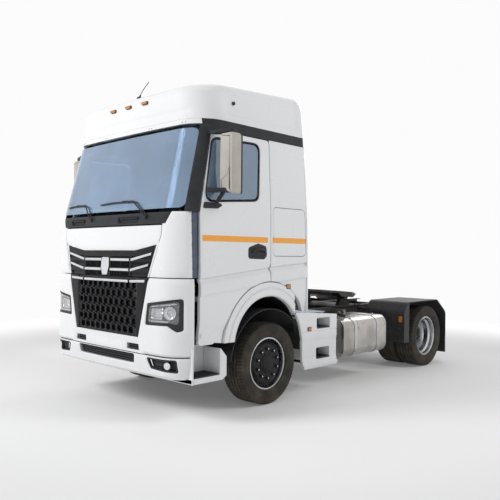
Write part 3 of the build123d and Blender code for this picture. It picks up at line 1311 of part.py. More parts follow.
def arch_flare():
    """Left wheel arch flare: a stepped lip turned about the middle of the arch."""
    inner, face = CAB_HALF - CAB_WALL, CAB_HALF - 4.0
    lip, step = ARCH_LIP - GAP, ARCH_LIP - 72.0
    groove, bead, bevel, end = 8.0, 6.0, 14.0, 4.0
    profile = (
        (inner, lip), (face, lip), (face, step + groove), (face - groove, step),
        (face - groove, step - groove),
        (face + bead, step - 2 * groove), (face + bead, ARCH_OPEN + bevel), (face - end, ARCH_OPEN),
        (inner, ARCH_OPEN),
    )
    flare = turned(profile, (0, FRONT_AXLE_Y - ARCH_AHEAD, ARCH_Z))
    keep_y = (FRONT_AXLE_Y - ARCH_AHEAD - ARCH_LIP, FRONT_AXLE_Y + FLARE_END)
    return flare & block((inner, CAB_HALF + OVERCUT), keep_y, (DOOR_LOW, SPLIT_Z))


def arch_liner():
    """Left wheel arch liner over the tyre, with its two stays."""
    ring_x = (GUARD_IN - 50.0, CAB_HALF - 75.0)
    hub = ((ring_x[0], FRONT_AXLE_Y, HUB_Z), (ring_x[1], FRONT_AXLE_Y, HUB_Z))
    liner = rod(*hub, LINER_RADIUS) - rod(*hub, LINER_RADIUS - LINER_WALL)
    ends = 90.0                  # the liner ends this far above the hub
    liner_y = (FRONT_AXLE_Y - LINER_RADIUS, FRONT_AXLE_Y + LINER_RADIUS)
    liner &= block(ring_x, liner_y, (HUB_Z + ends, HUB_Z + LINER_RADIUS))
    stay_at, stay_half, stay_z, lap = 450.0, 20.0, (850.0, 893.0), 20.0
    for y in (FRONT_AXLE_Y - stay_at, FRONT_AXLE_Y + stay_at):
        liner += block((RAIL_OUT, ring_x[0] + lap), (y - stay_half, y + stay_half), stay_z)
    return liner


def marker_lamps():
    """Three amber roof lamps and the amber side lamps."""
    lamps = Part()
    nose = level_at(BAND_TOP)[0]
    half, ahead, behind, low, high = 50.0, 24.0, 60.0, BAND_TOP + 250.0, BAND_TOP + 278.0
    for x in ROOF_LAMPS:
        lamps += block((x - half, x + half), (nose - ahead, nose + behind), (low, high))
    lamps -= roof_form(0.0)
    side_y = FRONT_AXLE_Y + BOX_START + 20.0
    side_deep, side_long, side_z = 14.0, 70.0, (780.0, 830.0)
    lamps += both_sides(block((BOX_OUT, BOX_OUT + side_deep), (side_y, side_y + side_long), side_z))
    guard_y, guard_deep = REAR_AXLE_Y - GUARD_FORE, 16.0
    guard_x, guard_z = (GUARD_OUT - 90.0, GUARD_OUT - 30.0), (720.0, 810.0)
    return lamps + both_sides(block(guard_x, (guard_y - guard_deep, guard_y), guard_z))


def aerial():
    """Roof aerial."""
    nose = level_at(BAND_TOP)[0]
    foot, tip, radius = (0, nose + 140.0, BAND_TOP + 350.0), (0, nose + 290.0, BAND_TOP + 615.0), 7.0
    return rod(foot, tip, radius) - roof_form(0.0)


def dashboard():
    """Dashboard across the cab under the windscreen."""
    y0, half = FRONT_AXLE_Y - 1225.0, 1120.0
    knee, belly, low, waist, brow = 250.0, 330.0, 1660.0, 1900.0, 2100.0
    outline = ((y0, low), (y0 + knee, low), (y0 + belly, waist), (y0 + knee, brow), (y0, COWL_HIGH))
    room = cab_form(low - OVERCUT, COWL_HIGH, PANEL_SEAT + FIREWALL + SEAT)
    return side_prism(outline, (-half, half)) & room


def steering_wheel():
    """Steering wheel on its column."""
    radius, grip, tilt = 215.0, 16.0, -32.0
    hub_radius, hub_tall, spoke_wide, column_radius = 70.0, 40.0, 46.0, 34.0
    x, y, z = 520.0, FRONT_AXLE_Y - 700.0, 2060.0
    foot = (x, FRONT_AXLE_Y - 930.0, 1890.0)
    seat = Pos(x, y, z) * Rot(tilt, 0, 0)
    ring = seat * Torus(radius, grip)
    spoke = seat * (Box(2 * (radius - 5.0), spoke_wide, grip) + Cylinder(hub_radius, hub_tall))
    return ring + spoke + rod((x, y, z), foot, column_radius) - dashboard()


def seats():
    """Driver's and passenger's seats on their pedestals."""
    y = FRONT_AXLE_Y - 380.0
    base, cushion, top = 1560.0, 1700.0, 2460.0
    base_half, cushion_half, back_half = 200.0, 260.0, 240.0
    # front and rear edges from the seat's middle
    base_y, cushion_y = (y - 180.0, y + 220.0), (y - 270.0, y + 270.0)
    back = ((y + 200.0, cushion), (y + 330.0, cushion), (y + 440.0, top), (y + 350.0, top))
    pair = Part()
    for x in (-SEAT_X, SEAT_X):
        pair += block((x - base_half, x + base_half), base_y, (FLOOR_HIGH, base))
        pair += block((x - cushion_half, x + cushion_half), cushion_y, (base, cushion))
        pair += side_prism(back, (x - back_half, x + back_half))
    return pair


def bunk():
    """Sleeper bunk along the rear wall."""
    half, deep, base, top, clear = 1100.0, 330.0, 1640.0, 1780.0, 40.0
    rear = FRONT_Y + CAB_LENGTH - CAB_WALL - clear
    locker = block((-half, half), (rear - deep, rear), (FLOOR_HIGH, base))
    return locker + block((-half, half), (rear - deep, rear), (base, top))


def wipers():
    """Two wiper arms with their blades, parked across the windscreen."""
    nose = level_at(GLASS_LOW)[0]
    foot_y, foot_z, tip_y, tip_z = nose - 20.0, 2100.0, nose - 14.0, 2260.0
    reach, arm_radius, boss_radius, boss_deep, blade_radius = 330.0, 11.0, 20.0, 40.0, 9.0
    arms = Part()
    for x in (-430.0, 330.0):
        arms += rod((x, foot_y, foot_z), (x - reach, tip_y, tip_z), arm_radius)
        arms += rod((x, foot_y, foot_z), (x, foot_y + boss_deep, foot_z), boss_radius)
        start = (x - reach - 150.0, tip_y + 6.0, tip_z + 5.0)
        arms += rod(start, (x - reach + 260.0, tip_y + 4.0, tip_z - 15.0), blade_radius)
    return arms - cab_form(COWL_LOW, CAB_TOP, COWL_INSET - SEAT)


def build_nodes():
    """Every node's name and its solid or solids."""
    nodes = {
        "frame": ladder_frame(),
        "front_axle": front_axle(),
        "leaf_springs": leaf_springs(),
        "rear_axle": rear_axle(),
        "air_springs": air_springs(),
        "driveline": driveline(),
        "radiator": radiator(),
        "fuel_tank": fuel_tank(),
        "tank_straps": tank_straps(),
        "side_boxes": both_sides(side_box()),
        "silencer_box": silencer_box(),
        "battery_box": battery_box(),
        "rear_mudguards": mudguards(),
        "tail_lamps": tail_lamps(),
        "catwalk": catwalk(),
        "coupling_base": coupling_base(),
        "coupling_plate": coupling_plate(),
        "bumper": bumper(),
        "lower_grille": lower_grille(),
        "lower_blade": lower_blade(),
        "front_lamps": front_lamps(),
        "entry_steps": both_sides(entry_step()),
        "arch_liners": both_sides(arch_liner()),
        "arch_flares": both_sides(arch_flare()),
        "cab_body": cab_body(),
        "windscreen": windscreen(),
        "cowl": cowl(),
        "corner_panels": corner_panels(),
        "roof_band": roof_band(),
        "roof_cap": roof_cap(),
        "marker_lamps": marker_lamps(),
        "aerial": aerial(),
        "dashboard": dashboard(),
        "steering_wheel": steering_wheel(),
        "seats": seats(),
        "bunk": bunk(),
        "wipers": wipers(),
        "hatch": hatch(),
        "upper_grille": upper_grille(),
        "tie_rod": tie_rod(),
    }
    sided = {
        "door": door(),
        "door_glass": door_glass(),
        "mirror": door_mirror(),
        "knuckle": knuckle(),
        "front_rim": front_rim(),
        "front_tyre": front_tyre(),
        "rear_rims": rear_rims(),
        "rear_tyres": rear_tyres(),
    }
    for name, piece in sided.items():
        nodes[f"{name}_left"] = piece
        nodes[f"{name}_right"] = flipped(piece)
    return nodes


if __name__ == "__main__":
    os.makedirs("parts", exist_ok=True)
    for node_name, shape in build_nodes().items():
        export_step(shape, f"parts/{node_name}.step")
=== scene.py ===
"""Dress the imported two-axle tractor unit with its panels, trim and fittings.

Every size below is in metres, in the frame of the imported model: X runs across
the truck with its left side at +X, -Y is forward and the ground is Z = 0.
"""

import json
import logging
import math
from dataclasses import asdict, dataclass, field
from enum import Enum
from typing import Callable, Iterable, Sequence

import bmesh
import bpy
import numpy
from mathutils import Matrix, Vector
from mathutils.geometry import delaunay_2d_cdt

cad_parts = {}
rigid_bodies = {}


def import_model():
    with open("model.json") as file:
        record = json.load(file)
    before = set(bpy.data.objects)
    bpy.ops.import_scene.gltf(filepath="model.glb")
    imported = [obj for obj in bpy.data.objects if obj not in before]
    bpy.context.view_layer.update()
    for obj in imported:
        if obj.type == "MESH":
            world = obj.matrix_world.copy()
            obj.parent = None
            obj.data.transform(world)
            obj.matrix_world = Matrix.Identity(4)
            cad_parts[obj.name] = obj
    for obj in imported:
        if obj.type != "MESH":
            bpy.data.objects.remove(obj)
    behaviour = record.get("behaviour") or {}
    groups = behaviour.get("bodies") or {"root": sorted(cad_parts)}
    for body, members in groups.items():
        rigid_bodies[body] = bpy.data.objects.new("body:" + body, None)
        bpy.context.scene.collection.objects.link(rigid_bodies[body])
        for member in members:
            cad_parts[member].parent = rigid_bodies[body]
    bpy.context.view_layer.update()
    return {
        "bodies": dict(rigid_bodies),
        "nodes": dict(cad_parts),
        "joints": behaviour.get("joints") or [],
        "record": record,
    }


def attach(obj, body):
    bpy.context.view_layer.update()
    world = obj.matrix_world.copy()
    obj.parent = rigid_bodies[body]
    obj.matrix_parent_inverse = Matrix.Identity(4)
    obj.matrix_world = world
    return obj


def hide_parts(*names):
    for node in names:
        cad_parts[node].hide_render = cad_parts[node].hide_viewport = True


LOG = logging.getLogger("tractor")
Point2 = tuple[float, float]
Point3 = tuple[float, float, float]
Colour = tuple[float, float, float]

FRONT_AXLE_Y = -1.42
REAR_AXLE_Y = 2.18
HUB_Z = 0.465
RAIL_OUT = 0.43
ARCH_Y, ARCH_Z = -1.50, 0.69
ACROSS = (1.0, 0.0, 0.0)
UPWARD = (0.0, 0.0, 1.0)
SIDES = (("left", 1.0), ("right", -1.0))


# ---------------------------------------------------------------- shader groups
class Texture(Enum):
    """Kinds of fine texture that a finish can have."""

    MOULDED = "moulded"
    BRUSHED = "brushed"


class Wiring:
    """Adds nodes to one node tree and links them."""

    def __init__(self, tree: bpy.types.NodeTree) -> None:
        """Keep the tree and start from nothing.

        Args:
            tree: The material's or group's node tree.
        """
        self.tree = tree
        self.tree.nodes.clear()

    def feed(self, socket: bpy.types.NodeSocket, value: object) -> None:
        """Link a socket to another one, or set its value.

        Args:
            socket: The socket.
            value: Another socket, or a plain value.
        """
        if isinstance(value, bpy.types.NodeSocket):
            self.tree.links.new(value, socket)
        else:
            socket.default_value = value

    def add(self, kind: str, **values: object) -> bpy.types.Node:
        """Add a node.

        Args:
            kind: The node type's name after ShaderNode.
            **values: Attributes, or input sockets by name with _ for a space.

        Returns:
            The node.
        """
        node = self.tree.nodes.new("ShaderNode" + kind)
        for name, value in values.items():
            if hasattr(node, name):
                setattr(node, name, value)
            else:
                self.feed(node.inputs[name.replace("_", " ")], value)
        return node

    def math(self, operation: str, *terms: object) -> bpy.types.NodeSocket:
        """Add a Math node.

        Args:
            operation: The operation's name.
            *terms: Numbers or sockets, in order.

        Returns:
            The result's socket.
        """
        node = self.add("Math", operation=operation)
        for socket, term in zip(node.inputs, terms):
            self.feed(socket, term)
        return node.outputs[0]

    def ramp(self, value: bpy.types.NodeSocket, low: float, high: float,
             start: float = 0.0, end: float = 1.0) -> bpy.types.NodeSocket:
        """Map a value's range smoothly to another range.

        Args:
            value: The value's socket.
            low: Value that gives start.
            high: Value that gives end.
            start: Result at low.
            end: Result at high.

        Returns:
            The result's socket.
        """
        node = self.add("MapRange", interpolation_type="SMOOTHSTEP", Value=value,
                        From_Min=low, From_Max=high, To_Min=start, To_Max=end)
        return node.outputs["Result"]

    def mix(self, share: object, first: object, second: object) -> bpy.types.NodeSocket:
        """Mix two colours.

        Args:
            share: Number or socket, how much of the second.
            first: First colour or socket.
            second: Second colour or socket.

        Returns:
            The colour's socket.
        """
        node = self.add("Mix", data_type="RGBA")
        feeds = (("Factor", "VALUE", share), ("A", "RGBA", first), ("B", "RGBA", second))
        for name, kind, value in feeds:
            socket = next(s for s in node.inputs if s.name == name and s.type == kind)
            self.feed(socket, (*value, 1.0) if isinstance(value, tuple) else value)
        return next(s for s in node.outputs if s.type == "RGBA")

    def group(self, tree: bpy.types.NodeTree, **values: object) -> bpy.types.Node:
        """Place a shader group.

        Args:
            tree: The group.
            **values: Its inputs by name with _ for a space.

        Returns:
            The group's node.
        """
        return self.add("Group", node_tree=tree, **values)

    def coordinates(self) -> bpy.types.NodeSocket:
        """Places in the object's own frame."""
        return self.add("TexCoord").outputs["Object"]


@dataclass(frozen=True)
class GroupPlan:
    """Name of a shader group, its inputs with their values, and its outputs, all numbers."""

    name: str
    inputs: tuple[tuple[str, float], ...]
    outputs: tuple[str, ...]

    def start(self) -> tuple[Wiring, bpy.types.Node, bpy.types.Node]:
        """Make the empty group.

        Returns:
            Its wiring, its input node and its output node.
        """
        tree = bpy.data.node_groups.new(self.name, "ShaderNodeTree")
        for name, value in self.inputs:
            socket = tree.interface.new_socket(name, in_out="INPUT", socket_type="NodeSocketFloat")
            socket.default_value = value
        for name in self.outputs:
            tree.interface.new_socket(name, in_out="OUTPUT", socket_type="NodeSocketFloat")
        return Wiring(tree), tree.nodes.new("NodeGroupInput"), tree.nodes.new("NodeGroupOutput")


class Effects:
    """The shader groups that the finishes share."""

    def __init__(self) -> None:
        """Build every group once."""
        self.grain = self._grain()
        self.dust = self._dust()
        self.wear = self._wear()
        self.brushed = self._brushed()

    @staticmethod
    def _grain() -> bpy.types.NodeTree:
        """Fine moulded or cast grain.

        Returns:
            The group.
        """
        plan = GroupPlan("Surface grain", (("Scale", 400.0), ("Blotch", 6.0)), ("Height", "Mask"))
        w, inlet, outlet = plan.start()
        place = w.coordinates()
        fine = w.add("TexNoise", Vector=place, Scale=inlet.outputs["Scale"], Detail=3.0)
        broad = w.add("TexNoise", Vector=place, Scale=inlet.outputs["Blotch"], Detail=4.0)
        w.feed(outlet.inputs["Height"], fine.outputs["Fac"])
        w.feed(outlet.inputs["Mask"], broad.outputs["Fac"])
        return w.tree

    @staticmethod
    def _dust() -> bpy.types.NodeTree:
        """Road dust that thins out with height above the ground.

        Returns:
            The group.
        """
        plan = GroupPlan("Road dust", (("Reach", 1.0), ("Amount", 0.5), ("Scale", 7.0)), ("Mask",))
        w, inlet, outlet = plan.start()
        place = w.coordinates()
        axes = w.add("SeparateXYZ", Vector=place)
        share = w.math("DIVIDE", axes.outputs["Z"], inlet.outputs["Reach"])
        low = w.math("SUBTRACT", 1.0, share)
        broad = w.add("TexNoise", Vector=place, Scale=inlet.outputs["Scale"], Detail=6.0)
        patch = w.ramp(broad.outputs["Fac"], 0.25, 0.8)
        fade = w.ramp(low, 0.0, 1.0)
        both = w.math("MULTIPLY", w.math("MULTIPLY", patch, fade), inlet.outputs["Amount"])
        w.feed(outlet.inputs["Mask"], w.math("MINIMUM", both, 1.0))
        return w.tree

    @staticmethod
    def _wear() -> bpy.types.NodeTree:
        """Rubbed edges, broken up by noise.

        Returns:
            The group.
        """
        plan = GroupPlan("Edge wear", (("Amount", 0.5), ("Scale", 30.0)), ("Mask",))
        w, inlet, outlet = plan.start()
        shape = w.add("NewGeometry")
        place = w.coordinates()
        noise = w.add("TexNoise", Vector=place, Scale=inlet.outputs["Scale"], Detail=5.0)
        edge = w.ramp(shape.outputs["Pointiness"], 0.52, 0.62)
        broken = w.math("MULTIPLY", edge, w.ramp(noise.outputs["Fac"], 0.3, 0.7))
        w.feed(outlet.inputs["Mask"], w.math("MULTIPLY", broken, inlet.outputs["Amount"]))
        return w.tree

    @staticmethod
    def _brushed() -> bpy.types.NodeTree:
        """Brush lines that run along Y.

        Returns:
            The group.
        """
        plan = GroupPlan("Brush lines", (("Scale", 120.0), ("Along", 3.0)), ("Height", "Mask"))
        w, inlet, outlet = plan.start()
        place = w.coordinates()
        axes = w.add("SeparateXYZ", Vector=place)
        across = w.math("MULTIPLY", axes.outputs["X"], inlet.outputs["Scale"])
        up = w.math("MULTIPLY", axes.outputs["Z"], inlet.outputs["Scale"])
        along = w.math("MULTIPLY", axes.outputs["Y"], inlet.outputs["Along"])
        joined = w.add("CombineXYZ", X=across, Y=along, Z=up)
        lines = w.add("TexNoise", Vector=joined.outputs[0], Scale=1.0, Detail=4.0)
        broad = w.add("TexNoise", Vector=place, Scale=4.0, Detail=3.0)
        w.feed(outlet.inputs["Height"], lines.outputs["Fac"])
        w.feed(outlet.inputs["Mask"], broad.outputs["Fac"])
        return w.tree


# ---------------------------------------------------------------- finishes
@dataclass(frozen=True)
class Coating:
    """What every finish shares: a name, a colour, and a material that is made once."""

    name: str
    colour: Colour

    def shader(self, w: Wiring, effects: Effects) -> bpy.types.Node:
        """Add the finish's shader.

        Args:
            w: The material's wiring, not used here.
            effects: The shared groups, not used here.

        Returns:
            The shader's node.
        """
        raise NotImplementedError(self.name)

    def material(self, effects: Effects) -> bpy.types.Material:
        """Make the material, or find it made before.

        Args:
            effects: The shared groups.

        Returns:
            The material.
        """
        made = bpy.data.materials.get(self.name)
        if made is None:
            made = bpy.data.materials.new(self.name)
            made.use_nodes = True
            w = Wiring(made.node_tree)
            w.add("OutputMaterial", Surface=self.shader(w, effects).outputs["BSDF"])
        return made


@dataclass(frozen=True)
class Finish(Coating):
    """An opaque finish: two tones in broad patches, fine grain, dust and rubbed edges."""

    tint: Colour
    roughness: float = 0.5
    uneven: float = 0.12
    metallic: float = 0.0
    coat: float = 0.0
    grain: float = 500.0
    blotch: float = 5.0
    bump: float = 0.05
    dust: float = 0.0
    dust_reach: float = 1.3
    dust_colour: Colour = (0.36, 0.32, 0.27)
    dust_roughness: float = 0.35
    wear: float = 0.0
    wear_colour: Colour = (0.5, 0.5, 0.5)
    texture: Texture = Texture.MOULDED
    specular: float = 0.5

    def tone(self, w: Wiring, colour: bpy.types.NodeSocket) -> bpy.types.NodeSocket:
        """Add what this kind of finish paints over the patches.

        Args:
            w: The material's wiring, not used here.
            colour: The colour so far.

        Returns:
            The colour's socket.
        """
        return colour

    def shader(self, w: Wiring, effects: Effects) -> bpy.types.Node:
        """Add the finish's shader.

        Args:
            w: The material's wiring.
            effects: The shared groups.

        Returns:
            The shader's node.
        """
        if self.texture is Texture.BRUSHED:
            grain = w.group(effects.brushed, Scale=self.grain, Along=self.blotch)
        else:
            grain = w.group(effects.grain, Scale=self.grain, Blotch=self.blotch)
        mask = grain.outputs["Mask"]
        colour = self.tone(w, w.mix(w.ramp(mask, 0.32, 0.68), self.colour, self.tint))
        least, most = self.roughness * (1 - self.uneven), self.roughness * (1 + self.uneven)
        rough = w.ramp(mask, 0.3, 0.7, least, most)
        if self.wear > 0.0:
            wear = w.group(effects.wear, Amount=self.wear)
            colour = w.mix(wear.outputs["Mask"], colour, self.wear_colour)
        if self.dust > 0.0:
            dust = w.group(effects.dust, Reach=self.dust_reach, Amount=self.dust).outputs["Mask"]
            colour = w.mix(dust, colour, self.dust_colour)
            rough = w.math("ADD", rough, w.math("MULTIPLY", dust, self.dust_roughness))
        shader = w.add("BsdfPrincipled", Base_Color=colour, Roughness=rough, Metallic=self.metallic,
                       Specular_IOR_Level=self.specular, Coat_Weight=self.coat, Coat_Roughness=0.05)
        if self.bump > 0.0:
            bump = w.add("Bump", Strength=self.bump, Distance=0.002, Height=grain.outputs["Height"])
            w.feed(shader.inputs["Normal"], bump.outputs["Normal"])
        return shader


@dataclass(frozen=True)
class StripedPaint(Finish):
    """Body paint with a level stripe along the cab's sides."""

    stripe: Colour = (0.9, 0.36, 0.01)
    stripe_low: float = 1.835
    stripe_high: float = 1.897
    runs: tuple[tuple[float, float], ...] = ((-2.515, -1.535), (-1.452, -0.85))
    side_x: float = 1.225

    def tone(self, w: Wiring, colour: bpy.types.NodeSocket) -> bpy.types.NodeSocket:
        """Paint the stripe between its ends, on the sides alone.

        Args:
            w: The material's wiring.
            colour: The colour so far.

        Returns:
            The colour's socket.
        """
        axes = w.add("SeparateXYZ", Vector=w.coordinates())
        above = w.math("GREATER_THAN", axes.outputs["Z"], self.stripe_low)
        below = w.math("LESS_THAN", axes.outputs["Z"], self.stripe_high)
        level = w.math("MULTIPLY", above, below)
        run: object = 0.0
        for start, end in self.runs:
            after = w.math("GREATER_THAN", axes.outputs["Y"], start)
            before = w.math("LESS_THAN", axes.outputs["Y"], end)
            run = w.math("ADD", run, w.math("MULTIPLY", after, before))
        side = w.math("GREATER_THAN", w.math("ABSOLUTE", axes.outputs["X"]), self.side_x)
        share = w.math("MULTIPLY", w.math("MULTIPLY", level, run), side)
        return w.mix(share, colour, self.stripe)


@dataclass(frozen=True)
class Pane(Coating):
    """Tinted glass or a clear lamp lens."""

    transmission: float = 1.0
    roughness: float = 0.03
    ior: float = 1.5

    def shader(self, w: Wiring, effects: Effects) -> bpy.types.Node:
        """Add the pane's shader.

        Args:
            w: The material's wiring.
            effects: The shared groups.

        Returns:
            The shader's node.
        """
        mask = w.group(effects.grain, Scale=60.0, Blotch=2.0).outputs["Mask"]
        darker = tuple(0.82 * part for part in self.colour)
        return w.add(
            "BsdfPrincipled", Base_Color=w.mix(w.ramp(mask, 0.3, 0.7), self.colour, darker),
            Roughness=w.ramp(mask, 0.2, 0.8, self.roughness, self.roughness * 2.0), IOR=self.ior,
            Transmission_Weight=self.transmission, Coat_Weight=0.6, Coat_Roughness=0.02,
        )


PLAIN_PAINT = Finish(
    "panel paint", (0.80, 0.81, 0.82), (0.785, 0.795, 0.81), roughness=0.28, coat=0.7, grain=900.0,
    blotch=1.5, bump=0.003, dust=0.12, dust_reach=1.1,
)
WHITE_PAINT = StripedPaint(**{**asdict(PLAIN_PAINT), "name": "cab paint"})
BLACK_PLASTIC = Finish(
    "black plastic", (0.022, 0.023, 0.026), (0.034, 0.035, 0.038), roughness=0.46, grain=700.0,
    specular=0.22, bump=0.25, dust=0.05, wear=0.15, wear_colour=(0.12, 0.12, 0.12),
)
# Blue-grey painted shade: stands for the white walls of the slots behind the corner panels in
# shadow.
SLOT_PAINTED_SHADE = Finish("slot painted shade", (0.10, 0.13, 0.19), (0.08, 0.105, 0.155), roughness=0.45,
                   grain=500.0, bump=0.1, dust=0.1)
GRILLE_BLACK = Finish("grille black", (0.005, 0.005, 0.006), (0.010, 0.010, 0.012), roughness=0.26,
                      specular=0.2, grain=600.0, bump=0.08)
BRIGHT_STRIP = Finish("bright strip", (0.80, 0.81, 0.83), (0.70, 0.71, 0.74), roughness=0.18,
                      metallic=1.0, grain=500.0, bump=0.02)
CHASSIS_BLACK = Finish("chassis black", (0.018, 0.018, 0.020), (0.035, 0.033, 0.031), roughness=0.5,
                       specular=0.25, grain=260.0, blotch=7.0, bump=0.3, dust=0.22, wear=0.2,
                       wear_colour=(0.16, 0.15, 0.14))
AXLE_GREY = Finish("axle grey", (0.045, 0.045, 0.048), (0.075, 0.07, 0.065), roughness=0.6,
                   grain=160.0, blotch=9.0, bump=0.5, dust=0.5, wear=0.3,
                   wear_colour=(0.3, 0.28, 0.26))
DECK_METAL = Finish("deck plate", (0.30, 0.36, 0.44), (0.22, 0.27, 0.34), roughness=0.35,
                    metallic=0.8, grain=220.0, bump=0.15, dust=0.2, wear=0.3,
                    wear_colour=(0.5, 0.5, 0.5))
RUBBER = Finish("bellows rubber", (0.016, 0.016, 0.017), (0.03, 0.029, 0.028), roughness=0.75,
                grain=420.0, bump=0.3, dust=0.4)
TYRE_RUBBER = Finish("tyre rubber", (0.020, 0.0195, 0.019), (0.042, 0.038, 0.034), roughness=0.8,
                     specular=0.25, grain=260.0, blotch=5.0, bump=0.5, dust=0.36, dust_reach=1.6,
                     dust_colour=(0.21, 0.175, 0.13), wear=0.5, wear_colour=(0.2, 0.165, 0.12))
RADIATOR_METAL = Finish("radiator metal", (0.16, 0.165, 0.17), (0.1, 0.1, 0.1), roughness=0.5,
                        metallic=0.7, grain=300.0, bump=0.3)
TANK_METAL = Finish("tank aluminium", (0.50, 0.48, 0.455), (0.36, 0.34, 0.32), roughness=0.26,
                    metallic=1.0, grain=160.0, blotch=3.0, bump=0.06, dust=0.08, dust_reach=0.95,
                    texture=Texture.BRUSHED)
STRAP_STEEL = Finish("strap steel", (0.55, 0.55, 0.55), (0.42, 0.42, 0.42), roughness=0.32,
                     metallic=1.0, grain=200.0, bump=0.1, wear=0.3, wear_colour=(0.7, 0.7, 0.7))
SILENCER_STEEL = Finish("silencer steel", (0.34, 0.34, 0.34), (0.22, 0.21, 0.2), roughness=0.42,
                        metallic=0.9, grain=120.0, blotch=6.0, bump=0.15, dust=0.3)
TRIM_GREY = Finish("interior trim", (0.17, 0.175, 0.185), (0.13, 0.135, 0.14), roughness=0.65,
                   grain=500.0, bump=0.3)
RIM_STEEL = Finish(
    "rim steel", (0.62, 0.63, 0.65), (0.50, 0.51, 0.54), roughness=0.25, metallic=1.0, grain=220.0,
    blotch=4.0, bump=0.08, dust=0.2, wear=0.2, wear_colour=(0.8, 0.8, 0.8),
)
HUB_BLACK = Finish("hub black", (0.008, 0.008, 0.009), (0.016, 0.016, 0.016), roughness=0.45,
                   specular=0.25, grain=260.0, bump=0.15)
COUPLING_STEEL = Finish("coupling steel", (0.022, 0.022, 0.024), (0.06, 0.056, 0.052),
                        roughness=0.45, metallic=0.4, grain=120.0, blotch=2.0, bump=0.2, wear=0.3,
                        wear_colour=(0.2, 0.19, 0.18))
SEAT_FABRIC = Finish("seat fabric", (0.075, 0.08, 0.09), (0.05, 0.053, 0.06), roughness=0.9,
                     grain=900.0, blotch=30.0, bump=0.6)
BUNK_FABRIC = Finish("bunk fabric", (0.28, 0.285, 0.29), (0.21, 0.215, 0.225), roughness=0.92,
                     grain=700.0, blotch=24.0, bump=0.6)
MIRROR_SHELL = Finish(
    "mirror shell", (0.50, 0.47, 0.42), (0.43, 0.405, 0.36), roughness=0.5, grain=600.0, bump=0.12,
)
# The glasses' blue is partly their own tint and partly a painted reflection of a blue sky.
WINDSCREEN_GLASS_PAINTED_SKY = Pane("windscreen glass with painted sky", (0.34, 0.53, 0.78), transmission=0.62, roughness=0.02,
                        ior=1.7)
SIDE_GLASS_PAINTED_SKY = Pane("side glass with painted sky", (0.34, 0.50, 0.70), transmission=0.6, roughness=0.02, ior=1.7)
LAMP_CLEAR = Pane("lamp clear", (0.95, 0.96, 0.97), transmission=0.95, roughness=0.02)
LAMP_AMBER = Pane("lamp amber", (0.95, 0.30, 0.02), transmission=0.35, roughness=0.12)
LAMP_RED = Pane("lamp red", (0.55, 0.02, 0.02), transmission=0.35, roughness=0.12)

SLOT_FINISHES = {
    "chassis_black": CHASSIS_BLACK,
    "axle_grey": AXLE_GREY,
    "air_spring_rubber": RUBBER,
    "radiator_metal": RADIATOR_METAL,
    "tank_aluminium": TANK_METAL,
    "strap_steel": STRAP_STEEL,
    "cab_white": WHITE_PAINT,
    "black_plastic": BLACK_PLASTIC,
    "grille_black": GRILLE_BLACK,
    "bright_strip": BRIGHT_STRIP,
    "lamp_clear": LAMP_CLEAR,
    "lamp_red": LAMP_RED,
    "lamp_amber": LAMP_AMBER,
    "window_glass": WINDSCREEN_GLASS_PAINTED_SKY,
    "silencer_steel": SILENCER_STEEL,
    "trim_grey": TRIM_GREY,
    "wheel_rim_black": HUB_BLACK,
    "seat_fabric": SEAT_FABRIC,
    "bunk_fabric": BUNK_FABRIC,
    "rim_steel": RIM_STEEL,
    "tyre_rubber": TYRE_RUBBER,
    "coupling_steel": COUPLING_STEEL,
}


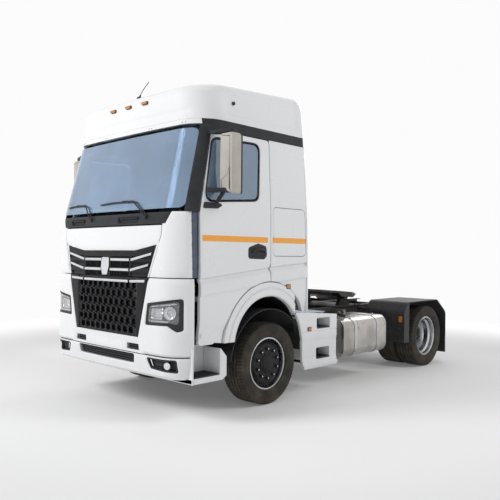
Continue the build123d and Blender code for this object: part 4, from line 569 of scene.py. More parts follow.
# ---------------------------------------------------------------- mesh building
class Shape:
    """Collects one piece's mesh from turned, drawn and panel parts."""

    CHAMFER = 0.15

    def __init__(self) -> None:
        """Start empty."""
        self.points: list[Vector] = []
        self.faces: list[tuple[int, ...]] = []
        self.looks: list[int] = []
        self.look = 0

    def add(self, points: Iterable[Sequence[float]], faces: Iterable[Sequence[int]]) -> None:
        """Add points and the faces between them.

        Args:
            points: The new points.
            faces: Faces that number the new points from 0.
        """
        base = len(self.points)
        self.points.extend(Vector(point) for point in points)
        for face in faces:
            self.faces.append(tuple(base + index for index in face))
            self.looks.append(self.look)

    def block(self, low: Point3, high: Point3, cut: float = 0.0) -> None:
        """Add a box with its edges cut off.

        Args:
            low: Lowest corner.
            high: Highest corner.
            cut: Width of the cut edges.
        """
        bm = bmesh.new()
        bmesh.ops.create_cube(bm, size=1.0)
        size = [b - a for a, b in zip(low, high)]
        middle = [(b + a) / 2 for a, b in zip(low, high)]
        for vert in bm.verts:
            vert.co = Vector([m + s * c for m, s, c in zip(middle, size, vert.co)])
        if cut > 0.0:
            width = min(cut, min(size) * 0.45)
            bmesh.ops.bevel(bm, geom=list(bm.edges), offset=width, segments=2, profile=0.6,
                            affect="EDGES")
        self.take(bm)

    def take(self, bm: bmesh.types.BMesh) -> None:
        """Add a bmesh and free it.

        Args:
            bm: The bmesh.
        """
        bm.verts.index_update()
        points = [vert.co.copy() for vert in bm.verts]
        faces = [[vert.index for vert in face.verts] for face in bm.faces]
        bm.free()
        self.add(points, faces)

    def turn(self, profile: Sequence[Point2], centre: Point3, axis: Point3 = ACROSS,
             steps: int = 64, ring: bool = False, span: tuple[float, float] = (0.0, 360.0)) -> None:
        """Turn a profile about an axis.

        Args:
            profile: Points (along the axis, radius), in order.
            centre: A point of the axis, where along is 0.
            axis: The axis.
            steps: Steps in a full turn.
            ring: Whether the profile's last point joins its first.
            span: First and last angle in degrees.
        """
        run = Vector(axis).normalized()
        side = run.cross(Vector(UPWARD))
        if side.length < 0.01:
            side = run.cross(Vector((0.0, 1.0, 0.0)))
        side.normalize()
        up = side.cross(run).normalized()
        sweep = span[1] - span[0]
        full = sweep >= 359.9
        count = steps if full else max(2, int(steps * sweep / 360.0)) + 1
        points = []
        for turn in range(count):
            share = turn / (count if full else count - 1)
            angle = math.radians(span[0] + sweep * share)
            out = side * math.cos(angle) + up * math.sin(angle)
            points += [Vector(centre) + run * along + out * radius for along, radius in profile]
        size = len(profile)
        faces = []
        for turn in range(count if full else count - 1):
            here, there = turn * size, ((turn + 1) % count) * size
            for place in range(size if ring else size - 1):
                after = (place + 1) % size
                faces.append((here + place, here + after, there + after, there + place))
        if not full and ring:
            faces.append(tuple(range(size))[::-1])
            faces.append(tuple((count - 1) * size + place for place in range(size)))
        self.add(points, faces)

    def rod(self, start: Point3, end: Point3, radius: float, steps: int = 16) -> None:
        """Add a round bar with chamfered ends.

        Args:
            start: First end.
            end: Last end.
            radius: Its radius.
            steps: Sides.
        """
        run = Vector(end) - Vector(start)
        cut = self.CHAMFER * radius
        profile = [(0.0, 0.0), (0.0, radius - cut), (cut, radius), (run.length - cut, radius),
                   (run.length, radius - cut), (run.length, 0.0)]
        self.turn(profile, start, tuple(run), steps)

    def tube(self, line: Sequence[Point3], radius: float, steps: int = 10) -> None:
        """Sweep a round section along a line of points.

        Args:
            line: The points.
            radius: Radius of the section.
            steps: Sides of the section.
        """
        path = [Vector(point) for point in line]
        points: list[Vector] = []
        for place, point in enumerate(path):
            before, after = path[max(place - 1, 0)], path[min(place + 1, len(path) - 1)]
            run = (after - before).normalized()
            side = run.cross(Vector(UPWARD))
            if side.length < 0.05:
                side = run.cross(Vector(ACROSS))
            side.normalize()
            up = side.cross(run).normalized()
            for turn in range(steps):
                angle = 2 * math.pi * turn / steps
                points.append(point + (side * math.cos(angle) + up * math.sin(angle)) * radius)
        faces = []
        for place in range(len(path) - 1):
            for turn in range(steps):
                after = (turn + 1) % steps
                faces.append((place * steps + turn, place * steps + after,
                              (place + 1) * steps + after, (place + 1) * steps + turn))
        faces.append(tuple(range(steps))[::-1])
        faces.append(tuple((len(path) - 1) * steps + turn for turn in range(steps)))
        self.add(points, faces)

    def drawn(self, outline: Sequence[Point2],
              spread: Callable[[float, float, float], Sequence[float]], depth: tuple[float, float],
              cut: float = 0.0) -> None:
        """Draw an outline out into a solid.

        Args:
            outline: Points (u, v) of a closed outline.
            spread: Maps (u, v, depth) to a place.
            depth: First and last depth.
            cut: Chamfer of the edges round the last depth's face.
        """
        bm = bmesh.new()
        near = [bm.verts.new(Vector(spread(u, v, depth[0]))) for u, v in outline]
        far = [bm.verts.new(Vector(spread(u, v, depth[1]))) for u, v in outline]
        count = len(outline)
        bm.faces.new(near[::-1])
        front = bm.faces.new(far)
        for place in range(count):
            after = (place + 1) % count
            bm.faces.new((near[place], near[after], far[after], far[place]))
        bmesh.ops.recalc_face_normals(bm, faces=list(bm.faces))
        if cut > 0.0:
            bmesh.ops.bevel(bm, geom=list(front.edges), offset=cut, segments=2, profile=0.6,
                            affect="EDGES")
        bmesh.ops.triangulate(bm, faces=[face for face in bm.faces if len(face.verts) > 4])
        self.take(bm)

    def hexes(self, places: Iterable[Point3], axis: Point3, radius: float, tall: float) -> None:
        """Add hexagon bolt heads with domed tops.

        Args:
            places: Where each stands.
            axis: The way that they point.
            radius: Radius over the corners.
            tall: Height.
        """
        for place in places:
            profile = [(0.0, radius), (tall * 0.7, radius), (tall, radius * 0.72), (tall, 0.0)]
            self.turn(profile, place, axis, 6)

    def mirrored(self) -> "Shape":
        """Make the mirror image on the truck's other side."""
        other = Shape()
        other.points = [Vector((-point.x, point.y, point.z)) for point in self.points]
        other.faces = [face[::-1] for face in self.faces]
        other.looks = list(self.looks)
        return other

    def on(self, sign: float) -> "Shape":
        """The shape itself for the left side, or its mirror image for the right."""
        return self if sign > 0 else self.mirrored()

    def both(self) -> "Shape":
        """Add its own mirror image, and give the shape back."""
        self.join(self.mirrored())
        return self

    def join(self, other: "Shape") -> None:
        """Add another shape's mesh.

        Args:
            other: The shape.
        """
        base = len(self.points)
        self.points.extend(other.points)
        self.faces.extend(tuple(base + index for index in face) for face in other.faces)
        self.looks.extend(other.looks)


def rounded(outline: Sequence[Point2], radius: float, steps: int = 5) -> list[Point2]:
    """Round an outline's corners.

    Args:
        outline: Points of a closed outline.
        radius: Radius of the corners, less where a side is short.
        steps: Steps in each corner.

    Returns:
        The rounded outline.
    """
    points = [Vector(point) for point in outline]
    result: list[Point2] = []
    for place, corner in enumerate(points):
        before, after = points[place - 1], points[(place + 1) % len(points)]
        back, ahead = before - corner, after - corner
        angle = back.angle(ahead)
        if math.pi - angle < 0.05:
            result.append(tuple(corner))
            continue
        reach = min(radius / math.tan(angle / 2), back.length * 0.48, ahead.length * 0.48)
        start, end = corner + back.normalized() * reach, corner + ahead.normalized() * reach
        for step in range(steps + 1):
            share = step / steps
            first, last = start.lerp(corner, share), corner.lerp(end, share)
            result.append(tuple(first.lerp(last, share)))
    return result


def divided(outline: Sequence[Point2], pitch: float) -> list[Point2]:
    """Divide an outline's sides.

    Args:
        outline: Points of a closed outline.
        pitch: Longest side left.

    Returns:
        The outline with more points.
    """
    result: list[Point2] = []
    for place, point in enumerate(outline):
        here, there = Vector(point), Vector(outline[(place + 1) % len(outline)])
        count = max(1, math.ceil((there - here).length / pitch))
        result += [tuple(here.lerp(there, step / count)) for step in range(count)]
    return result


def oblong(wide: Sequence[float], tall: Sequence[float]) -> list[Point2]:
    """A rectangle's corners, anticlockwise from the lowest first one.

    Args:
        wide: Its two ends across.
        tall: Its two ends upward.

    Returns:
        The corners.
    """
    return [(wide[0], tall[0]), (wide[1], tall[0]), (wide[1], tall[1]), (wide[0], tall[1])]


def even(flank: Sequence[Point2]) -> list[Point2]:
    """An outline that is the same on both sides of the middle.

    Args:
        flank: Its left half, upward or downward.

    Returns:
        The whole outline.
    """
    return [*flank, *((-across, up) for across, up in reversed(flank))]


def facing(u: float, v: float, depth: float) -> Point3:
    """A place of an outline in front view, its depth along the truck."""
    return u, depth, v


def sideways(u: float, v: float, depth: float) -> Point3:
    """A place of an outline in side view, its depth across the truck."""
    return depth, u, v


def upward(u: float, v: float, depth: float) -> Point3:
    """A place of an outline in plan view, its depth upward."""
    return u, v, depth




# ---------------------------------------------------------------- fitting pieces to the frame
class Workshop:
    """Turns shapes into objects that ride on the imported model's bodies."""

    WELD = 1e-6

    def __init__(self, packed: dict, effects: Effects) -> None:
        """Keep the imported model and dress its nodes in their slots' finishes.

        Args:
            effects: The shared shader groups.
        """
        self.packed = packed
        self.effects = effects
        for part in packed["record"]["subparts"]:
            node = packed["nodes"].get(part["node"])
            if node:
                self.dress(node, SLOT_FINISHES[part["material_slot"]])

    def dress(self, item: bpy.types.Object, finish: Coating) -> None:
        """Give an object one finish.

        Args:
            item: The object.
            finish: The finish.
        """
        made = finish.material(self.effects)
        slots = item.data.materials
        for place in range(len(slots)):
            slots[place] = made
        if not slots:
            slots.append(made)

    def recoat(self, node: str, finish: Coating) -> None:
        """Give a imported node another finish.

        Args:
            node: Its name.
            finish: The finish.
        """
        self.dress(self.packed["nodes"][node], finish)

    def fit(self, name: str, shape: Shape, slot: str, finishes: Sequence[Coating] = (),
            replaces: Sequence[str] = (), body: str = "chassis",
            crease: float = 32.0) -> bpy.types.Object:
        """Make a piece and mount it on its body.

        Args:
            name: The piece's name.
            shape: Its mesh.
            slot: The record's material slot.
            finishes: Its finishes, numbered as the shape's looks; the slot's own if empty.
            replaces: Nodes that it stands for.
            body: The body it rides on.
            crease: Sharpest smooth edge in degrees.

        Returns:
            The object.
        """
        mesh = bpy.data.meshes.new(name)
        mesh.from_pydata([tuple(point) for point in shape.points], [], shape.faces)
        mesh.polygons.foreach_set("material_index", shape.looks)
        bm = bmesh.new()
        bm.from_mesh(mesh)
        bmesh.ops.remove_doubles(bm, verts=list(bm.verts), dist=self.WELD)
        bmesh.ops.dissolve_degenerate(bm, edges=list(bm.edges), dist=self.WELD)
        bm.to_mesh(mesh)
        bm.free()
        mesh.validate()
        mesh.shade_smooth()
        mesh.set_sharp_from_angle(angle=math.radians(crease))
        item = bpy.data.objects.new(name, mesh)
        bpy.context.scene.collection.objects.link(item)
        for finish in finishes or [SLOT_FINISHES[slot]]:
            mesh.materials.append(finish.material(self.effects))
        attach(item, body)
        if replaces:
            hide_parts(*replaces)
        LOG.info("%s: %d points on %s", name, len(mesh.vertices), body)
        return item


# ---------------------------------------------------------------- the cab's outer form
@dataclass
class CabForm:
    """The cab's outer form below its roof, as rounded plan outlines at each height."""

    # height, nose y, half width, rear y
    levels: tuple[tuple[float, float, float, float], ...] = (
        (0.300, -2.770, 1.231, -0.780),
        (0.440, -2.806, 1.236, -0.780),
        (0.640, -2.840, 1.250, -0.780),
        (1.455, -2.840, 1.250, -0.780),
        (2.130, -2.790, 1.246, -0.795),
        (3.100, -2.542, 1.200, -0.830),
        (3.500, -2.440, 1.181, -0.844),
    )
    bow: float = 0.036
    corner: float = 0.33
    rear_corner: float = 0.05
    soften: float = 0.035

    def _linear(self, z: float) -> list[float]:
        """Nose y, half width and rear y between the levels."""
        for low, high in zip(self.levels, self.levels[1:]):
            if z <= high[0]:
                share = (z - low[0]) / (high[0] - low[0])
                return [a + (b - a) * share for a, b in zip(low[1:], high[1:])]
        return list(self.levels[-1][1:])

    def level(self, z: float) -> list[float]:
        """Nose y, half width and rear y, with the levels' edges softened."""
        rows = [self._linear(z + shift) for shift in (-self.soften, 0.0, self.soften)]
        return [sum(values) / len(rows) for values in zip(*rows)]

    def _corner(self, z: float) -> tuple[float, float, float, float, float]:
        """Centre x, centre y, first angle, tangent x and side length start of the front corner."""
        nose, half, _ = self.level(z)
        centre_x = half - self.corner
        slope = 2 * self.bow * centre_x / half**2
        first = math.atan(slope)
        tangent_x = centre_x + self.corner * math.sin(first)
        centre_y = nose + self.bow * (tangent_x / half) ** 2 + self.corner * math.cos(first)
        return centre_x, centre_y, first, tangent_x, tangent_x + self.corner * (math.pi / 2 - first)

    def along_front(self, x: float, z: float) -> float:
        """Length round the outline from the middle of the nose to a given x."""
        centre_x, _, first, tangent_x, _ = self._corner(z)
        if abs(x) <= tangent_x:
            return x
        angle = math.asin(min(1.0, (abs(x) - centre_x) / self.corner))
        return math.copysign(tangent_x + self.corner * (angle - first), x)

    def along_side(self, y: float, z: float) -> float:
        """Length round the outline from the middle of the nose to a given y of the left side."""
        _, centre_y, first, tangent_x, start = self._corner(z)
        if y >= centre_y:
            return start + y - centre_y
        angle = math.acos(max(-1.0, min(1.0, (centre_y - y) / self.corner)))
        return tangent_x + self.corner * (angle - first)

    def place(self, along: float, z: float, depth: float = 0.0) -> Vector:
        """A point of the form.

        Args:
            along: Length round the outline from the middle of the nose, left positive.
            z: Height.
            depth: How far inside the skin.

        Returns:
            The point.
        """
        side = math.copysign(1.0, along)
        reach = abs(along)
        nose, half, rear = self.level(z)
        centre_x, centre_y, first, tangent_x, start = self._corner(z)
        back_start = start + rear - self.rear_corner - centre_y
        turn = self.rear_corner * math.pi / 2
        if reach <= tangent_x:
            slope = math.atan(2 * self.bow * reach / half**2)
            x, y = reach, nose + self.bow * (reach / half) ** 2
            out = (math.sin(slope), -math.cos(slope))
        elif reach <= start:
            angle = first + (reach - tangent_x) / self.corner
            out = (math.sin(angle), -math.cos(angle))
            x, y = centre_x + self.corner * out[0], centre_y + self.corner * out[1]
        elif reach <= back_start:
            x, y, out = half, centre_y + reach - start, (1.0, 0.0)
        elif reach <= back_start + turn:
            angle = (reach - back_start) / self.rear_corner
            out = (math.cos(angle), math.sin(angle))
            x = half - self.rear_corner + self.rear_corner * out[0]
            y = rear - self.rear_corner + self.rear_corner * out[1]
        else:
            x, y, out = half - self.rear_corner - (reach - back_start - turn), rear, (0.0, 1.0)
        return Vector((side * (x - out[0] * depth), y - out[1] * depth, z))

    def round_back(self, z: float) -> float:
        """Length round the outline from the middle of the nose to the middle of the back."""
        _, half, rear = self.level(z)
        _, centre_y, _, _, start = self._corner(z)
        corner = self.rear_corner
        return start + rear - corner - centre_y + corner * math.pi / 2 + half - corner

    def front(self, outline: Sequence[Point2]) -> list[Point2]:
        """Turn a front-view outline (x, z) into lengths round the form."""
        return [(self.along_front(x, z), z) for x, z in outline]

    def side(self, outline: Sequence[Point2]) -> list[Point2]:
        """Turn a side-view outline (y, z) of the left side into lengths round the form."""
        return [(self.along_side(y, z), z) for y, z in outline]


@dataclass
class Panel:
    """A sheet of the cab's skin: an outline with holes, laid on the form with relief."""

    outline: Sequence[Point2]
    holes: Sequence[Sequence[Point2]] = ()
    depth: float = 0.02
    pitch: float = 0.02
    proud: float = 0.0
    round_edge: float = 0.004
    relief: Callable[[float, Vector], float] | None = None
    creases: Sequence[Sequence[Point2]] = ()

    @staticmethod
    def _gap(points: numpy.ndarray, loops: Sequence[Sequence[Point2]]) -> numpy.ndarray:
        """Distance of each point to the nearest side of the loops."""
        best = numpy.full(len(points), 9.0)
        for loop in loops:
            start = numpy.array(loop)
            for a, b in zip(start, numpy.roll(start, -1, axis=0)):
                run = b - a
                share = numpy.clip(((points - a) @ run) / max(run @ run, 1e-12), 0.0, 1.0)
                near = a + share[:, None] * run
                best = numpy.minimum(best, numpy.hypot(*(points - near).T))
        return best

    @staticmethod
    def _inside(points: numpy.ndarray, loops: Sequence[Sequence[Point2]]) -> numpy.ndarray:
        """Whether each point is inside the outline and outside the holes."""
        odd = numpy.zeros(len(points), bool)
        for loop in loops:
            start = numpy.array(loop)
            for (ax, ay), (bx, by) in zip(start, numpy.roll(start, -1, axis=0)):
                if ay == by:
                    continue
                crosses = (ay > points[:, 1]) != (by > points[:, 1])
                at = ax + (points[:, 1] - ay) * (bx - ax) / (by - ay)
                odd ^= crosses & (points[:, 0] < at)
        return odd

    def shape(self, form: CabForm) -> Shape:
        """Mesh the sheet.

        Args:
            form: The form that it lies on.

        Returns:
            The closed mesh.
        """
        loops = [divided(loop, self.pitch) for loop in (self.outline, *self.holes)]
        corners = numpy.array([point for loop in loops for point in loop])
        low, high = corners.min(0), corners.max(0)
        across = numpy.arange(low[0] + self.pitch / 2, high[0], self.pitch)
        up = numpy.arange(low[1] + self.pitch / 2, high[1], self.pitch)
        grid = numpy.array([(a, b) for b in up for a in across]).reshape(-1, 2)
        keep = self._inside(grid, loops) & (self._gap(grid, loops) > self.pitch * 0.55)
        if self.creases:
            keep &= self._gap(grid, self.creases) > self.pitch * 0.45
            rows = numpy.array([point for line in self.creases for point in line])
            rows = rows[self._inside(rows, loops) & (self._gap(rows, loops) > self.pitch * 0.3)]
            grid = numpy.concatenate([grid, rows])
            keep = numpy.concatenate([keep, numpy.ones(len(rows), bool)])
        edges, count = [], 0
        for loop in loops:
            edges += [(count + k, count + (k + 1) % len(loop)) for k in range(len(loop))]
            count += len(loop)
        flat = [Vector(point) for point in corners] + [Vector(point) for point in grid[keep]]
        made = delaunay_2d_cdt(flat, edges, [], 0, 1e-6)
        plan = numpy.array([tuple(point) for point in made[0]])
        faces = [face for face in made[2] if len(face) == 3]
        centres = numpy.array([plan[list(face)].mean(0) for face in faces])
        faces = [face for face, inside in zip(faces, self._inside(centres, loops)) if inside]
        faces = [face if self._ccw(plan, face) else face[::-1] for face in faces]
        gap = self._gap(plan, loops)
        front, back = [], []
        for (along, z), near in zip(plan, gap):
            sink = -self.proud
            if near < self.round_edge:
                rest = self.round_edge - near
                sink += self.round_edge - math.sqrt(max(self.round_edge**2 - rest**2, 0.0))
            if self.relief:
                sink -= self.relief(z, form.place(along, z))
            front.append(form.place(along, z, sink))
            back.append(form.place(along, z, sink + self.depth))
        size = len(front)
        sides = {}
        for face in faces:
            for place in range(3):
                pair = (face[place], face[(place + 1) % 3])
                sides[pair] = sides.get(pair, 0) + 1
        rim = [pair for pair in sides if pair[::-1] not in sides]
        solid = list(faces) + [tuple(size + index for index in face[::-1]) for face in faces]
        solid += [(b, a, size + a, size + b) for a, b in rim]
        result = Shape()
        result.add(front + back, solid)
        return result

    @staticmethod
    def _ccw(plan: numpy.ndarray, face: Sequence[int]) -> bool:
        """Whether a face runs anticlockwise."""
        a, b, c = (plan[index] for index in face)
        return (b[0] - a[0]) * (c[1] - a[1]) - (b[1] - a[1]) * (c[0] - a[0]) > 0.0


def sheet(form: CabForm, step: float, outline: Sequence[Point2],
          holes: Sequence[Sequence[Point2]] = (), **how: object) -> Shape:
    """Mesh a panel whose outline and holes are drawn in front view.

    Args:
        form: The form that it lies on.
        step: Longest side left in the outline and the holes.
        outline: The outline.
        holes: The holes.
        **how: The panel's other fields.

    Returns:
        The closed mesh.
    """
    first, *others = [form.front(divided(loop, step)) for loop in (outline, *holes)]
    return Panel(first, others, **how).shape(form)




def ease(share: float) -> float:
    """Smooth step from 0 to 1."""
    share = max(0.0, min(1.0, share))
    return share * share * (3.0 - 2.0 * share)


@dataclass
class SideRelief:
    """The folds pressed into the doors and the panels behind them."""

    fold_front: Point2 = (-2.45, 1.472)
    fold_door: Point2 = (-1.51, 1.567)
    fold_rear: Point2 = (-0.824, 1.621)
    drops: tuple[float, ...] = (0.0, 0.005, 0.01, 0.016, 0.027, 0.038, 0.05, 0.061, 0.072)
    undercut: float = 0.026
    undercut_tall: float = 0.016
    shoulder: float = 0.006
    shoulder_tall: float = 0.055
    second: float = 0.016
    second_tall: float = 0.03
    second_drop: float = 0.172
    starts_x: float = 1.1
    tuck: float = 0.026
    tuck_tall: float = 0.17

    def fold(self, y: float) -> float:
        """Height of the main fold at a place along the side."""
        start, end = self.fold_door, self.fold_rear
        if y < start[0]:
            start, end = self.fold_front, start
        return start[1] + (y - start[0]) * (end[1] - start[1]) / (end[0] - start[0])

    def creases(self, form: CabForm, front: float, rear: float) -> list[list[Point2]]:
        """Rows of points along the folds, so that the mesh follows them.

        Args:
            form: The cab's form.
            front: Where the rows start along the side.
            rear: Where they end.

        Returns:
            The rows, laid out flat.
        """
        count = round((rear - front) / 0.014)
        run = [front + (rear - front) * k / count for k in range(count + 1)]
        second = [self.second_drop + below for below in (0.0, 0.01, 0.02, 0.03)]
        return [form.side([(y, self.fold(y) - drop) for y in run])
                for drop in (*self.drops, *second)]

    def __call__(self, z: float, point: Vector) -> float:
        """How far the skin stands out of the form.

        Args:
            z: Height.
            point: The point of the form.

        Returns:
            The outward distance.
        """
        if abs(point.x) < self.starts_x:
            return 0.0
        below = self.fold(point.y) - z
        out = 0.0
        if below > 0.0:
            after = (below - self.undercut_tall) / self.shoulder_tall
            out = -self.undercut * ease(below / self.undercut_tall)
            out += (self.undercut + self.shoulder) * ease(after)
            out -= self.second * ease((below - self.second_drop) / self.second_tall)
        bend = 1.03 + 0.06 * (point.y + 2.53) if point.y < self.fold_door[0] else 1.19
        out -= self.tuck * ease((bend - z) / self.tuck_tall)
        return out


@dataclass
class CabShell:
    """Doors, the fixed shell behind and above them, and its lining."""

    door_front: float = -2.535
    door_rear: float = -1.49
    door_low: float = 0.78
    door_bend: float = 2.13
    door_skew: float = 0.195
    door_top: float = 2.98
    band_top: float = 3.10
    roof_line: float = 3.045
    fascia_back: float = -2.42
    pillar_low: float = 2.13
    arch_radius: float = 0.715
    sill: float = 1.03
    gap: float = 0.01
    skin: float = 0.045
    corner: float = 0.05
    frame_wide: float = 0.026
    window: tuple[Point2, ...] = ((-2.46, 2.25), (-1.695, 2.31), (-1.655, 2.905), (-2.33, 2.885))
    window_round: float = 0.075
    locker: tuple[Point2, ...] = ((-1.445, 1.69), (-0.855, 1.69), (-0.875, 2.235), (-1.445, 2.235))
    lid_round: float = 0.06
    lid_gap: float = 0.006
    form: CabForm = field(default_factory=CabForm)
    relief: SideRelief = field(default_factory=SideRelief)

    def door_outline(self, grow: float = 0.0) -> list[Point2]:
        """The door's side-view outline, grown by a gap."""
        front, rear = self.door_front - grow, self.door_rear + grow
        radius, low = self.arch_radius - grow, self.door_low - grow
        top = self.door_top + grow
        start, end = -math.acos((low - ARCH_Z) / radius), math.asin((rear - ARCH_Y) / radius)
        wheel = self._arch(radius, start, end, 30)
        head = rounded([(rear, 1.6), (rear, top), (front + self.door_skew, top),
                        (front, self.door_bend), (front, low), (wheel[0][0] - 0.12, low)],
                       self.corner + grow)
        return wheel + [point for point in head if point[1] > wheel[-1][1]
                        or point[0] < wheel[0][0]]

    @staticmethod
    def _arch(radius: float, first: float, last: float, count: int) -> list[Point2]:
        """Points of the wheel arch in side view, by angles from the upright in radians."""
        angles = [first + (last - first) * k / count for k in range(count + 1)]
        return [(ARCH_Y + radius * math.sin(a), ARCH_Z + radius * math.cos(a)) for a in angles]

    @staticmethod
    def _grown(corners: Sequence[Point2], grow: float) -> list[Point2]:
        """Four corners moved outward, or inward when grow is negative."""
        centre_y, centre_z = (sum(values) / 4 for values in zip(*corners))
        return [(y + math.copysign(grow, y - centre_y), z + math.copysign(grow, z - centre_z))
                for y, z in corners]

    def window_outline(self, grow: float = 0.0) -> list[Point2]:
        """The side window's outline, grown."""
        return rounded(self._grown(self.window, grow), self.window_round + max(grow, 0.0), 7)

    def build(self, shop: Workshop) -> None:
        """Fit the doors and the shell.

        Args:
            shop: The workshop.
        """
        side = self.form.side
        outline = side(divided(self.door_outline(), 0.05))
        hole = side(divided(self.window_outline(self.frame_wide), 0.03))
        creases = self.relief.creases(self.form, self.door_front, self.door_rear)
        door = Panel(outline, [hole], self.skin, relief=self.relief,
                     creases=creases).shape(self.form)
        frame = Panel(side(divided(self.window_outline(self.frame_wide - 0.002), 0.03)),
                      [side(divided(self.window_outline(-0.012), 0.03))], 0.03, pitch=0.012,
                      proud=-0.002, round_edge=0.008).shape(self.form)
        inner = [(y + 0.035 if y < -2.0 else y - 0.035, z) for y, z in self.door_outline(-0.03)]
        lining = Panel(side(divided(inner, 0.06)), [hole], 0.012, pitch=0.05,
                       proud=-self.skin - 0.002).shape(self.form)
        lining.block((1.10, -2.30, 1.92), (1.19, -1.62, 1.985), 0.02)
        lining.block((1.12, -2.25, 1.45), (1.19, -1.75, 1.60), 0.02)
        handle = self._handle()
        for word, sign in SIDES:
            body = f"door_{word}"
            shop.fit(f"door_skin_{word}", door.on(sign), "cab_white", replaces=[body], body=body)
            shop.fit(f"window_frame_{word}", frame.on(sign), "black_plastic", body=body)
            shop.fit(f"door_lining_{word}", lining.on(sign), "trim_grey", body=body)
            shop.fit(f"door_handle_{word}", handle.on(sign), "black_plastic", body=body)
            shop.recoat(f"door_glass_{word}", SIDE_GLASS_PAINTED_SKY)
        self._shell(shop)

    def _handle(self) -> Shape:
        """The left door's handle in its black dish."""
        form = self.form
        shape = Shape()
        dish = rounded([(-1.86, 1.655), (-1.60, 1.645), (-1.545, 1.69), (-1.56, 1.80),
                        (-1.70, 1.83), (-1.86, 1.78)], 0.045, 5)
        shape.join(Panel(form.side(dish), (), 0.012, pitch=0.015, proud=0.006,
                         round_edge=0.008).shape(form))
        grip = [form.place(form.along_side(y, z), z, -0.022) for y, z in
                ((-1.80, 1.735), (-1.76, 1.755), (-1.69, 1.762), (-1.62, 1.752), (-1.585, 1.73))]
        grip[0] = form.place(form.along_side(-1.80, 1.735), 1.735, -0.004)
        grip[-1] = form.place(form.along_side(-1.585, 1.73), 1.73, -0.004)
        shape.tube([tuple(point) for point in grip], 0.014, 12)
        lock = tuple(form.place(form.along_side(-1.63, 1.69), 1.69, -0.005))
        shape.turn([(0.0, 0.0), (0.0, 0.011), (0.006, 0.009), (0.006, 0.0)], lock, steps=16)
        return shape

    def _shell(self, shop: Workshop) -> None:
        """Fit the panels behind the doors, the rear wall and the locker lids."""
        form = self.form
        top = self.door_top + self.gap - 0.002
        rear_edge = self.door_rear + self.gap
        first = math.asin((rear_edge - ARCH_Y) / self.arch_radius)
        last = math.acos((self.sill - ARCH_Z) / self.arch_radius)
        wheel = self._arch(self.arch_radius, first, last, 20)
        lid = rounded(self.locker, self.lid_round, 6)
        opening = rounded(self._grown(self.locker, self.lid_gap), self.lid_round + self.lid_gap, 6)
        quarter = form.side(divided([*wheel, (-0.83, self.sill), (-0.832, 1.4), (-0.86, top),
                                     (rear_edge, top)], 0.05))
        creases = self.relief.creases(form, rear_edge, -0.83)
        walls = Panel(quarter, [form.side(divided(opening, 0.03))], self.skin, relief=self.relief,
                      creases=creases).shape(form)
        lids = Panel(form.side(divided(lid, 0.03)), (), 0.02, relief=self.relief,
                     round_edge=0.006).shape(form)
        shape = walls.both()
        shape.join(lids.both())
        rows = [(self.sill, -0.83), (1.2, -0.831), (1.4, -0.832), (1.8, -0.839), (2.2, -0.846),
                (2.6, -0.853), (top, -0.86)]
        shape.join(self.hoop(rows, 0.0, self.skin, self._ribs))
        shop.fit("cab_panels", shape, "cab_white", replaces=["cab_body"])
        self._band(shop)
        self._inside(shop)

    @staticmethod
    def _ribs(point: Vector) -> float:
        """Height of the rear wall's pressed panels at a point."""
        if point.y < -0.86:
            return 0.0
        inset = min(1.02 - abs(point.x), abs(point.x), point.z - 1.2, 2.86 - point.z)
        for line in (1.75, 2.3):
            inset = min(inset, abs(point.z - line))
        return -0.012 * ease((inset - 0.03) / 0.03)

    def _band(self, shop: Workshop) -> None:
        """Fit the black pillars beside the windscreen and the dark band under the roof."""
        form = self.form
        low, high = self.pillar_low, self.roof_line
        shape = Shape()
        edge = [(form.along_front(1.1445 - 0.0383 * (z - 2.165), z), z)
                for z in [low + (high - low) * k / 12 for k in range(13)]]
        outer, leaning = [], self.door_top - self.door_bend
        for step in range(13):
            z = high - (high - low) * step / 12
            lean = max(0.0, min(z, self.door_top) - self.door_bend) / leaning
            y = self.door_front - self.gap + self.door_skew * lean
            outer.append((form.along_side(y, z), z))
        pillar = Panel(edge + outer, (), 0.014, pitch=0.03, proud=-0.001, round_edge=0.006)
        shape.join(pillar.shape(form).both())
        low, high = self.door_top + self.gap, self.band_top
        shape.join(self.hoop([(low, self.fascia_back), (low + 0.004, self.fascia_back),
                              (high, self.fascia_back)], -0.006, 0.018))
        shop.fit("roof_trim", shape, "black_plastic", replaces=["roof_band"])

    def _inside(self, shop: Workshop) -> None:
        """Fit the posts, the floor, the firewall and the linings."""
        form = self.form
        posts = Shape()
        post = form.side(divided(oblong((-2.64, -2.546), (1.468, 2.125)), 0.05))
        inner = Panel(post, (), 0.03, pitch=0.05, proud=-0.05).shape(form)
        posts.join(inner.both())
        for _, sign in SIDES:
            for z in (0.88, 1.35):
                low, high = (sign * 1.238, -2.515, z - 0.022), (sign * 1.238, -2.515, z + 0.022)
                posts.rod(low, high, 0.01)
        shop.fit("door_posts", posts, "cab_white", [PLAIN_PAINT])
        floor = Shape()
        side = [form.place(form.along_side(y, 1.25), 1.25, 0.062)
                for y in (-2.5, -2.0, -1.5, -1.0, -0.86)]
        nose = [form.place(form.along_front(x, 1.25), 1.25, 0.062) for x in (0.0, 0.4, 0.8, 1.0)]
        plan = [(p.x, p.y) for p in nose + side]
        floor.drawn(plan + [(-x, y) for x, y in plan[:0:-1]], upward, (1.225, 1.275))
        firewall = [(-1.12, 1.27), (1.12, 1.27), (1.10, 2.125), (-1.10, 2.125)]
        floor.join(Panel(firewall, (), 0.03, pitch=0.08, proud=-0.09).shape(form))
        floor.join(self.hoop([(1.28, -1.44), (2.1, -1.44), (2.98, -1.44)], -0.047, 0.012))
        shop.fit("cab_lining", floor, "trim_grey")

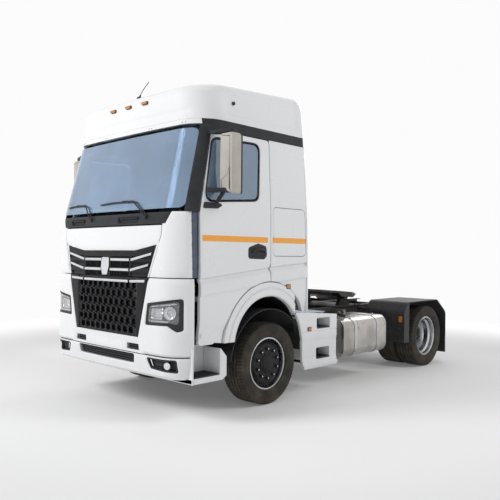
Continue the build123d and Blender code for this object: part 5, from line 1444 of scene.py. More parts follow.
    def hoop(self, rows: Sequence[Point2], proud: float, depth: float,
             relief: Callable[[Vector], float] | None = None) -> Shape:
        """Make a strip round the back of the cab from side to side.

        Args:
            rows: Height and starting y of each of its levels.
            proud: How far it stands out of the form.
            depth: Its thickness.
            relief: What its outer face adds at a point.

        Returns:
            The strip.
        """
        form = self.form
        steps = 90
        wide = 2 * steps + 1
        points: list[Vector] = []
        fine = [rows[0]]
        for (low, first), (high, last) in zip(rows, rows[1:]):
            count = max(1, round((high - low) / 0.04))
            fine += [(low + (high - low) * k / count, first + (last - first) * k / count)
                     for k in range(1, count + 1)]
        for layer in (0.0, depth):
            for z, start_y in fine:
                start, middle = form.along_side(start_y, z), form.round_back(z)
                for place in range(wide):
                    share = place / steps
                    along = start + (middle - start) * (share if share <= 1.0 else 2.0 - share)
                    rise = relief(form.place(along, z)) if relief and not layer else 0.0
                    point = form.place(along, z, layer - proud - rise)
                    if share > 1.0:
                        point.x = -point.x
                    points.append(point)
        size = wide * len(fine)
        faces: list[tuple[int, ...]] = []
        for row in range(len(fine) - 1):
            for place in range(wide - 1):
                a = row * wide + place
                face = (a, a + 1, a + 1 + wide, a + wide)
                faces.append(face)
                faces.append(tuple(size + index for index in face[::-1]))
            a, b = row * wide, (row + 1) * wide
            faces.append((a, b, size + b, size + a))
            a, b = a + wide - 1, b + wide - 1
            faces.append((b, a, size + a, size + b))
        last_row = (len(fine) - 1) * wide
        for place in range(wide - 1):
            faces.append((place + 1, place, size + place, size + place + 1))
            a = last_row + place
            faces.append((a, a + 1, size + a + 1, size + a))
        shape = Shape()
        shape.add(points, faces)
        return shape


# ---------------------------------------------------------------- roof
@dataclass
class Roof:
    """The moulded roof with its fascia, lamps and aerial foot."""

    nose: float = -2.542
    half: float = 1.2
    rear: float = -0.83
    base: float = 3.1
    wall: float = 0.04
    # lift at the nose, lift at the rear, nose set back, sides and rear tucked in
    levels: tuple[tuple[float, ...], ...] = (
        (0.000, 0.000, 0.000, 0.000, 0.000),
        (0.150, 0.175, 0.006, 0.018, 0.002),
        (0.292, 0.340, 0.012, 0.035, 0.004),
        (0.335, 0.402, 0.034, 0.056, 0.007),
        (0.368, 0.452, 0.080, 0.086, 0.013),
        (0.390, 0.487, 0.135, 0.123, 0.025),
        (0.405, 0.511, 0.210, 0.190, 0.049),
        (0.410, 0.520, 0.250, 0.220, 0.060),
    )
    corner_run: float = 0.0785
    bow: float = 0.036
    lamp_x: tuple[float, ...] = (-0.302, 0.0, 0.302)
    bolt_x: tuple[float, ...] = (-0.95, -0.42, 0.42, 0.95)
    form: CabForm = field(default_factory=CabForm)

    def _ring(self, values: Sequence[float], inset: float) -> list[Vector]:
        """One level of the roof.

        Args:
            values: The level's lifts and tucks.
            inset: How far inside the skin.

        Returns:
            Its points, round from the middle of the nose.
        """
        front, back, setback, tuck, rear_tuck = values
        drop = inset if front > 0.2 else 0.0
        start_y = self.nose + setback
        nose, half, rear = start_y + inset, self.half - tuck - inset, self.rear - rear_tuck - inset
        plan = CabForm(levels=((-9.0, nose, half, rear), (9.0, nose, half, rear)),
                       corner=0.33 - inset)
        tilt = math.atan2(back - front, self.rear - self.nose)
        _, centre_y, _, tangent, start = plan._corner(0.0)
        turn = start + rear - plan.rear_corner - centre_y
        turned = turn + self.corner_run
        stops = [(0.0, tangent, 26), (tangent, start, 14), (start, turn, 30), (turn, turned, 5),
                 (turned, plan.round_back(0.0), 12)]
        along = [low + (high - low) * k / count for low, high, count in stops for k in range(count)]
        along.append(stops[-1][1])
        right = [plan.place(a, 0.0) for a in along]
        both = right + [Vector((-p.x, p.y, 0.0)) for p in right[-2:0:-1]]
        ring = []
        for p in both:
            reach = p.y - self.nose - setback
            ring.append(Vector((p.x, start_y + reach * math.cos(tilt),
                                self.base + front - drop + reach * math.sin(tilt))))
        return ring

    @staticmethod
    def _relief(point: Vector) -> Vector:
        """How the outer skin moves at a point: side recess and the brow's channel."""
        move = Vector((0.0, 0.0, 0.0))
        if abs(point.x) > 1.1 and point.y > -2.3:
            top = 3.375 + 0.12 * (point.y + 2.3)
            inset = min(point.y + 2.16, -0.95 - point.y, point.z - 3.165, top - point.z)
            move.x -= math.copysign(0.013, point.x) * ease(inset / 0.022)
        if point.y < -2.3:
            inset = min(0.055 - abs(point.z - 3.175), 1.02 - abs(point.x))
            move.y += 0.012 * ease(inset / 0.035)
        return move

    def build(self, shop: Workshop) -> None:
        """Fit the roof.

        Args:
            shop: The workshop.
        """
        fine: list[list[float]] = [list(self.levels[0])]
        for low, high in zip(self.levels, self.levels[1:]):
            count = 9 if high[0] <= 0.3 else 2
            fine += [[a + (b - a) * k / count for a, b in zip(low, high)]
                     for k in range(1, count + 1)]
        outer = [[p + self._relief(p) for p in self._ring(values, 0.0)] for values in fine]
        inner = [self._ring(values, self.wall) for values in (self.levels[0], *self.levels[2:])]
        shape = Shape()
        count = len(outer[0])
        rings = list(reversed(inner)) + outer
        faces = []
        for row in range(len(rings) - 1):
            for place in range(count):
                after = (place + 1) % count
                faces.append((row * count + place, row * count + after,
                              (row + 1) * count + after, (row + 1) * count + place))
        base = (len(rings) - 1) * count
        half = count // 2
        for row, flip in ((0, True), (base, False)):
            for place in range(half):
                a, b = row + place, row + place + 1
                c, d = row + (count - place - 1) % count, row + (count - place) % count
                face = tuple(dict.fromkeys((a, b, c, d)))
                faces.append(face[::-1] if flip else face)
        shape.add([p for ring in rings for p in ring], faces)
        form = self.form
        strip = even([(form.along_side(-2.42, z), z) for z in (3.045, 3.0995)])
        strip = strip[-1:] + strip[:-1]
        shape.join(Panel(divided(strip, 0.03), (), 0.05, pitch=0.025, round_edge=0.003).shape(form))
        shop.fit("roof_shell", shape, "cab_white", [PLAIN_PAINT], ["roof_cap"], crease=24.0)
        self._fittings(shop)

    def _fittings(self, shop: Workshop) -> None:
        """Fit the lamps, their sockets, the bolts, the side discs and the aerial's foot."""
        lens, black = Shape(), Shape()
        for x in self.lamp_x:
            bow = self.bow * (x / self.half) ** 2
            y = self.nose + 0.012 + bow
            socket = rounded(oblong((x - 0.052, x + 0.052), (3.345, 3.383)), 0.018)
            black.drawn(socket, facing, (y + 0.03, y - 0.012), 0.004)
            cover = rounded(oblong((x - 0.046, x + 0.046), (3.35, 3.378)), 0.013)
            lens.drawn(cover, facing, (y - 0.008, y - 0.03), 0.007)
        for x in self.bolt_x:
            for shift in (-0.022, 0.022):
                for z in (3.066, 3.125):
                    place = self.form.place(self.form.along_front(x + shift, z), z, 0.001)
                    black.turn([(0.003, 0.0), (0.003, 0.004), (0.0, 0.006), (0.0, 0.0)],
                               tuple(place), (0.0, -1.0, 0.0), 10)
        for _, sign in SIDES:
            black.turn([(-0.01, 0.0), (-0.01, 0.02), (0.004, 0.018), (0.006, 0.0)],
                       (sign * 1.178, -2.02, 3.31), (sign, 0.0, 0.0), 20)
        black.turn([(-0.03, 0.0), (-0.03, 0.032), (0.012, 0.028), (0.03, 0.012), (0.05, 0.009),
                    (0.05, 0.0)], (0.0, self.nose + 0.15, 3.487), (0.0, 0.35, 0.9), 20)
        aerial = [(0.0, self.nose + back, z)
                  for back, z in ((0.165, 3.53), (0.21, 3.61), (0.288, 3.712))]
        black.tube(aerial, 0.0045, 8)
        shop.fit("roof_lamp_lenses", lens, "lamp_amber")
        shop.fit("roof_fittings", black, "black_plastic", replaces=["aerial"])


# ---------------------------------------------------------------- nose of the cab
@dataclass
class Nose:
    """Cowl, wipers, corner panels, and the hatch with its dark field and bright blades."""

    split: float = 1.455
    gap: float = 0.01
    cowl_low: float = 2.01
    cowl_high: float = 2.13
    cowl_half: float = 0.965
    cowl_spread: float = 0.07
    hatch_low: float = 0.76
    hatch_high: float = 0.915
    square: float = 0.11
    hatch_top: float = 1.994
    corner_end: float = -2.615
    blades: tuple[Point2, ...] = ((1.638, 0.2), (1.531, 0.2))
    low_blade: Point2 = (1.412, 0.04)
    blade_half: float = 0.43
    blade_gap: float = 0.026
    blade_tall: float = 0.013
    cell_wide: float = 0.0345
    cell_tall: float = 0.0215
    cell_middle: float = 1.553
    shield_low: float = 1.471
    shield_bend: float = 1.56
    shield_high: float = 1.662
    grabs: tuple[tuple[float, float], ...] = ((-0.65, 0.15), (0.36, 0.18))
    form: CabForm = field(default_factory=CabForm)

    def build(self, shop: Workshop) -> None:
        """Fit the nose.

        Args:
            shop: The workshop.
        """
        self._cowl(shop)
        self._corners(shop)
        self._hatch(shop)
        self._blades(shop)
        self._wipers(shop)
        shop.recoat("windscreen", WINDSCREEN_GLASS_PAINTED_SKY)

    def _hatch_side(self, z: float) -> float:
        """Half width of the hatch at a height."""
        bend = self.cowl_low - self.square
        share = min(1.0, (z - self.split) / (bend - self.split))
        return self.hatch_low + (self.hatch_high - self.hatch_low) * share

    def _cowl(self, shop: Workshop) -> None:
        """Fit the cowl with its two grab recesses."""
        low, high, top = self.cowl_half, self.cowl_half + self.cowl_spread, self.cowl_high - 0.001
        outline = [(-low, self.cowl_low), (low, self.cowl_low), (high, top), (-high, top)]

        def dished(z: float, point: Vector) -> float:
            """How far the cowl sinks at a grab recess."""
            sink = 0.0
            for middle, half in self.grabs:
                reach = math.hypot(max(0.0, abs(point.x - middle) - half + 0.022), z - 2.062)
                sink += 0.026 * ease((0.034 - reach) / 0.012)
            return -sink - 0.004 * ease((z - 2.098) / 0.008)

        shape = Panel(self.form.front(outline), (), 0.036, pitch=0.011, proud=-0.006,
                      relief=dished).shape(self.form)
        for middle, half in self.grabs:
            bar = self.form.front([(middle + half * k / 4, 2.078) for k in (-3.4, -2, 0, 2, 3.4)])
            shape.tube([self.form.place(along, z, 0.012) for along, z in bar], 0.0075, 8)
        shop.fit("cowl_strip", shape, "black_plastic", replaces=["cowl"])

    def _corners(self, shop: Workshop) -> None:
        """Fit the corner panels beside the hatch and cowl; the slots behind them get painted shade.
        """
        form = self.form
        top, low, gap = self.cowl_high - 0.001, self.split + self.gap, self.gap
        inner = [(self._hatch_side(z) + gap, z) for z in (low, 1.6, 1.75, 1.895)]
        inner += [(self.hatch_high + gap, self.cowl_low), (self.cowl_half + 0.003, self.cowl_low),
                  (self.cowl_half + self.cowl_spread + 0.001, top)]
        outline = [(form.along_side(self.corner_end, low), low),
                   (form.along_side(self.corner_end, top), top)]
        outline += [(form.along_front(x, z), z) for x, z in reversed(inner)]

        def crowned(z: float, point: Vector) -> float:
            """A rounded rear edge and a shallow crown."""
            behind = point.y - self.corner_end + 0.05
            return -0.018 * ease(behind / 0.05) - 0.006 * ease((1.53 - z) / 0.06)

        skin = Panel(outline[::-1], (), 0.03, pitch=0.018, round_edge=0.009, relief=crowned)
        shop.fit("corner_skins", skin.shape(form).both(), "cab_white", [PLAIN_PAINT],
                 ["corner_panels"])
        # The slot walls and vanes are painted a blue-grey shade that stands for white paint in
        # shadow.
        dark = Shape()
        slot = form.side([(-2.64, low), (-2.64, top), (-2.548, top), (-2.548, low)])
        dark.join(Panel(slot, (), 0.006, pitch=0.03, proud=-0.034).shape(form))
        for z in (1.56, 1.68, 1.80, 1.92, 2.04):
            vane = form.side(oblong((-2.64, -2.55), (z - 0.004, z + 0.004)))
            dark.join(Panel(vane, (), 0.016, pitch=0.03, proud=-0.019).shape(form))
        shop.fit("deflector_slots", dark.both(), "black_plastic", [SLOT_PAINTED_SHADE])

    def _field(self, grow: float) -> list[Point2]:
        """The dark field's outline in front view, grown."""
        return even([(0.744 + grow, self.split + self.gap), (0.852 + grow, 1.795 + grow),
                     (0.5, 1.735 + grow)])

    def _hatch(self, shop: Workshop) -> None:
        """Fit the hatch's white skin and its dark field."""
        form, low = self.form, self.split + self.gap
        white = even([(self._hatch_side(low), low), (self.hatch_high, self.cowl_low - self.square),
                      (self.hatch_high, self.hatch_top)])
        white += self._field(0.003)[::-1]

        def folded(z: float, point: Vector) -> float:
            """A brow over the dark field that fades upward."""
            edge = 1.74 + 0.06 * ease((abs(point.x) - 0.45) / 0.4)
            over = z - edge
            return -0.010 * ease((0.05 - over) / 0.05) if over > -0.01 else -0.004

        shape = sheet(form, 0.05, white, depth=0.028, pitch=0.02, round_edge=0.006, relief=folded)
        shop.fit("hatch_skin", shape, "cab_white", [PLAIN_PAINT], ["hatch"], body="hatch")

        def louvred(z: float, point: Vector) -> float:
            """Cells between the blades in the middle, level ribs beside them."""
            reach = abs(point.x)
            if any(abs(z - blade) < 0.022 for blade, _ in self.blades):
                return 0.0
            if z > 1.668 and reach < 0.44 or z > 1.69:
                return 0.0
            wide, tall, middle = self.cell_wide, self.cell_tall, self.cell_middle
            if 0.085 < reach < self.blade_half:
                across = abs(((reach - 0.085) / wide) % 1.0 - 0.5) * wide
                up = abs(((z - middle) / tall) % 1.0 - 0.5) * tall
                return -0.013 * ease((min(0.0172 - across, 0.0108 - up) - 0.002) / 0.003)
            if 0.455 < reach < 0.80 - 0.6 * max(0.0, 1.62 - z):
                up = abs(((z - middle) / (2 * tall)) % 1.0 - 0.5) * 2 * tall
                return -0.012 * ease((tall - up - 0.004) / 0.004)
            return 0.0

        dark = sheet(form, 0.04, self._field(0.0), pitch=0.0062, proud=-0.009, round_edge=0.003,
                     relief=louvred)
        shop.fit("grille_field", dark, "grille_black", body="hatch")

    def _blade_shapes(self, z: float, slope: float) -> Shape:
        """One row of blades.

        Args:
            z: Height of its middle.
            slope: Rise of its outer blades.

        Returns:
            The row.
        """
        half, start = self.blade_half, self.blade_half + self.blade_gap
        end = self.hatch_low - 0.04 + 0.36 * (z - self.split)
        rise = slope * (end - start)
        low, high = z - self.blade_tall, z + self.blade_tall
        outer = [(start + 0.004, low), (end, low + rise), (end + 0.007, high + rise),
                 (start - 0.004, high)]
        shield = 0.088 if z > self.split else 0.0
        middle = [(shield, low), (half, low), (half - 0.007, high), (shield, high)]

        def crowned(height: float, point: Vector) -> float:
            """A ridge along the blade."""
            middle_z = z + (slope * (abs(point.x) - start) if abs(point.x) > half + 0.005 else 0.0)
            return 0.006 - 0.006 * ease(abs(height - middle_z) / self.blade_tall)

        def blade(outline: Sequence[Point2]) -> Shape:
            """One blade from its outline in front view."""
            return Panel(self.form.front(outline), (), 0.012, pitch=0.0065, round_edge=0.003,
                         relief=crowned).shape(self.form)

        result = Shape()
        result.join(blade(outer).both())
        if shield:
            result.join(blade(middle).both())
        else:
            result.join(blade([(-half, low), (half, low), (half - 0.007, high),
                               (-half + 0.007, high)]))
        return result

    def _blades(self, shop: Workshop) -> None:
        """Fit the bright blades and the blank shield."""
        shape = Shape()
        for z, slope in self.blades:
            shape.join(self._blade_shapes(z, slope))
        foot, bend, head = self.shield_low, self.shield_bend, self.shield_high
        shield = rounded([(-0.044, foot), (0.044, foot), (0.074, bend), (0.066, head),
                          (-0.066, head), (-0.074, bend)], 0.018, 5)

        def domed(z: float, point: Vector) -> float:
            """A dome with a raised border."""
            edge = 0.072 - abs(point.x) - 0.16 * max(0.0, bend - z)
            inset = min(edge, z - foot, head - z)
            return -0.003 * ease((inset - 0.007) / 0.004)

        shape.join(sheet(self.form, 0.02, shield, pitch=0.006, proud=0.013, round_edge=0.006,
                         relief=domed))
        shop.fit("hatch_blades", shape, "bright_strip", replaces=["upper_grille"], body="hatch")
        shop.fit("fixed_blades", self._blade_shapes(*self.low_blade), "bright_strip",
                 replaces=["lower_blade"])

    def _wipers(self, shop: Workshop) -> None:
        """Fit the two wipers with their cranked arms and blades."""
        form, shape = self.form, Shape()

        def spot(x: float, z: float, out: float) -> Point3:
            """A place ahead of the form."""
            return tuple(form.place(form.along_front(x, z), z, -out))

        for foot, elbow, start, end in ((-0.36, -0.52, -0.93, -0.50), (0.66, 0.43, -0.20, 0.47)):
            shape.turn([(-0.02, 0.0), (-0.02, 0.024), (0.006, 0.022), (0.014, 0.012), (0.016, 0.0)],
                       spot(foot, 2.085, 0.004), (0.0, -1.0, 0.1), 16)
            arm = [spot(foot, 2.085, 0.012), spot(foot - 0.03, 2.13, 0.02),
                   spot(elbow + 0.03, 2.235, 0.02), spot(elbow, 2.26, 0.02),
                   spot(elbow - 0.2, 2.27, 0.016)]
            shape.tube(arm, 0.0075, 8)
            shape.tube([spot(foot + 0.035, 2.095, 0.008), spot(elbow + 0.07, 2.24, 0.016),
                        spot(elbow - 0.02, 2.268, 0.016)], 0.0045, 6)
            count = 14
            shares = [k / count for k in range(count + 1)]
            blade = [spot(start + (end - start) * share, 2.262 - 0.05 * (share - 0.5) ** 2, 0.006)
                     for share in shares]
            shape.tube(blade, 0.0075, 6)
            shape.tube(blade[2:-2:3] + [blade[-3]], 0.009, 6)
        shop.fit("wiper_arms", shape, "black_plastic", replaces=["wipers"])


# ---------------------------------------------------------------- bumper, grille and lamps
@dataclass
class Front:
    """The bumper's two parts, the slatted grille and the lamp units."""

    low: float = 0.442
    groove: float = 0.67
    high: float = 1.455
    rear: float = -2.60
    grille_low: float = 0.84
    grille_half_low: float = 0.60
    grille_half_high: float = 0.76
    pitch_x: float = 0.104
    pitch_z: float = 0.094
    cells_low: float = 0.866
    cells_end: float = 0.548
    cell_wide: float = 0.084
    cell_tall: float = 0.066
    cell_cut: float = 0.02
    lamp: tuple[Point2, ...] = ((0.715, 0.975), (1.04, 0.985), (1.13, 0.925), (1.178, 0.94),
                                (1.178, 1.26), (0.748, 1.20))
    fog: tuple[Point2, ...] = ((0.79, 0.535), (1.13, 0.515), (1.13, 0.65), (0.735, 0.65))
    vent: tuple[Point2, ...] = ((0.40, 0.70), (0.61, 0.70), (0.60, 0.765), (0.40, 0.765))
    slot: tuple[Point2, ...] = ((-0.52, 0.56), (0.52, 0.56), (0.54, 0.66), (-0.54, 0.66))
    form: CabForm = field(default_factory=CabForm)

    def build(self, shop: Workshop) -> None:
        """Fit the front.

        Args:
            shop: The workshop.
        """
        self._bumper(shop)
        self._grille(shop)
        self._headlamps(shop)
        self._fog_lamps(shop)

    def _shrunk(self, outline: Sequence[Point2], inset: float, round_by: float) -> list[Point2]:
        """An outline moved inward and rounded.

        Args:
            outline: Points of a closed outline, anticlockwise.
            inset: How far inward.
            round_by: Radius of the corners.

        Returns:
            The new outline.
        """
        points = [Vector(point) for point in outline]
        moved: list[Point2] = []
        for place, point in enumerate(points):
            back = (point - points[place - 1]).normalized()
            ahead = (points[(place + 1) % len(points)] - point).normalized()
            first, last = Vector((-back.y, back.x)), Vector((-ahead.y, ahead.x))
            half = first + last
            moved.append(tuple(point + half * inset / max(0.3, half.dot(first))))
        return rounded(moved, round_by, 5)

    def _bumper(self, shop: Workshop) -> None:
        """Fit the bumper's upper and lower parts and its backing."""
        form = self.form
        half_low, half_high = self.grille_half_low + 0.003, self.grille_half_high + 0.003
        head, foot = self.groove - 0.004, self.groove + 0.004
        top, sill = self.high, self.grille_low - 0.003

        def end(z: float) -> float:
            """Length round the form to the bumper's rear end."""
            return form.along_side(self.rear, z)

        upper = even([(end(foot), foot), (end(top), top),
                      *form.front([(half_high, top), (half_low, sill)])])
        upper = upper[-1:] + upper[:-1]
        holes = []
        for _, sign in SIDES:
            holes.append([(sign * a, z)
                          for a, z in form.front(divided(rounded(self.lamp, 0.024), 0.02))])
            vent = [(sign * x, z) for x, z in self.vent][::int(sign)]
            holes.append(form.front(divided(rounded(vent, 0.012), 0.02)))

        def pressed(z: float, point: Vector) -> float:
            """A brow above the lamps, and a crease down from the grille's corners."""
            reach = abs(point.x)
            out = -0.012 * ease((z - 1.395) / 0.05) * ease((reach - 0.72) / 0.06)
            line = 0.62 + 0.26 * (z - self.grille_low) + 0.06
            out -= 0.008 * ease((line - reach) / 0.03) * ease((0.835 - z) / 0.06)
            out -= 0.014 * ease((0.70 - z) / 0.035) * ease((reach - 0.66) / 0.05)
            return out

        shape = Panel(divided(upper, 0.04), holes, 0.045, pitch=0.018, round_edge=0.007,
                      relief=pressed).shape(form)
        lower = [(side * end(z), z)
                 for side, z in zip((-1, 1, 1, -1), (self.low, self.low, head, head))]
        holes = [form.front(divided(rounded(self.slot, 0.02), 0.02))]
        for _, sign in SIDES:
            holes.append([(sign * a, z)
                          for a, z in form.front(divided(rounded(self.fog, 0.024), 0.02))])

        def tucked(z: float, point: Vector) -> float:
            """The lower lip."""
            return -0.010 * ease((0.475 - z) / 0.012) - 0.02 * ease((0.455 - z) / 0.013)

        shape.join(Panel(divided(lower, 0.04), holes, 0.045, pitch=0.014, round_edge=0.007,
                         relief=tucked).shape(form))
        shop.fit("bumper_skins", shape, "cab_white", [PLAIN_PAINT], ["bumper"])
        dark = Shape()
        stop = end(foot) - 0.01
        for outline, proud in ((oblong((-stop, stop), (foot - 0.02, foot + 0.02)), -0.012),
                               (oblong((-0.64, 0.64), (0.535, 0.79)), -0.05)):
            dark.join(Panel(divided(outline, 0.05), (), 0.006, pitch=0.03, proud=proud).shape(form))
        for z in (0.585, 0.61, 0.635, 0.718, 0.742):
            bars = [(-0.53, 0.53)] if z < 0.7 else [(0.41, 0.6), (-0.6, -0.41)]
            for start, stop in bars:
                count = max(2, round((stop - start) / 0.05))
                line = [form.place(start + (stop - start) * k / count, z, 0.028)
                        for k in range(count + 1)]
                dark.tube(line, 0.0055, 6)
        for k in range(-10, 11):
            x = k * 0.05
            dark.tube([form.place(x + 0.012, 0.568, 0.034), form.place(x - 0.012, 0.652, 0.034)],
                      0.0045, 6)
        shop.fit("bumper_grilles", dark, "black_plastic")

    def _grille(self, shop: Workshop) -> None:
        """Fit the slatted lower grille with its waved bars and a black sheet of painted shade
        behind.
        """
        form = self.form
        half_low, half_high = self.grille_half_low - 0.001, self.grille_half_high - 0.001
        outline = [(-half_low, self.grille_low), (half_low, self.grille_low),
                   (half_high, self.high), (-half_high, self.high)]
        wide, tall, cut, reach = self.cell_wide, self.cell_tall, self.cell_cut, self.cells_end
        cells = []
        rows = [self.cells_low + row * self.pitch_z for row in range(6)]
        for row, z in enumerate(rows):
            for column in range(-5, 5 + row % 2):
                x = (column + 0.5 - 0.5 * (row % 2)) * self.pitch_x
                left, right = max(x - wide / 2, -reach), min(x + wide / 2, reach)
                cells.append(rounded([(left, z + cut), (left + cut, z), (right - cut, z),
                                      (right, z + cut), (right, z + tall - cut),
                                      (right - cut, z + tall), (left + cut, z + tall),
                                      (left, z + tall - cut)], 0.008, 2))

        def trimmed(z: float, point: Vector) -> float:
            """Raised side trims and a hollow middle."""
            edge = 0.556 + 0.02 * (z - self.grille_low)
            return -0.010 * ease((edge - abs(point.x)) / 0.012)

        shape = Panel(form.front(divided(outline, 0.04)), [form.front(cell) for cell in cells],
                      0.024, pitch=0.013, proud=-0.008, round_edge=0.003,
                      relief=trimmed).shape(form)
        for row in range(1, len(rows)):
            z, shift = rows[row] - 0.014, math.pi * (row % 2)
            wave = []
            for step in range(-104, 105):
                swing = math.cos(step * math.pi / 10 + shift)
                wave.append(form.place(step * self.pitch_x / 20, z + 0.011 * swing,
                                       0.012 - 0.004 * swing))
            shape.tube(wave, 0.0095, 8)
        # A black sheet behind the cells: painted shade that stands for the dark space behind the
        # grille.
        shape.join(Panel([(-0.58, 0.86), (0.58, 0.86), (0.66, 1.44), (-0.66, 1.44)], (), 0.004,
                         pitch=0.06, proud=-0.042).shape(form))
        shop.fit("grille_slats", shape, "grille_black", replaces=["lower_grille"])

    def _seat(self, along: float, z: float, depth: float) -> tuple[Vector, Vector]:
        """A round lamp's seat behind the form, and the way that the lamp looks.

        Args:
            along: Length round the outline.
            z: Height.
            depth: How far inside the form.

        Returns:
            The seat and the direction.
        """
        seat = self.form.place(along, z, depth)
        return seat, (self.form.place(along, z, 0.0) - seat).normalized()

    def _headlamps(self, shop: Workshop) -> None:
        """Fit the headlamps: bezel, bowl, ringed round lamp, light bar and lens."""
        form = self.form
        bezel, bright, lens = Shape(), Shape(), Shape()
        outer = self._shrunk(self.lamp, 0.002, 0.022)
        glass = [(0.752, 1.005), (1.065, 1.012), (1.143, 1.0), (1.148, 1.228), (0.776, 1.175)]
        rim = rounded(glass, 0.03, 6)
        bezel.join(sheet(form, 0.015, outer, [rim], depth=0.03, pitch=0.01, proud=-0.005,
                         round_edge=0.005))
        bezel.join(sheet(form, 0.03, rim, depth=0.006, pitch=0.02, proud=-0.058))
        block = rounded([(0.785, 1.038), (0.96, 1.042), (0.99, 1.155), (0.803, 1.15)], 0.02, 5)
        inner = rounded([(0.803, 1.056), (0.95, 1.059), (0.97, 1.138), (0.818, 1.134)], 0.012, 4)
        bright.join(sheet(form, 0.012, block, [inner], depth=0.03, pitch=0.008, proud=-0.02,
                          round_edge=0.004))
        bright.join(sheet(form, 0.02, inner, depth=0.004, pitch=0.012, proud=-0.046))
        for corners in ([(0.778, 1.014), (1.06, 1.019), (1.07, 1.031), (0.778, 1.026)],
                        [(0.796, 1.162), (1.12, 1.198), (1.128, 1.214), (0.792, 1.172)]):
            bar = rounded(corners, 0.004, 3)
            bright.join(sheet(form, 0.012, bar, depth=0.01, pitch=0.008, proud=-0.022))
        seat, run = self._seat(form.along_front(1.062, 1.118), 1.112, 0.05)
        bright.turn([(0.0, 0.0), (0.0, 0.03), (0.012, 0.052), (0.028, 0.066), (0.034, 0.066),
                     (0.034, 0.060), (0.024, 0.057), (0.016, 0.044), (0.022, 0.04), (0.022, 0.034),
                     (0.008, 0.03), (0.004, 0.0)], seat, run, 40)
        lens.turn([(0.008, 0.0), (0.008, 0.029), (0.016, 0.026), (0.022, 0.016), (0.024, 0.0)],
                  seat, run, 32)
        lens.join(sheet(form, 0.02, rim, depth=0.003, pitch=0.02, proud=-0.009, round_edge=0.003))
        shop.fit("lamp_bezels", bezel.both(), "black_plastic")
        shop.fit("lamp_reflectors", bright.both(), "bright_strip")
        shop.fit("lamp_lenses", lens.both(), "lamp_clear", replaces=["front_lamps"])

    def _fog_lamps(self, shop: Workshop) -> None:
        """Fit the fog lamps in their black recesses."""
        form = self.form
        black, bright = Shape(), Shape()
        outline = self._shrunk(self.fog, 0.002, 0.022)
        pocket = self._shrunk(self.fog, 0.016, 0.02)
        black.join(sheet(form, 0.015, outline, [pocket], depth=0.03, pitch=0.009, proud=-0.004,
                         round_edge=0.005))

        def stepped(z: float, point: Vector) -> float:
            """Level ribs in the recess."""
            return -0.006 * ease((abs(((z - 0.53) / 0.03) % 1.0 - 0.5) - 0.18) / 0.12)

        black.join(sheet(form, 0.02, pocket, depth=0.006, pitch=0.009, proud=-0.032,
                         relief=stepped))
        seat, run = self._seat(form.along_front(1.03, 0.585), 0.585, 0.036)
        black.turn([(0.0, 0.0), (0.0, 0.046), (0.022, 0.046), (0.026, 0.042), (0.02, 0.036),
                    (0.02, 0.0)], seat, run, 32)
        bright.turn([(0.02, 0.0), (0.02, 0.034), (0.027, 0.036), (0.029, 0.032), (0.025, 0.026),
                     (0.028, 0.012), (0.03, 0.0)], seat, run, 32)
        strip = rounded([(0.812, 0.565), (0.828, 0.565), (0.808, 0.63), (0.784, 0.63)], 0.005, 3)
        bright.join(sheet(form, 0.012, strip, depth=0.01, pitch=0.008, proud=-0.014,
                          round_edge=0.003))
        shop.fit("fog_housings", black.both(), "black_plastic")
        shop.fit("fog_reflectors", bright.both(), "bright_strip")


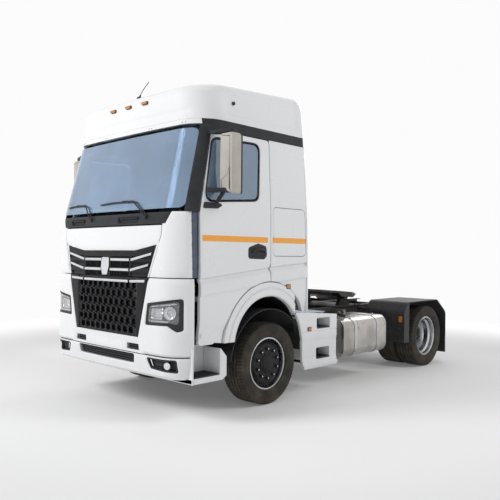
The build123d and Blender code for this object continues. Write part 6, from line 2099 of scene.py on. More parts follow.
# ---------------------------------------------------------------- mirrors
@dataclass
class Mirrors:
    """Door mirrors: split cover, dark shell, glasses, arms and the foot on the door."""

    inner: float = 1.313
    outer: float = 1.498
    front: float = -2.368
    back: float = -2.207
    low_inner: float = 2.372
    low_outer: float = 2.304
    high: float = 2.928
    form: CabForm = field(default_factory=CabForm)

    def build(self, shop: Workshop) -> None:
        """Fit both mirrors.

        Args:
            shop: The workshop.
        """
        cover, dark, glass = self._cover(), self._arms(), self._glass()
        for word, sign in SIDES:
            body = f"door_{word}"
            shop.fit(f"mirror_cover_{word}", cover.on(sign), "cab_white",
                     [MIRROR_SHELL, BLACK_PLASTIC], [f"mirror_{word}"], body)
            shop.fit(f"mirror_arms_{word}", dark.on(sign), "black_plastic", body=body)
            shop.fit(f"mirror_glass_{word}", glass.on(sign), "bright_strip", body=body)

    def _cover(self) -> Shape:
        """The housing: a light cover in front, a dark shell behind."""
        shape = Shape()
        whole = rounded([(self.inner, self.low_inner), (self.outer, self.low_outer),
                         (self.outer, self.high - 0.03), (self.outer - 0.03, self.high),
                         (self.inner + 0.008, self.high)], 0.03, 6)
        shape.drawn(whole, facing, (self.back - 0.022, self.front + 0.006), 0.04)
        raised = rounded([(self.inner + 0.02, self.low_inner + 0.075),
                          (self.outer - 0.062, self.low_inner + 0.13),
                          (self.outer - 0.036, self.low_inner + 0.20),
                          (self.outer - 0.032, self.high - 0.05),
                          (self.inner + 0.026, self.high - 0.03)], 0.016, 5)
        shape.drawn(raised, facing, (self.front + 0.02, self.front), 0.005)
        shape.look = 1
        shape.drawn(whole, facing, (self.back - 0.024, self.back), 0.006)
        return shape

    def _glass(self) -> Shape:
        """The main and wide-angle mirror glasses."""
        shape = Shape()
        for span in ((self.low_inner + 0.018, self.low_inner + 0.165),
                     (self.low_inner + 0.182, self.high - 0.022)):
            pane = rounded(oblong((self.inner + 0.016, self.outer - 0.016), span), 0.02, 5)
            shape.drawn(pane, facing, (self.back - 0.004, self.back + 0.001), 0.001)
        return shape

    def _arms(self) -> Shape:
        """The upper and lower arms and the foot on the door."""
        shape = Shape()
        for z, foot_y, tall in ((2.949, -2.375, 0.018), (2.352, -2.44, 0.019)):
            side_x = self.form.level(z)[1]
            reach = 1.44
            for shift in (-tall, tall):
                line = [(side_x - 0.012, foot_y + 0.02, z),
                        (side_x + 0.02, foot_y + 0.02, z + shift * 0.5),
                        ((side_x + reach) / 2, (foot_y - 2.29) / 2, z + shift * 0.35),
                        (reach, -2.285, z + shift * 0.4)]
                shape.tube(line, 0.014, 10)
            bar = rounded([(side_x - 0.02, foot_y - 0.02), (side_x + 0.03, foot_y - 0.03),
                           (reach + 0.02, -2.325), (reach + 0.02, -2.255), (1.33, -2.25),
                           (side_x + 0.01, foot_y + 0.06)], 0.02, 4)
            shape.drawn(bar, upward, (z - tall, z + tall), 0.008)
        foot = rounded([(-2.505, 2.165), (-2.31, 2.172), (-2.235, 2.212), (-2.30, 2.232),
                        (-2.49, 2.228)], 0.016, 4)
        shape.join(Panel(self.form.side(divided(foot, 0.02)), (), 0.03, pitch=0.012, proud=0.022,
                         round_edge=0.014).shape(self.form))
        shape.tube([(1.252, -2.36, 2.20), (1.30, -2.34, 2.27), (1.355, -2.315, 2.355)], 0.02, 12)
        return shape


# ---------------------------------------------------------------- wheels
@dataclass
class Wheels:
    """Tyres with their tread, rims with discs and nuts, and hubs."""

    front_x: float = 1.03
    rear_x: float = 0.9275
    dual: float = 0.1725
    front_disc: float = 0.112
    nut_circle: float = 0.1675
    nuts: int = 10
    lugs: int = 72
    # half of the tyre's section: along the axle, radius
    section: tuple[Point2, ...] = ((0.1128, 0.2845), (0.1128, 0.2985), (0.138, 0.306),
                                   (0.1455, 0.322), (0.1495, 0.334), (0.1475, 0.336),
                                   (0.1525, 0.349), (0.1555, 0.366), (0.1563, 0.378),
                                   (0.1548, 0.392), (0.1520, 0.394), (0.1532, 0.409),
                                   (0.1508, 0.422), (0.1475, 0.436), (0.1440, 0.448),
                                   (0.1380, 0.4575), (0.1300, 0.4625), (0.1210, 0.4640),
                                   (0.0835, 0.4645), (0.0815, 0.4500), (0.0705, 0.4500),
                                   (0.0685, 0.4648), (0.0330, 0.4650), (0.0310, 0.4500),
                                   (0.0200, 0.4500), (0.0180, 0.4650))

    def build(self, shop: Workshop) -> None:
        """Fit all the wheels.

        Args:
            shop: The workshop.
        """
        front_tyre = self._tyre((self.front_x, FRONT_AXLE_Y, HUB_Z), 0.0)
        rear_tyres = self._tyre((self.rear_x + self.dual, REAR_AXLE_Y, HUB_Z), 1.3)
        rear_tyres.join(self._tyre((self.rear_x - self.dual, REAR_AXLE_Y, HUB_Z), 3.1))
        front_rim, rear_rims = self._front_rim(), self._rear_rims()
        for word, sign in SIDES:
            front, rear = f"front_wheel_{word}", f"rear_wheels_{word}"
            for name, tyre, node, body in (("front_tread", front_tyre, "front_tyre", front),
                                           ("rear_treads", rear_tyres, "rear_tyres", rear)):
                shop.fit(f"{name}_{word}", tyre.on(sign), "tyre_rubber", (), [f"{node}_{word}"],
                         body, crease=28.0)
            for name, rim, node, body in (("front_disc", front_rim, "front_rim", front),
                                          ("rear_discs", rear_rims, "rear_rims", rear)):
                shop.fit(f"{name}_{word}", rim.on(sign), "rim_steel", [RIM_STEEL, HUB_BLACK],
                         [f"{node}_{word}"], body)

    def _tyre(self, centre: Point3, turn: float) -> Shape:
        """One tyre with circumferential grooves and notched shoulders.

        Args:
            centre: Its middle.
            turn: Degrees that its lugs are turned by.

        Returns:
            The tyre.
        """
        profile = [*((-along, radius) for along, radius in self.section), *reversed(self.section)]
        inner = [(0.109, 0.292), (0.05, 0.300), (-0.05, 0.300), (-0.109, 0.292)]
        size = len(profile) + len(inner)
        count = self.lugs * 4
        points = []
        for step in range(count):
            angle = math.radians(turn) + 2 * math.pi * step / count
            notch, ring = step % 4 == 0, []
            for along, radius in profile:
                if notch and radius > 0.452 and abs(along) > 0.084:
                    radius -= 0.013 if abs(along) > 0.118 else 0.010
                elif notch and radius > 0.464 and 0.034 < abs(along) < 0.069:
                    radius -= 0.007
                elif notch and abs(along) < 0.019:
                    radius -= 0.006
                elif notch and 0.43 < radius <= 0.452:
                    along -= math.copysign(0.003, along)
                ring.append((along, radius))
            points += [(centre[0] + along, centre[1] + radius * math.cos(angle),
                        centre[2] + radius * math.sin(angle)) for along, radius in ring + inner]
        faces = []
        for step in range(count):
            here, there = step * size, ((step + 1) % count) * size
            for place in range(size):
                after = (place + 1) % size
                faces.append((here + place, there + place, there + after, here + after))
        shape = Shape()
        shape.add(points, [face[::-1] for face in faces])
        return shape

    def _barrel(self, shape: Shape, centre: Point3) -> None:
        """Add a rim's barrel with its rolled flanges.

        Args:
            shape: The shape that it is added to.
            centre: The rim's middle.
        """
        outer = [(-0.125, 0.290), (-0.124, 0.296), (-0.120, 0.298), (-0.115, 0.296),
                 (-0.1135, 0.284), (-0.060, 0.281), (-0.035, 0.262)]
        outer += [(-along, radius) for along, radius in reversed(outer)]
        inner = [(0.124, 0.281), (0.112, 0.275), (0.060, 0.272), (0.035, 0.253), (-0.035, 0.253),
                 (-0.060, 0.272), (-0.112, 0.275), (-0.124, 0.281)]
        shape.turn(outer + inner, centre, steps=96, ring=True)

    def _disc(self, shape: Shape, centre: Point3, face: float, foot: float, outward: float) -> None:
        """Add the dished disc.

        Args:
            shape: The shape that it is added to.
            centre: The rim's middle.
            face: Where the disc's flat lies along the axle.
            foot: Where the disc meets the barrel.
            outward: The side that its face looks to.
        """
        shape.turn([(foot, 0.257), (foot + (face - foot) * 0.55, 0.245),
                    (face - outward * 0.010, 0.224), (face, 0.212), (face, 0.09),
                    (face - outward * 0.014, 0.09), (face - outward * 0.014, 0.203),
                    (face - outward * 0.024, 0.212), (foot + (face - foot) * 0.45, 0.232),
                    (foot - outward * 0.014, 0.250)], centre, steps=96, ring=True)

    @staticmethod
    def _circle(x: float, y: float, radius: float, count: int, turn: float = 0.0) -> list[Point3]:
        """Places on a circle about an axle."""
        angles = [2 * math.pi * (k + turn) / count for k in range(count)]
        return [(x, y + radius * math.cos(a), HUB_Z + radius * math.sin(a)) for a in angles]

    def _studs(self, shape: Shape, x: float, y: float, look: int = 0) -> None:
        """Add the wheel nuts on their washers.

        Args:
            shape: The shape that they are added to.
            x: The disc's face.
            y: The axle.
            look: Which finish the nuts have.
        """
        places = self._circle(x, y, self.nut_circle, self.nuts, 0.5)
        for place in places:
            shape.look = look
            shape.turn([(0.0, 0.0), (0.0, 0.0215), (0.004, 0.021), (0.006, 0.0)], place, steps=20)
            shape.look = 0
            shape.turn([(0.018, 0.0), (0.018, 0.0105), (0.026, 0.009), (0.03, 0.0)], place,
                       steps=12)
        shape.look = look
        shape.hexes([(px + 0.004, py, pz) for px, py, pz in places], ACROSS, 0.0185, 0.020)

    def _front_rim(self) -> Shape:
        """The front rim, its black disc and hub, and the brake disc behind."""
        centre = (self.front_x, FRONT_AXLE_Y, HUB_Z)
        face = self.front_disc
        shape = Shape()
        self._barrel(shape, centre)
        self._studs(shape, centre[0] + face, centre[1], 1)
        shape.look = 1
        self._disc(shape, centre, face, 0.03, 1.0)
        shape.turn([(0.0, 0.046), (0.0, 0.08), (face - 0.03, 0.08), (face - 0.03, 0.112),
                    (face + 0.004, 0.112), (face + 0.010, 0.106), (face + 0.012, 0.088),
                    (face + 0.020, 0.082), (face + 0.024, 0.07), (face + 0.024, 0.0)], centre,
                   steps=64)
        shape.hexes(self._circle(centre[0] + face + 0.011, centre[1], 0.098, 10), ACROSS, 0.0085,
                    0.007)
        shape.look = 0
        shape.turn([(-0.094, 0.046), (-0.094, 0.175), (-0.08, 0.175), (-0.08, 0.168),
                    (-0.068, 0.168), (-0.068, 0.175), (-0.054, 0.175), (-0.054, 0.08), (0.0, 0.08)],
                   centre, steps=72)
        return shape

    def _rear_rims(self) -> Shape:
        """The pair of rear rims, bolted disc to disc, with the driven hub."""
        shape = Shape()
        meet = (self.rear_x, REAR_AXLE_Y, HUB_Z)
        for _, side in SIDES:
            seat = (self.rear_x + side * self.dual, REAR_AXLE_Y, HUB_Z)
            self._barrel(shape, seat)
            self._disc(shape, seat, -side * self.dual + side * 0.0145, -side * 0.03, side)
        self._studs(shape, self.rear_x + 0.0145, REAR_AXLE_Y)
        shape.look = 1
        shape.turn([(-0.13, 0.046), (-0.13, 0.15), (-0.09, 0.15), (-0.09, 0.112), (0.016, 0.112),
                    (0.07, 0.104), (0.098, 0.104), (0.100, 0.096), (0.106, 0.080), (0.112, 0.074),
                    (0.112, 0.0)], meet, steps=64)
        shape.hexes(self._circle(meet[0] + 0.0985, meet[1], 0.088, 10), ACROSS, 0.0095, 0.009)
        return shape


# ---------------------------------------------------------------- flares, steps, boxes and tank
@dataclass
class Flanks:
    """What lies along the truck's sides below the cab."""

    box_start: float = -0.80
    box_end: float = -0.17
    skirt: float = -0.905
    low: float = 0.325
    high: float = 0.955
    out: float = 1.225
    holds: tuple[Point2, ...] = ((0.43, 0.56), (0.80, 0.925))
    step_front: float = -2.632
    step_rear: float = -2.155
    form: CabForm = field(default_factory=CabForm)

    def build(self, shop: Workshop) -> None:
        """Fit the pieces of both sides.

        Args:
            shop: The workshop.
        """
        self._boxes(shop)
        self._steps(shop)
        self._markers(shop)
        self._wells(shop)
        self._tank(shop)

    @staticmethod
    def _treads(shape: Shape, low: Point3, high: Point3, count: int) -> None:
        """Add a tread plate with raised bars.

        Args:
            shape: The shape that it is added to.
            low: Lowest corner.
            high: Highest corner of the plate.
            count: Number of bars.
        """
        shape.block(low, high, 0.004)
        pitch = (high[1] - low[1]) / count
        for k in range(count):
            y = low[1] + pitch * (k + 0.5)
            shape.block((low[0] + 0.012, y - 0.005, high[2] - 0.002),
                        (high[0] - 0.012, y + 0.005, high[2] + 0.005), 0.002)

    def _boxes(self, shop: Workshop) -> None:
        """Fit the step boxes: white skirt with a lip, footholds and dark treads."""
        white, dark = Shape(), Shape()
        foot = (self.box_start + 0.21, self.box_start + 0.48)
        outline = [(self.skirt + 0.05, self.low), (self.box_end, self.low),
                   (self.box_end, self.high), (self.skirt - 0.10, self.high + 0.068),
                   (self.skirt - 0.02, 0.88), (self.skirt + 0.03, 0.70)]
        holes = [rounded(oblong(foot, span), 0.022, 5) for span in self.holds]
        loops = [divided(rounded(outline, 0.02, 4), 0.05), *[divided(hole, 0.03) for hole in holes]]
        flat = CabForm(levels=((-9.0, 0.0, self.out, 30.0), (9.0, 0.0, self.out, 30.0)), bow=0.0)
        shift = flat.along_side(1.0, 0.0) - 1.0

        def pressed(z: float, point: Vector) -> float:
            """Lip along the lower edge, a fold under the upper foothold and a shut line."""
            out = 0.018 * ease((0.378 - z) / 0.012)
            out -= 0.008 * ease((0.70 - z) / 0.05) * ease((z - 0.40) / 0.03)
            return out - 0.006 * ease((0.006 - abs(z - 0.765)) / 0.004)

        whole, *inner = [[(y + 10.0 + shift, z) for y, z in loop] for loop in loops]
        sheet = Panel(whole, inner, 0.03, pitch=0.016, round_edge=0.008, relief=pressed).shape(flat)
        for point in sheet.points:
            point.y -= 10.0
        white.join(sheet)
        start, end, out = self.box_start, self.box_end - 0.002, self.out
        white.block((0.50, start, 0.385), (out - 0.20, end, 0.93), 0.02)
        for low, high in ((0.385, 0.43), (0.56, 0.80)):
            white.block((out - 0.21, start, low), (out - 0.028, end, high), 0.006)
        for first, last in ((start, foot[0]), (foot[1], end)):
            white.block((out - 0.21, first, 0.39), (out - 0.028, last, 0.925), 0.006)
        for low, high in self.holds:
            dark.block((out - 0.20, foot[0] + 0.001, low + 0.001),
                       (out - 0.192, foot[1] - 0.001, high - 0.001))
            self._treads(dark, (out - 0.19, foot[0] + 0.004, low - 0.004),
                         (out - 0.004, foot[1] - 0.004, low + 0.012), 9)
        dark.block((RAIL_OUT, self.box_end - 0.22, 0.69), (0.505, self.box_end - 0.06, 0.90), 0.01)
        shop.fit("step_boxes", white.both(), "cab_white", [PLAIN_PAINT], ["side_boxes"])
        shop.fit("step_box_treads", dark.both(), "black_plastic")

    def _steps(self, shop: Workshop) -> None:
        """Fit the entry steps with their dark treads and the fins ahead of the wheels."""
        white, dark = Shape(), Shape()
        front, rear, face = self.step_front, self.step_rear, 1.238
        fin = rounded([(rear - 0.098, 0.402), (rear - 0.06, 0.402), (rear, 0.44), (rear, 0.64),
                       (rear - 0.098, 0.748)], 0.014, 4)
        white.drawn(fin, sideways, (0.60, face), 0.008)
        nose = rounded(oblong((front, front + 0.018), (0.402, 0.758)), 0.006, 3)
        white.drawn(nose, sideways, (0.60, face), 0.004)
        white.block((0.60, front, 0.402), (face, rear - 0.09, 0.462), 0.01)
        white.block((0.60, front, 0.45), (0.99, rear - 0.10, 0.758), 0.01)
        self._treads(dark, (0.992, front + 0.02, 0.460), (face - 0.006, rear - 0.10, 0.472), 11)
        dark.block((RAIL_OUT, front + 0.06, 0.68), (0.60, front + 0.18, 0.74), 0.008)
        shop.fit("entry_step_skins", white.both(), "cab_white", [PLAIN_PAINT], ["entry_steps"])
        shop.fit("entry_step_treads", dark.both(), "black_plastic")

    def _markers(self, shop: Workshop) -> None:
        """Fit the amber side lamps with their dark frames, and one over each flare."""
        lens, dark = Shape(), Shape()
        for y, z, wide, tall, base, top, crest in (
            (-0.745, 0.805, 0.035, 0.025, self.out, self.out + 0.007, self.out + 0.013),
            (-1.17, 1.335, 0.04, 0.027, 1.2225, 1.2475, 1.2495),
        ):
            frame = rounded(oblong((y - wide, y + wide), (z - tall, z + tall)), 0.008, 4)
            dark.drawn(frame, sideways, (base, top), 0.002)
            wide, tall = wide - 0.006, tall - 0.006
            inner = rounded(oblong((y - wide, y + wide), (z - tall, z + tall)), 0.006, 4)
            lens.drawn(inner, sideways, (base, crest), 0.003)
        lens.drawn(rounded(oblong((1.163, 1.217), (0.722, 0.808)), 0.012, 4), facing, (1.48, 1.465),
                   0.004)
        shop.fit("side_lamp_lenses", lens.both(), "lamp_amber", replaces=["marker_lamps"])
        shop.fit("side_lamp_frames", dark.both(), "black_plastic")

    def _wells(self, shop: Workshop) -> None:
        """Fit the dark wheel wells between the flares and the cab's floor."""
        well = Shape()
        for profile in ([(1.186, 0.549), (1.160, 0.575), (0.62, 0.600), (0.62, 0.592),
                         (1.155, 0.567), (1.178, 0.545)],
                        [(0.62, 0.600), (0.612, 0.600), (0.612, 0.40), (0.62, 0.40)]):
            well.turn(profile, (0.0, ARCH_Y, ARCH_Z), steps=120, ring=True, span=(8.0, 172.0))
        shop.fit("wheel_wells", well.both(), "black_plastic")

    def _tank(self, shop: Workshop) -> None:
        """Fit the tank's weld beads, strap bolts and filler cap."""
        metal, cap = Shape(), Shape()
        start, end = 0.015, 1.055
        middle_x, middle_z, half_x, half_z, corner = 0.86, 0.605, 0.34, 0.255, 0.12
        wide, tall = half_x - corner, half_z - corner
        ring = []
        for index, (sx, sz) in enumerate(((1, 1), (-1, 1), (-1, -1), (1, -1))):
            for k in range(9):
                angle = math.radians(90 * index + 90 * k / 8)
                ring.append((middle_x + sx * wide + corner * math.cos(angle),
                             middle_z + sz * tall + corner * math.sin(angle)))
        for y in (start + 0.03, end - 0.03):
            line = [(x, y, z) for x, z in ring]
            metal.tube([*line, line[0]], 0.0035, 6)
        for y in (start + 0.25 + 0.028, start + 0.79 + 0.028):
            side, bolt, top = middle_x + half_x + 0.004, middle_x + half_x - 0.09, middle_z + half_z
            metal.rod((bolt, y, top + 0.002), (bolt, y, top + 0.034), 0.009, 12)
            metal.rod((side, y, middle_z - 0.19), (side, y, middle_z + 0.15), 0.0055, 10)
            metal.hexes([(bolt, y, top + 0.014)], UPWARD, 0.015, 0.012)
        cap.turn([(-0.01, 0.0), (-0.01, 0.056), (0.004, 0.058), (0.028, 0.056), (0.034, 0.05),
                  (0.036, 0.02), (0.044, 0.016), (0.046, 0.0)], (1.07, 0.145, 0.905),
                 (0.35, 0.0, 0.94), 32)
        cap.block((1.045, 0.139, 0.938), (1.105, 0.151, 0.958), 0.003)
        cap.tube([(1.02, 0.19, 0.865), (0.99, 0.205, 0.868), (0.985, 0.17, 0.872),
                  (1.03, 0.155, 0.895)], 0.003, 6)
        shop.fit("tank_bands", metal, "strap_steel")
        shop.fit("tank_cap", cap, "black_plastic")


# ---------------------------------------------------------------- chassis behind the cab
@dataclass
class Rear:
    """Deck, housing, tail lamps and frame bolts."""

    rail_top: float = 0.93
    rail_low: float = 0.66
    front: float = -2.51
    back: float = 2.77

    def build(self, shop: Workshop) -> None:
        """Fit the pieces behind the cab.

        Args:
            shop: The workshop.
        """
        self._deck(shop)
        self._lamps(shop)
        self._bolts(shop)

    def _deck(self, shop: Workshop) -> None:
        """Fit the treaded deck on its feet and the dark housing."""
        deck, dark = Shape(), Shape()
        start, end, top = -0.74, -0.22, 0.982
        deck.block((-0.68, start, 0.970), (1.07, end, top), 0.003)
        for row in range(24):
            for column in range(58):
                x, y = -0.66 + 0.0302 * column, start + 0.018 + 0.0212 * row
                slant = 0.007 if (row + column) % 2 else -0.007
                if abs(x) < 0.40 and y > -0.69:
                    continue
                foot = top - 0.001
                deck.add([(x - 0.007, y - slant, foot), (x, y, foot), (x + 0.007, y + slant, foot),
                          (x + 0.002, y - 0.003, foot), (x, y, top + 0.0025)],
                         [(0, 3, 4), (3, 2, 4), (2, 1, 4), (1, 0, 4)])
        for _, sign in SIDES:
            x = sign * (RAIL_OUT - 0.04)
            dark.block((x - 0.03, start + 0.04, self.rail_top), (x + 0.03, end - 0.04, 0.971),
                       0.006)
        dark.block((-0.40, start + 0.06, 0.980), (0.40, start + 0.90, 1.105), 0.02)
        for k in range(9):
            y = start + 0.12 + 0.09 * k
            dark.block((-0.37, y, 1.098), (0.37, y + 0.03, 1.1045), 0.003)
        shop.fit("deck_treads", deck, "chassis_black", [DECK_METAL, CHASSIS_BLACK], ["catwalk"])
        shop.fit("deck_housing", dark, "chassis_black")

    def _lamps(self, shop: Workshop) -> None:
        """Fit the tail lamps with their chambers and dark bodies."""
        lens, body = Shape(), Shape()
        body.block((0.80, 2.81, 0.64), (1.19, 2.8285, 0.76), 0.008)
        lens.block((0.81, 2.826, 0.65), (0.925, 2.8385, 0.75), 0.006)
        lens.block((1.065, 2.826, 0.65), (1.18, 2.8385, 0.75), 0.006)
        lens.look = 1
        lens.block((0.93, 2.826, 0.65), (1.06, 2.8385, 0.697), 0.006)
        lens.look = 2
        lens.block((0.93, 2.826, 0.703), (1.06, 2.8385, 0.75), 0.006)
        shop.fit("tail_lamp_lenses", lens.both(), "lamp_red", [LAMP_RED, LAMP_CLEAR, LAMP_AMBER],
                 ["tail_lamps"])
        shop.fit("tail_lamp_bodies", body.both(), "black_plastic")

    def _bolts(self, shop: Workshop) -> None:
        """Fit the rows of bolts on the rails and the plate's mounting bolts."""
        shape = Shape()
        span = [self.front + 0.09 + 0.12 * k for k in range(43)]
        for _, sign in SIDES:
            low = [(sign * RAIL_OUT, y, self.rail_low + 0.05) for y in span]
            high = [(sign * RAIL_OUT, y + 0.03, self.rail_top - 0.05) for y in span]
            shape.hexes([*low, *high], (sign, 0.0, 0.0), 0.0125, 0.011)
        deck = [(sign * 0.452, REAR_AXLE_Y - 1.0 + y, self.rail_top + 0.014) for _, sign in SIDES
                for y in (-0.29, -0.2, 0.2, 0.29)]
        shape.hexes(deck, UPWARD, 0.015, 0.013)
        for _, sign in SIDES:
            for y in (-1.47, -1.37):
                for x in (0.372, 0.448):
                    shape.rod((sign * x, y, 0.28), (sign * x, y, 0.50), 0.009, 10)
                    shape.hexes([(sign * x, y, 0.495)], UPWARD, 0.016, 0.016)
        shop.fit("frame_bolts", shape, "chassis_black")


# ---------------------------------------------------------------- cab interior
@dataclass
class Interior:
    """Seats and bunk with their cushions, and the dashboard's dials and vents."""

    seat_x: float = 0.56
    seat_y: float = -1.80

    def build(self, shop: Workshop) -> None:
        """Fit the interior.

        Args:
            shop: The workshop.
        """
        self._seats(shop)
        self._bunk(shop)
        self._dials(shop)

    @staticmethod
    def _cushion(half: Point3, seams: Sequence[float], crown: float = 0.022) -> Shape:
        """A crowned cushion about the origin, its top up.

        Args:
            half: Half its width, length and height.
            seams: Places across its width where a seam is sewn along it.
            crown: How far its top swells.

        Returns:
            The cushion.
        """
        shape = Shape()
        cells, waist, tuck = 28, 0.04, 0.05 * 0.01
        stride = cells + 1
        points, faces = [], []
        for face in (1.0, -1.0):
            for row in range(stride):
                for column in range(stride):
                    u, v = 2.0 * column / cells - 1.0, 2.0 * row / cells - 1.0
                    edge = max(abs(u), abs(v))
                    x = half[0] * u * (1.0 - waist * (1.0 - v * v) * abs(u) ** 6)
                    if abs(u) > 0.99:
                        x -= math.copysign(tuck * (1.0 - abs(v) ** 4), u)
                    y = half[1] * v * (1.0 - waist * (1.0 - u * u) * abs(v) ** 6)
                    rim = math.sqrt(max(0.0, 1.0 - max(0.0, (edge - 0.86) / 0.14) ** 2))
                    z = face * half[2] * (0.35 + 0.65 * rim)
                    if face > 0:
                        z += crown * (1.0 - u * u) * (1.0 - v * v)
                        z -= sum(0.011 * math.exp(-((half[0] * u - seam) / 0.007) ** 2)
                                 for seam in seams) * rim
                        z -= 0.008 * math.exp(-((edge - 0.80) / 0.025) ** 2)
                    points.append((x, y, z))
        size = stride * stride
        for row in range(cells):
            for column in range(cells):
                a = row * stride + column
                quad = (a, a + 1, a + stride + 1, a + stride)
                faces.append(quad)
                faces.append(tuple(size + index for index in quad[::-1]))
        border = [*range(cells), *range(cells, size, stride), *range(size - 2, size - stride, -1),
                  *range(size - stride, 0, -stride)]
        for a, b in zip(border, border[1:] + border[:1]):
            faces.append((b, a, size + a, size + b))
        shape.add(points, faces)
        return shape

    @staticmethod
    def _set(shape: Shape, place: Point3, tilt: float = 0.0) -> Shape:
        """Tilt a shape about X and move it.

        Args:
            shape: The shape.
            place: Where its middle goes.
            tilt: Degrees about X.

        Returns:
            The shape.
        """
        turn = Matrix.Rotation(math.radians(tilt), 3, "X")
        shape.points = [turn @ point + Vector(place) for point in shape.points]
        return shape

    def _seats(self, shop: Workshop) -> None:
        """Fit the seats: pedestal, base cushion, back cushion and headrest."""
        frame, soft = Shape(), []
        for word, sign in SIDES:
            x, y = sign * self.seat_x, self.seat_y
            frame.block((x - 0.20, y - 0.18, 1.275), (x + 0.20, y + 0.22, 1.33), 0.012)
            for k in range(5):
                z = 1.335 + 0.04 * k
                inset = 0.02 if k % 2 else 0.0
                frame.block((x - 0.18 + inset, y - 0.16 + inset, z),
                            (x + 0.18 - inset, y + 0.20 - inset, z + 0.036), 0.012)
            frame.block((x - 0.24, y - 0.25, 1.535), (x + 0.24, y + 0.25, 1.565), 0.01)
            frame.block((x - 0.20, y + 0.225, 1.565), (x + 0.20, y + 0.255, 1.72), 0.01)
            for name, half, seams, crown, back, z, tilt in (
                ("base", (0.255, 0.262, 0.066), (-0.15, 0.15), 0.010, 0.0, 1.63, 0.0),
                ("back", (0.235, 0.30, 0.056), (-0.14, 0.14), 0.016, 0.325, 2.02, 81.5),
                ("head", (0.14, 0.075, 0.042), (), 0.010, 0.385, 2.378, 81.5),
            ):
                cushion = self._set(self._cushion(half, seams, crown), (x, y + back, z), tilt)
                soft.append((f"seat_{name}_{word}", cushion))
        shop.fit("seat_frames", frame, "seat_fabric", [TRIM_GREY], ["seats"])
        for name, shape in soft:
            item = shop.fit(name, shape, "seat_fabric", crease=60.0)

    def _bunk(self, shop: Workshop) -> None:
        """Fit the bunk: locker with its doors, and mattress."""
        locker = Shape()
        locker.block((-1.10, -1.21, 1.275), (1.10, -0.882, 1.64), 0.012)
        for x in (-0.74, 0.0, 0.74):
            locker.block((x - 0.34, -1.2125, 1.32), (x + 0.34, -1.205, 1.60), 0.006)
            locker.block((x - 0.05, -1.2145, 1.55), (x + 0.05, -1.205, 1.57), 0.003)
        shop.fit("bunk_locker", locker, "bunk_fabric", [TRIM_GREY], ["bunk"])
        mattress = self._set(self._cushion((1.09, 0.163, 0.064), (-0.55, 0.0, 0.55), 0.008),
                             (0.0, -1.046, 1.705))
        item = shop.fit("mattress", mattress, "bunk_fabric", crease=60.0)

    def _dials(self, shop: Workshop) -> None:
        """Fit the dashboard's hooded dials, screen and vents."""
        shape = Shape()
        shape.block((0.34, -2.44, 2.03), (0.72, -2.335, 2.11), 0.02)
        for x in (0.44, 0.62):
            shape.turn([(0.0, 0.0), (0.0, 0.055), (0.008, 0.055), (0.010, 0.048), (0.002, 0.045),
                        (0.002, 0.0)], (x, -2.332, 2.06), (0.0, 1.0, 0.15), 28)
        shape.block((-0.06, -2.38, 1.95), (0.26, -2.325, 2.07), 0.012)
        for x in (-0.95, -0.35, 0.95):
            for k in range(4):
                shape.block((x - 0.06, -2.36, 1.98 + 0.02 * k), (x + 0.06, -2.345, 1.99 + 0.02 * k),
                            0.003)
        shop.fit("dash_dials", shape, "trim_grey", [BLACK_PLASTIC])


# ---------------------------------------------------------------- floor, light and camera
@dataclass(frozen=True)
class FloorPaint(Coating):
    """The floor's pale paint, which turns into the backdrop's light with distance."""

    pale: Colour = (0.88, 0.88, 0.88)
    backdrop: float = 0.97
    near: float = 3.6
    far: float = 9.5

    def shader(self, w: Wiring, effects: Effects) -> bpy.types.Node:
        """Add the floor's shader.

        Args:
            w: The material's wiring.
            effects: The shared groups.

        Returns:
            The shader's node.
        """
        apart = w.add("VectorMath", operation="LENGTH")
        w.feed(apart.inputs[0], w.coordinates())
        away = w.ramp(apart.outputs["Value"], self.near, self.far)
        grain = w.group(effects.grain, Scale=3.0, Blotch=0.4)
        colour = w.mix(away, w.mix(grain.outputs["Mask"], self.colour, self.pale), (0.0, 0.0, 0.0))
        glow = w.ramp(away, 0.0, 1.0, 0.10, self.backdrop)
        return w.add("BsdfPrincipled", Base_Color=colour, Roughness=0.9, Specular_IOR_Level=0.0,
                     Emission_Color=(1.0, 1.0, 1.0, 1.0), Emission_Strength=glow)


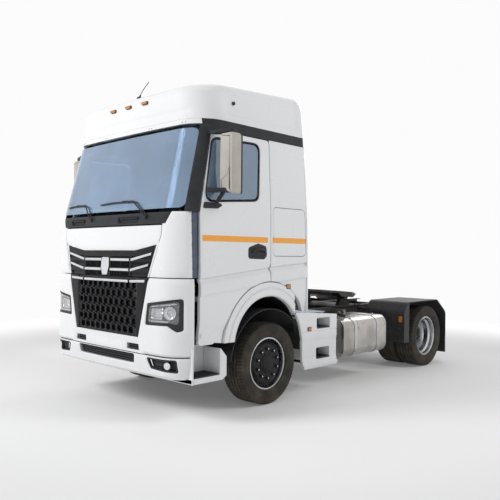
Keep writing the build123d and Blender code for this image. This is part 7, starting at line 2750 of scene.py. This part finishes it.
@dataclass
class Studio:
    """Pale floor, soft light and the camera."""

    floor_half: float = 60.0
    eye: Point3 = (5.777, -6.612, 1.705)
    yaw: float = 0.770
    pitch: float = -0.005
    roll: float = 0.008
    lens: float = 43.9
    shift: tuple[float, float] = (0.0148, 0.0148)
    ambient: float = 0.40
    paint: FloorPaint = FloorPaint("floor", (0.84, 0.84, 0.84))
    lamps: tuple[tuple[str, Point3, Point3, float, float], ...] = field(default_factory=lambda: (
        ("key", (-4.0, -11.5, 8.0), (0.0, -1.5, 1.6), 5.0, 900.0),
        ("side", (10.5, 3.5, 10.0), (0.6, 0.0, 1.3), 5.0, 420.0),
        ("rear", (-2.0, 11.0, 8.0), (0.0, 1.0, 1.0), 7.0, 260.0),
    ))

    def build(self, effects: Effects) -> None:
        """Set up the floor, the world, the lamps and the camera.

        Args:
            effects: The shared shader groups.
        """
        self._floor(effects)
        self._world()
        for lamp in self.lamps:
            self._lamp(*lamp)
        self._camera()
        bpy.context.scene.view_settings.view_transform = "Standard"

    def _floor(self, effects: Effects) -> None:
        """Lay the pale floor."""
        mesh = bpy.data.meshes.new("floor")
        reach = self.floor_half
        corners = [(x, y, 0.0) for x, y in oblong((-reach, reach), (-reach, reach))]
        mesh.from_pydata(corners, [], [(0, 1, 2, 3)])
        item = bpy.data.objects.new("floor", mesh)
        bpy.context.scene.collection.objects.link(item)
        made = self.paint.material(effects)
        made.cycles.emission_sampling = "NONE"
        mesh.materials.append(made)

    def _world(self) -> None:
        """Light the scene evenly and show a pale background."""
        world = bpy.data.worlds.new("studio")
        bpy.context.scene.world = world
        world.use_nodes = True
        w = Wiring(world.node_tree)
        path = w.add("LightPath")
        seen = w.math("MAXIMUM", path.outputs["Is Camera Ray"], path.outputs["Is Transmission Ray"])
        seen = w.math("MAXIMUM", seen, path.outputs["Is Glossy Ray"])
        both = w.add("MixShader", Fac=seen)
        for place, strength in ((1, self.ambient), (2, self.paint.backdrop)):
            light = w.add("Background", Color=(1.0, 1.0, 1.0, 1.0), Strength=strength)
            w.feed(both.inputs[place], light.outputs[0])
        w.add("OutputWorld", Surface=both.outputs[0])

    def _lamp(self, name: str, place: Point3, target: Point3, size: float, power: float) -> None:
        """Hang a soft lamp.

        Args:
            name: Its name.
            place: Where it hangs.
            target: What it faces.
            size: Width of its face.
            power: Watts.
        """
        light = bpy.data.lights.new(name, "AREA")
        light.shape = "DISK"
        light.size = size
        light.energy = power
        item = bpy.data.objects.new(name, light)
        item.location = place
        item.rotation_euler = (Vector(target) - Vector(place)).to_track_quat("-Z", "Y").to_euler()
        item.visible_glossy = name == "rear"
        bpy.context.scene.collection.objects.link(item)

    def _camera(self) -> None:
        """Stand the camera at the front left, at eye height."""
        camera = bpy.data.cameras.new("camera")
        camera.lens = self.lens
        camera.sensor_width = 36.0
        camera.sensor_fit = "HORIZONTAL"
        camera.shift_x, camera.shift_y = self.shift
        camera.clip_end = 300.0
        item = bpy.data.objects.new("camera", camera)
        item.location = self.eye
        level = math.cos(self.pitch)
        look = Vector((-math.sin(self.yaw) * level, math.cos(self.yaw) * level,
                       math.sin(self.pitch)))
        item.rotation_mode = "QUATERNION"
        turn = look.to_track_quat("-Z", "Y")
        item.rotation_quaternion = turn @ Matrix.Rotation(self.roll, 3, "Z").to_quaternion()
        bpy.context.scene.collection.objects.link(item)
        bpy.context.scene.camera = item


def main() -> None:
    """Build every piece, then the studio."""
    logging.basicConfig(level=logging.INFO, format="%(name)s: %(message)s")
    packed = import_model()
    effects = Effects()
    shop = Workshop(packed, effects)
    assemblies = (CabShell(), Roof(), Nose(), Front(), Mirrors(), Wheels(), Flanks(), Rear(),
                  Interior())
    for assembly in assemblies:
        assembly.build(shop)
    Studio().build(effects)


if __name__ == "__main__":
    main()
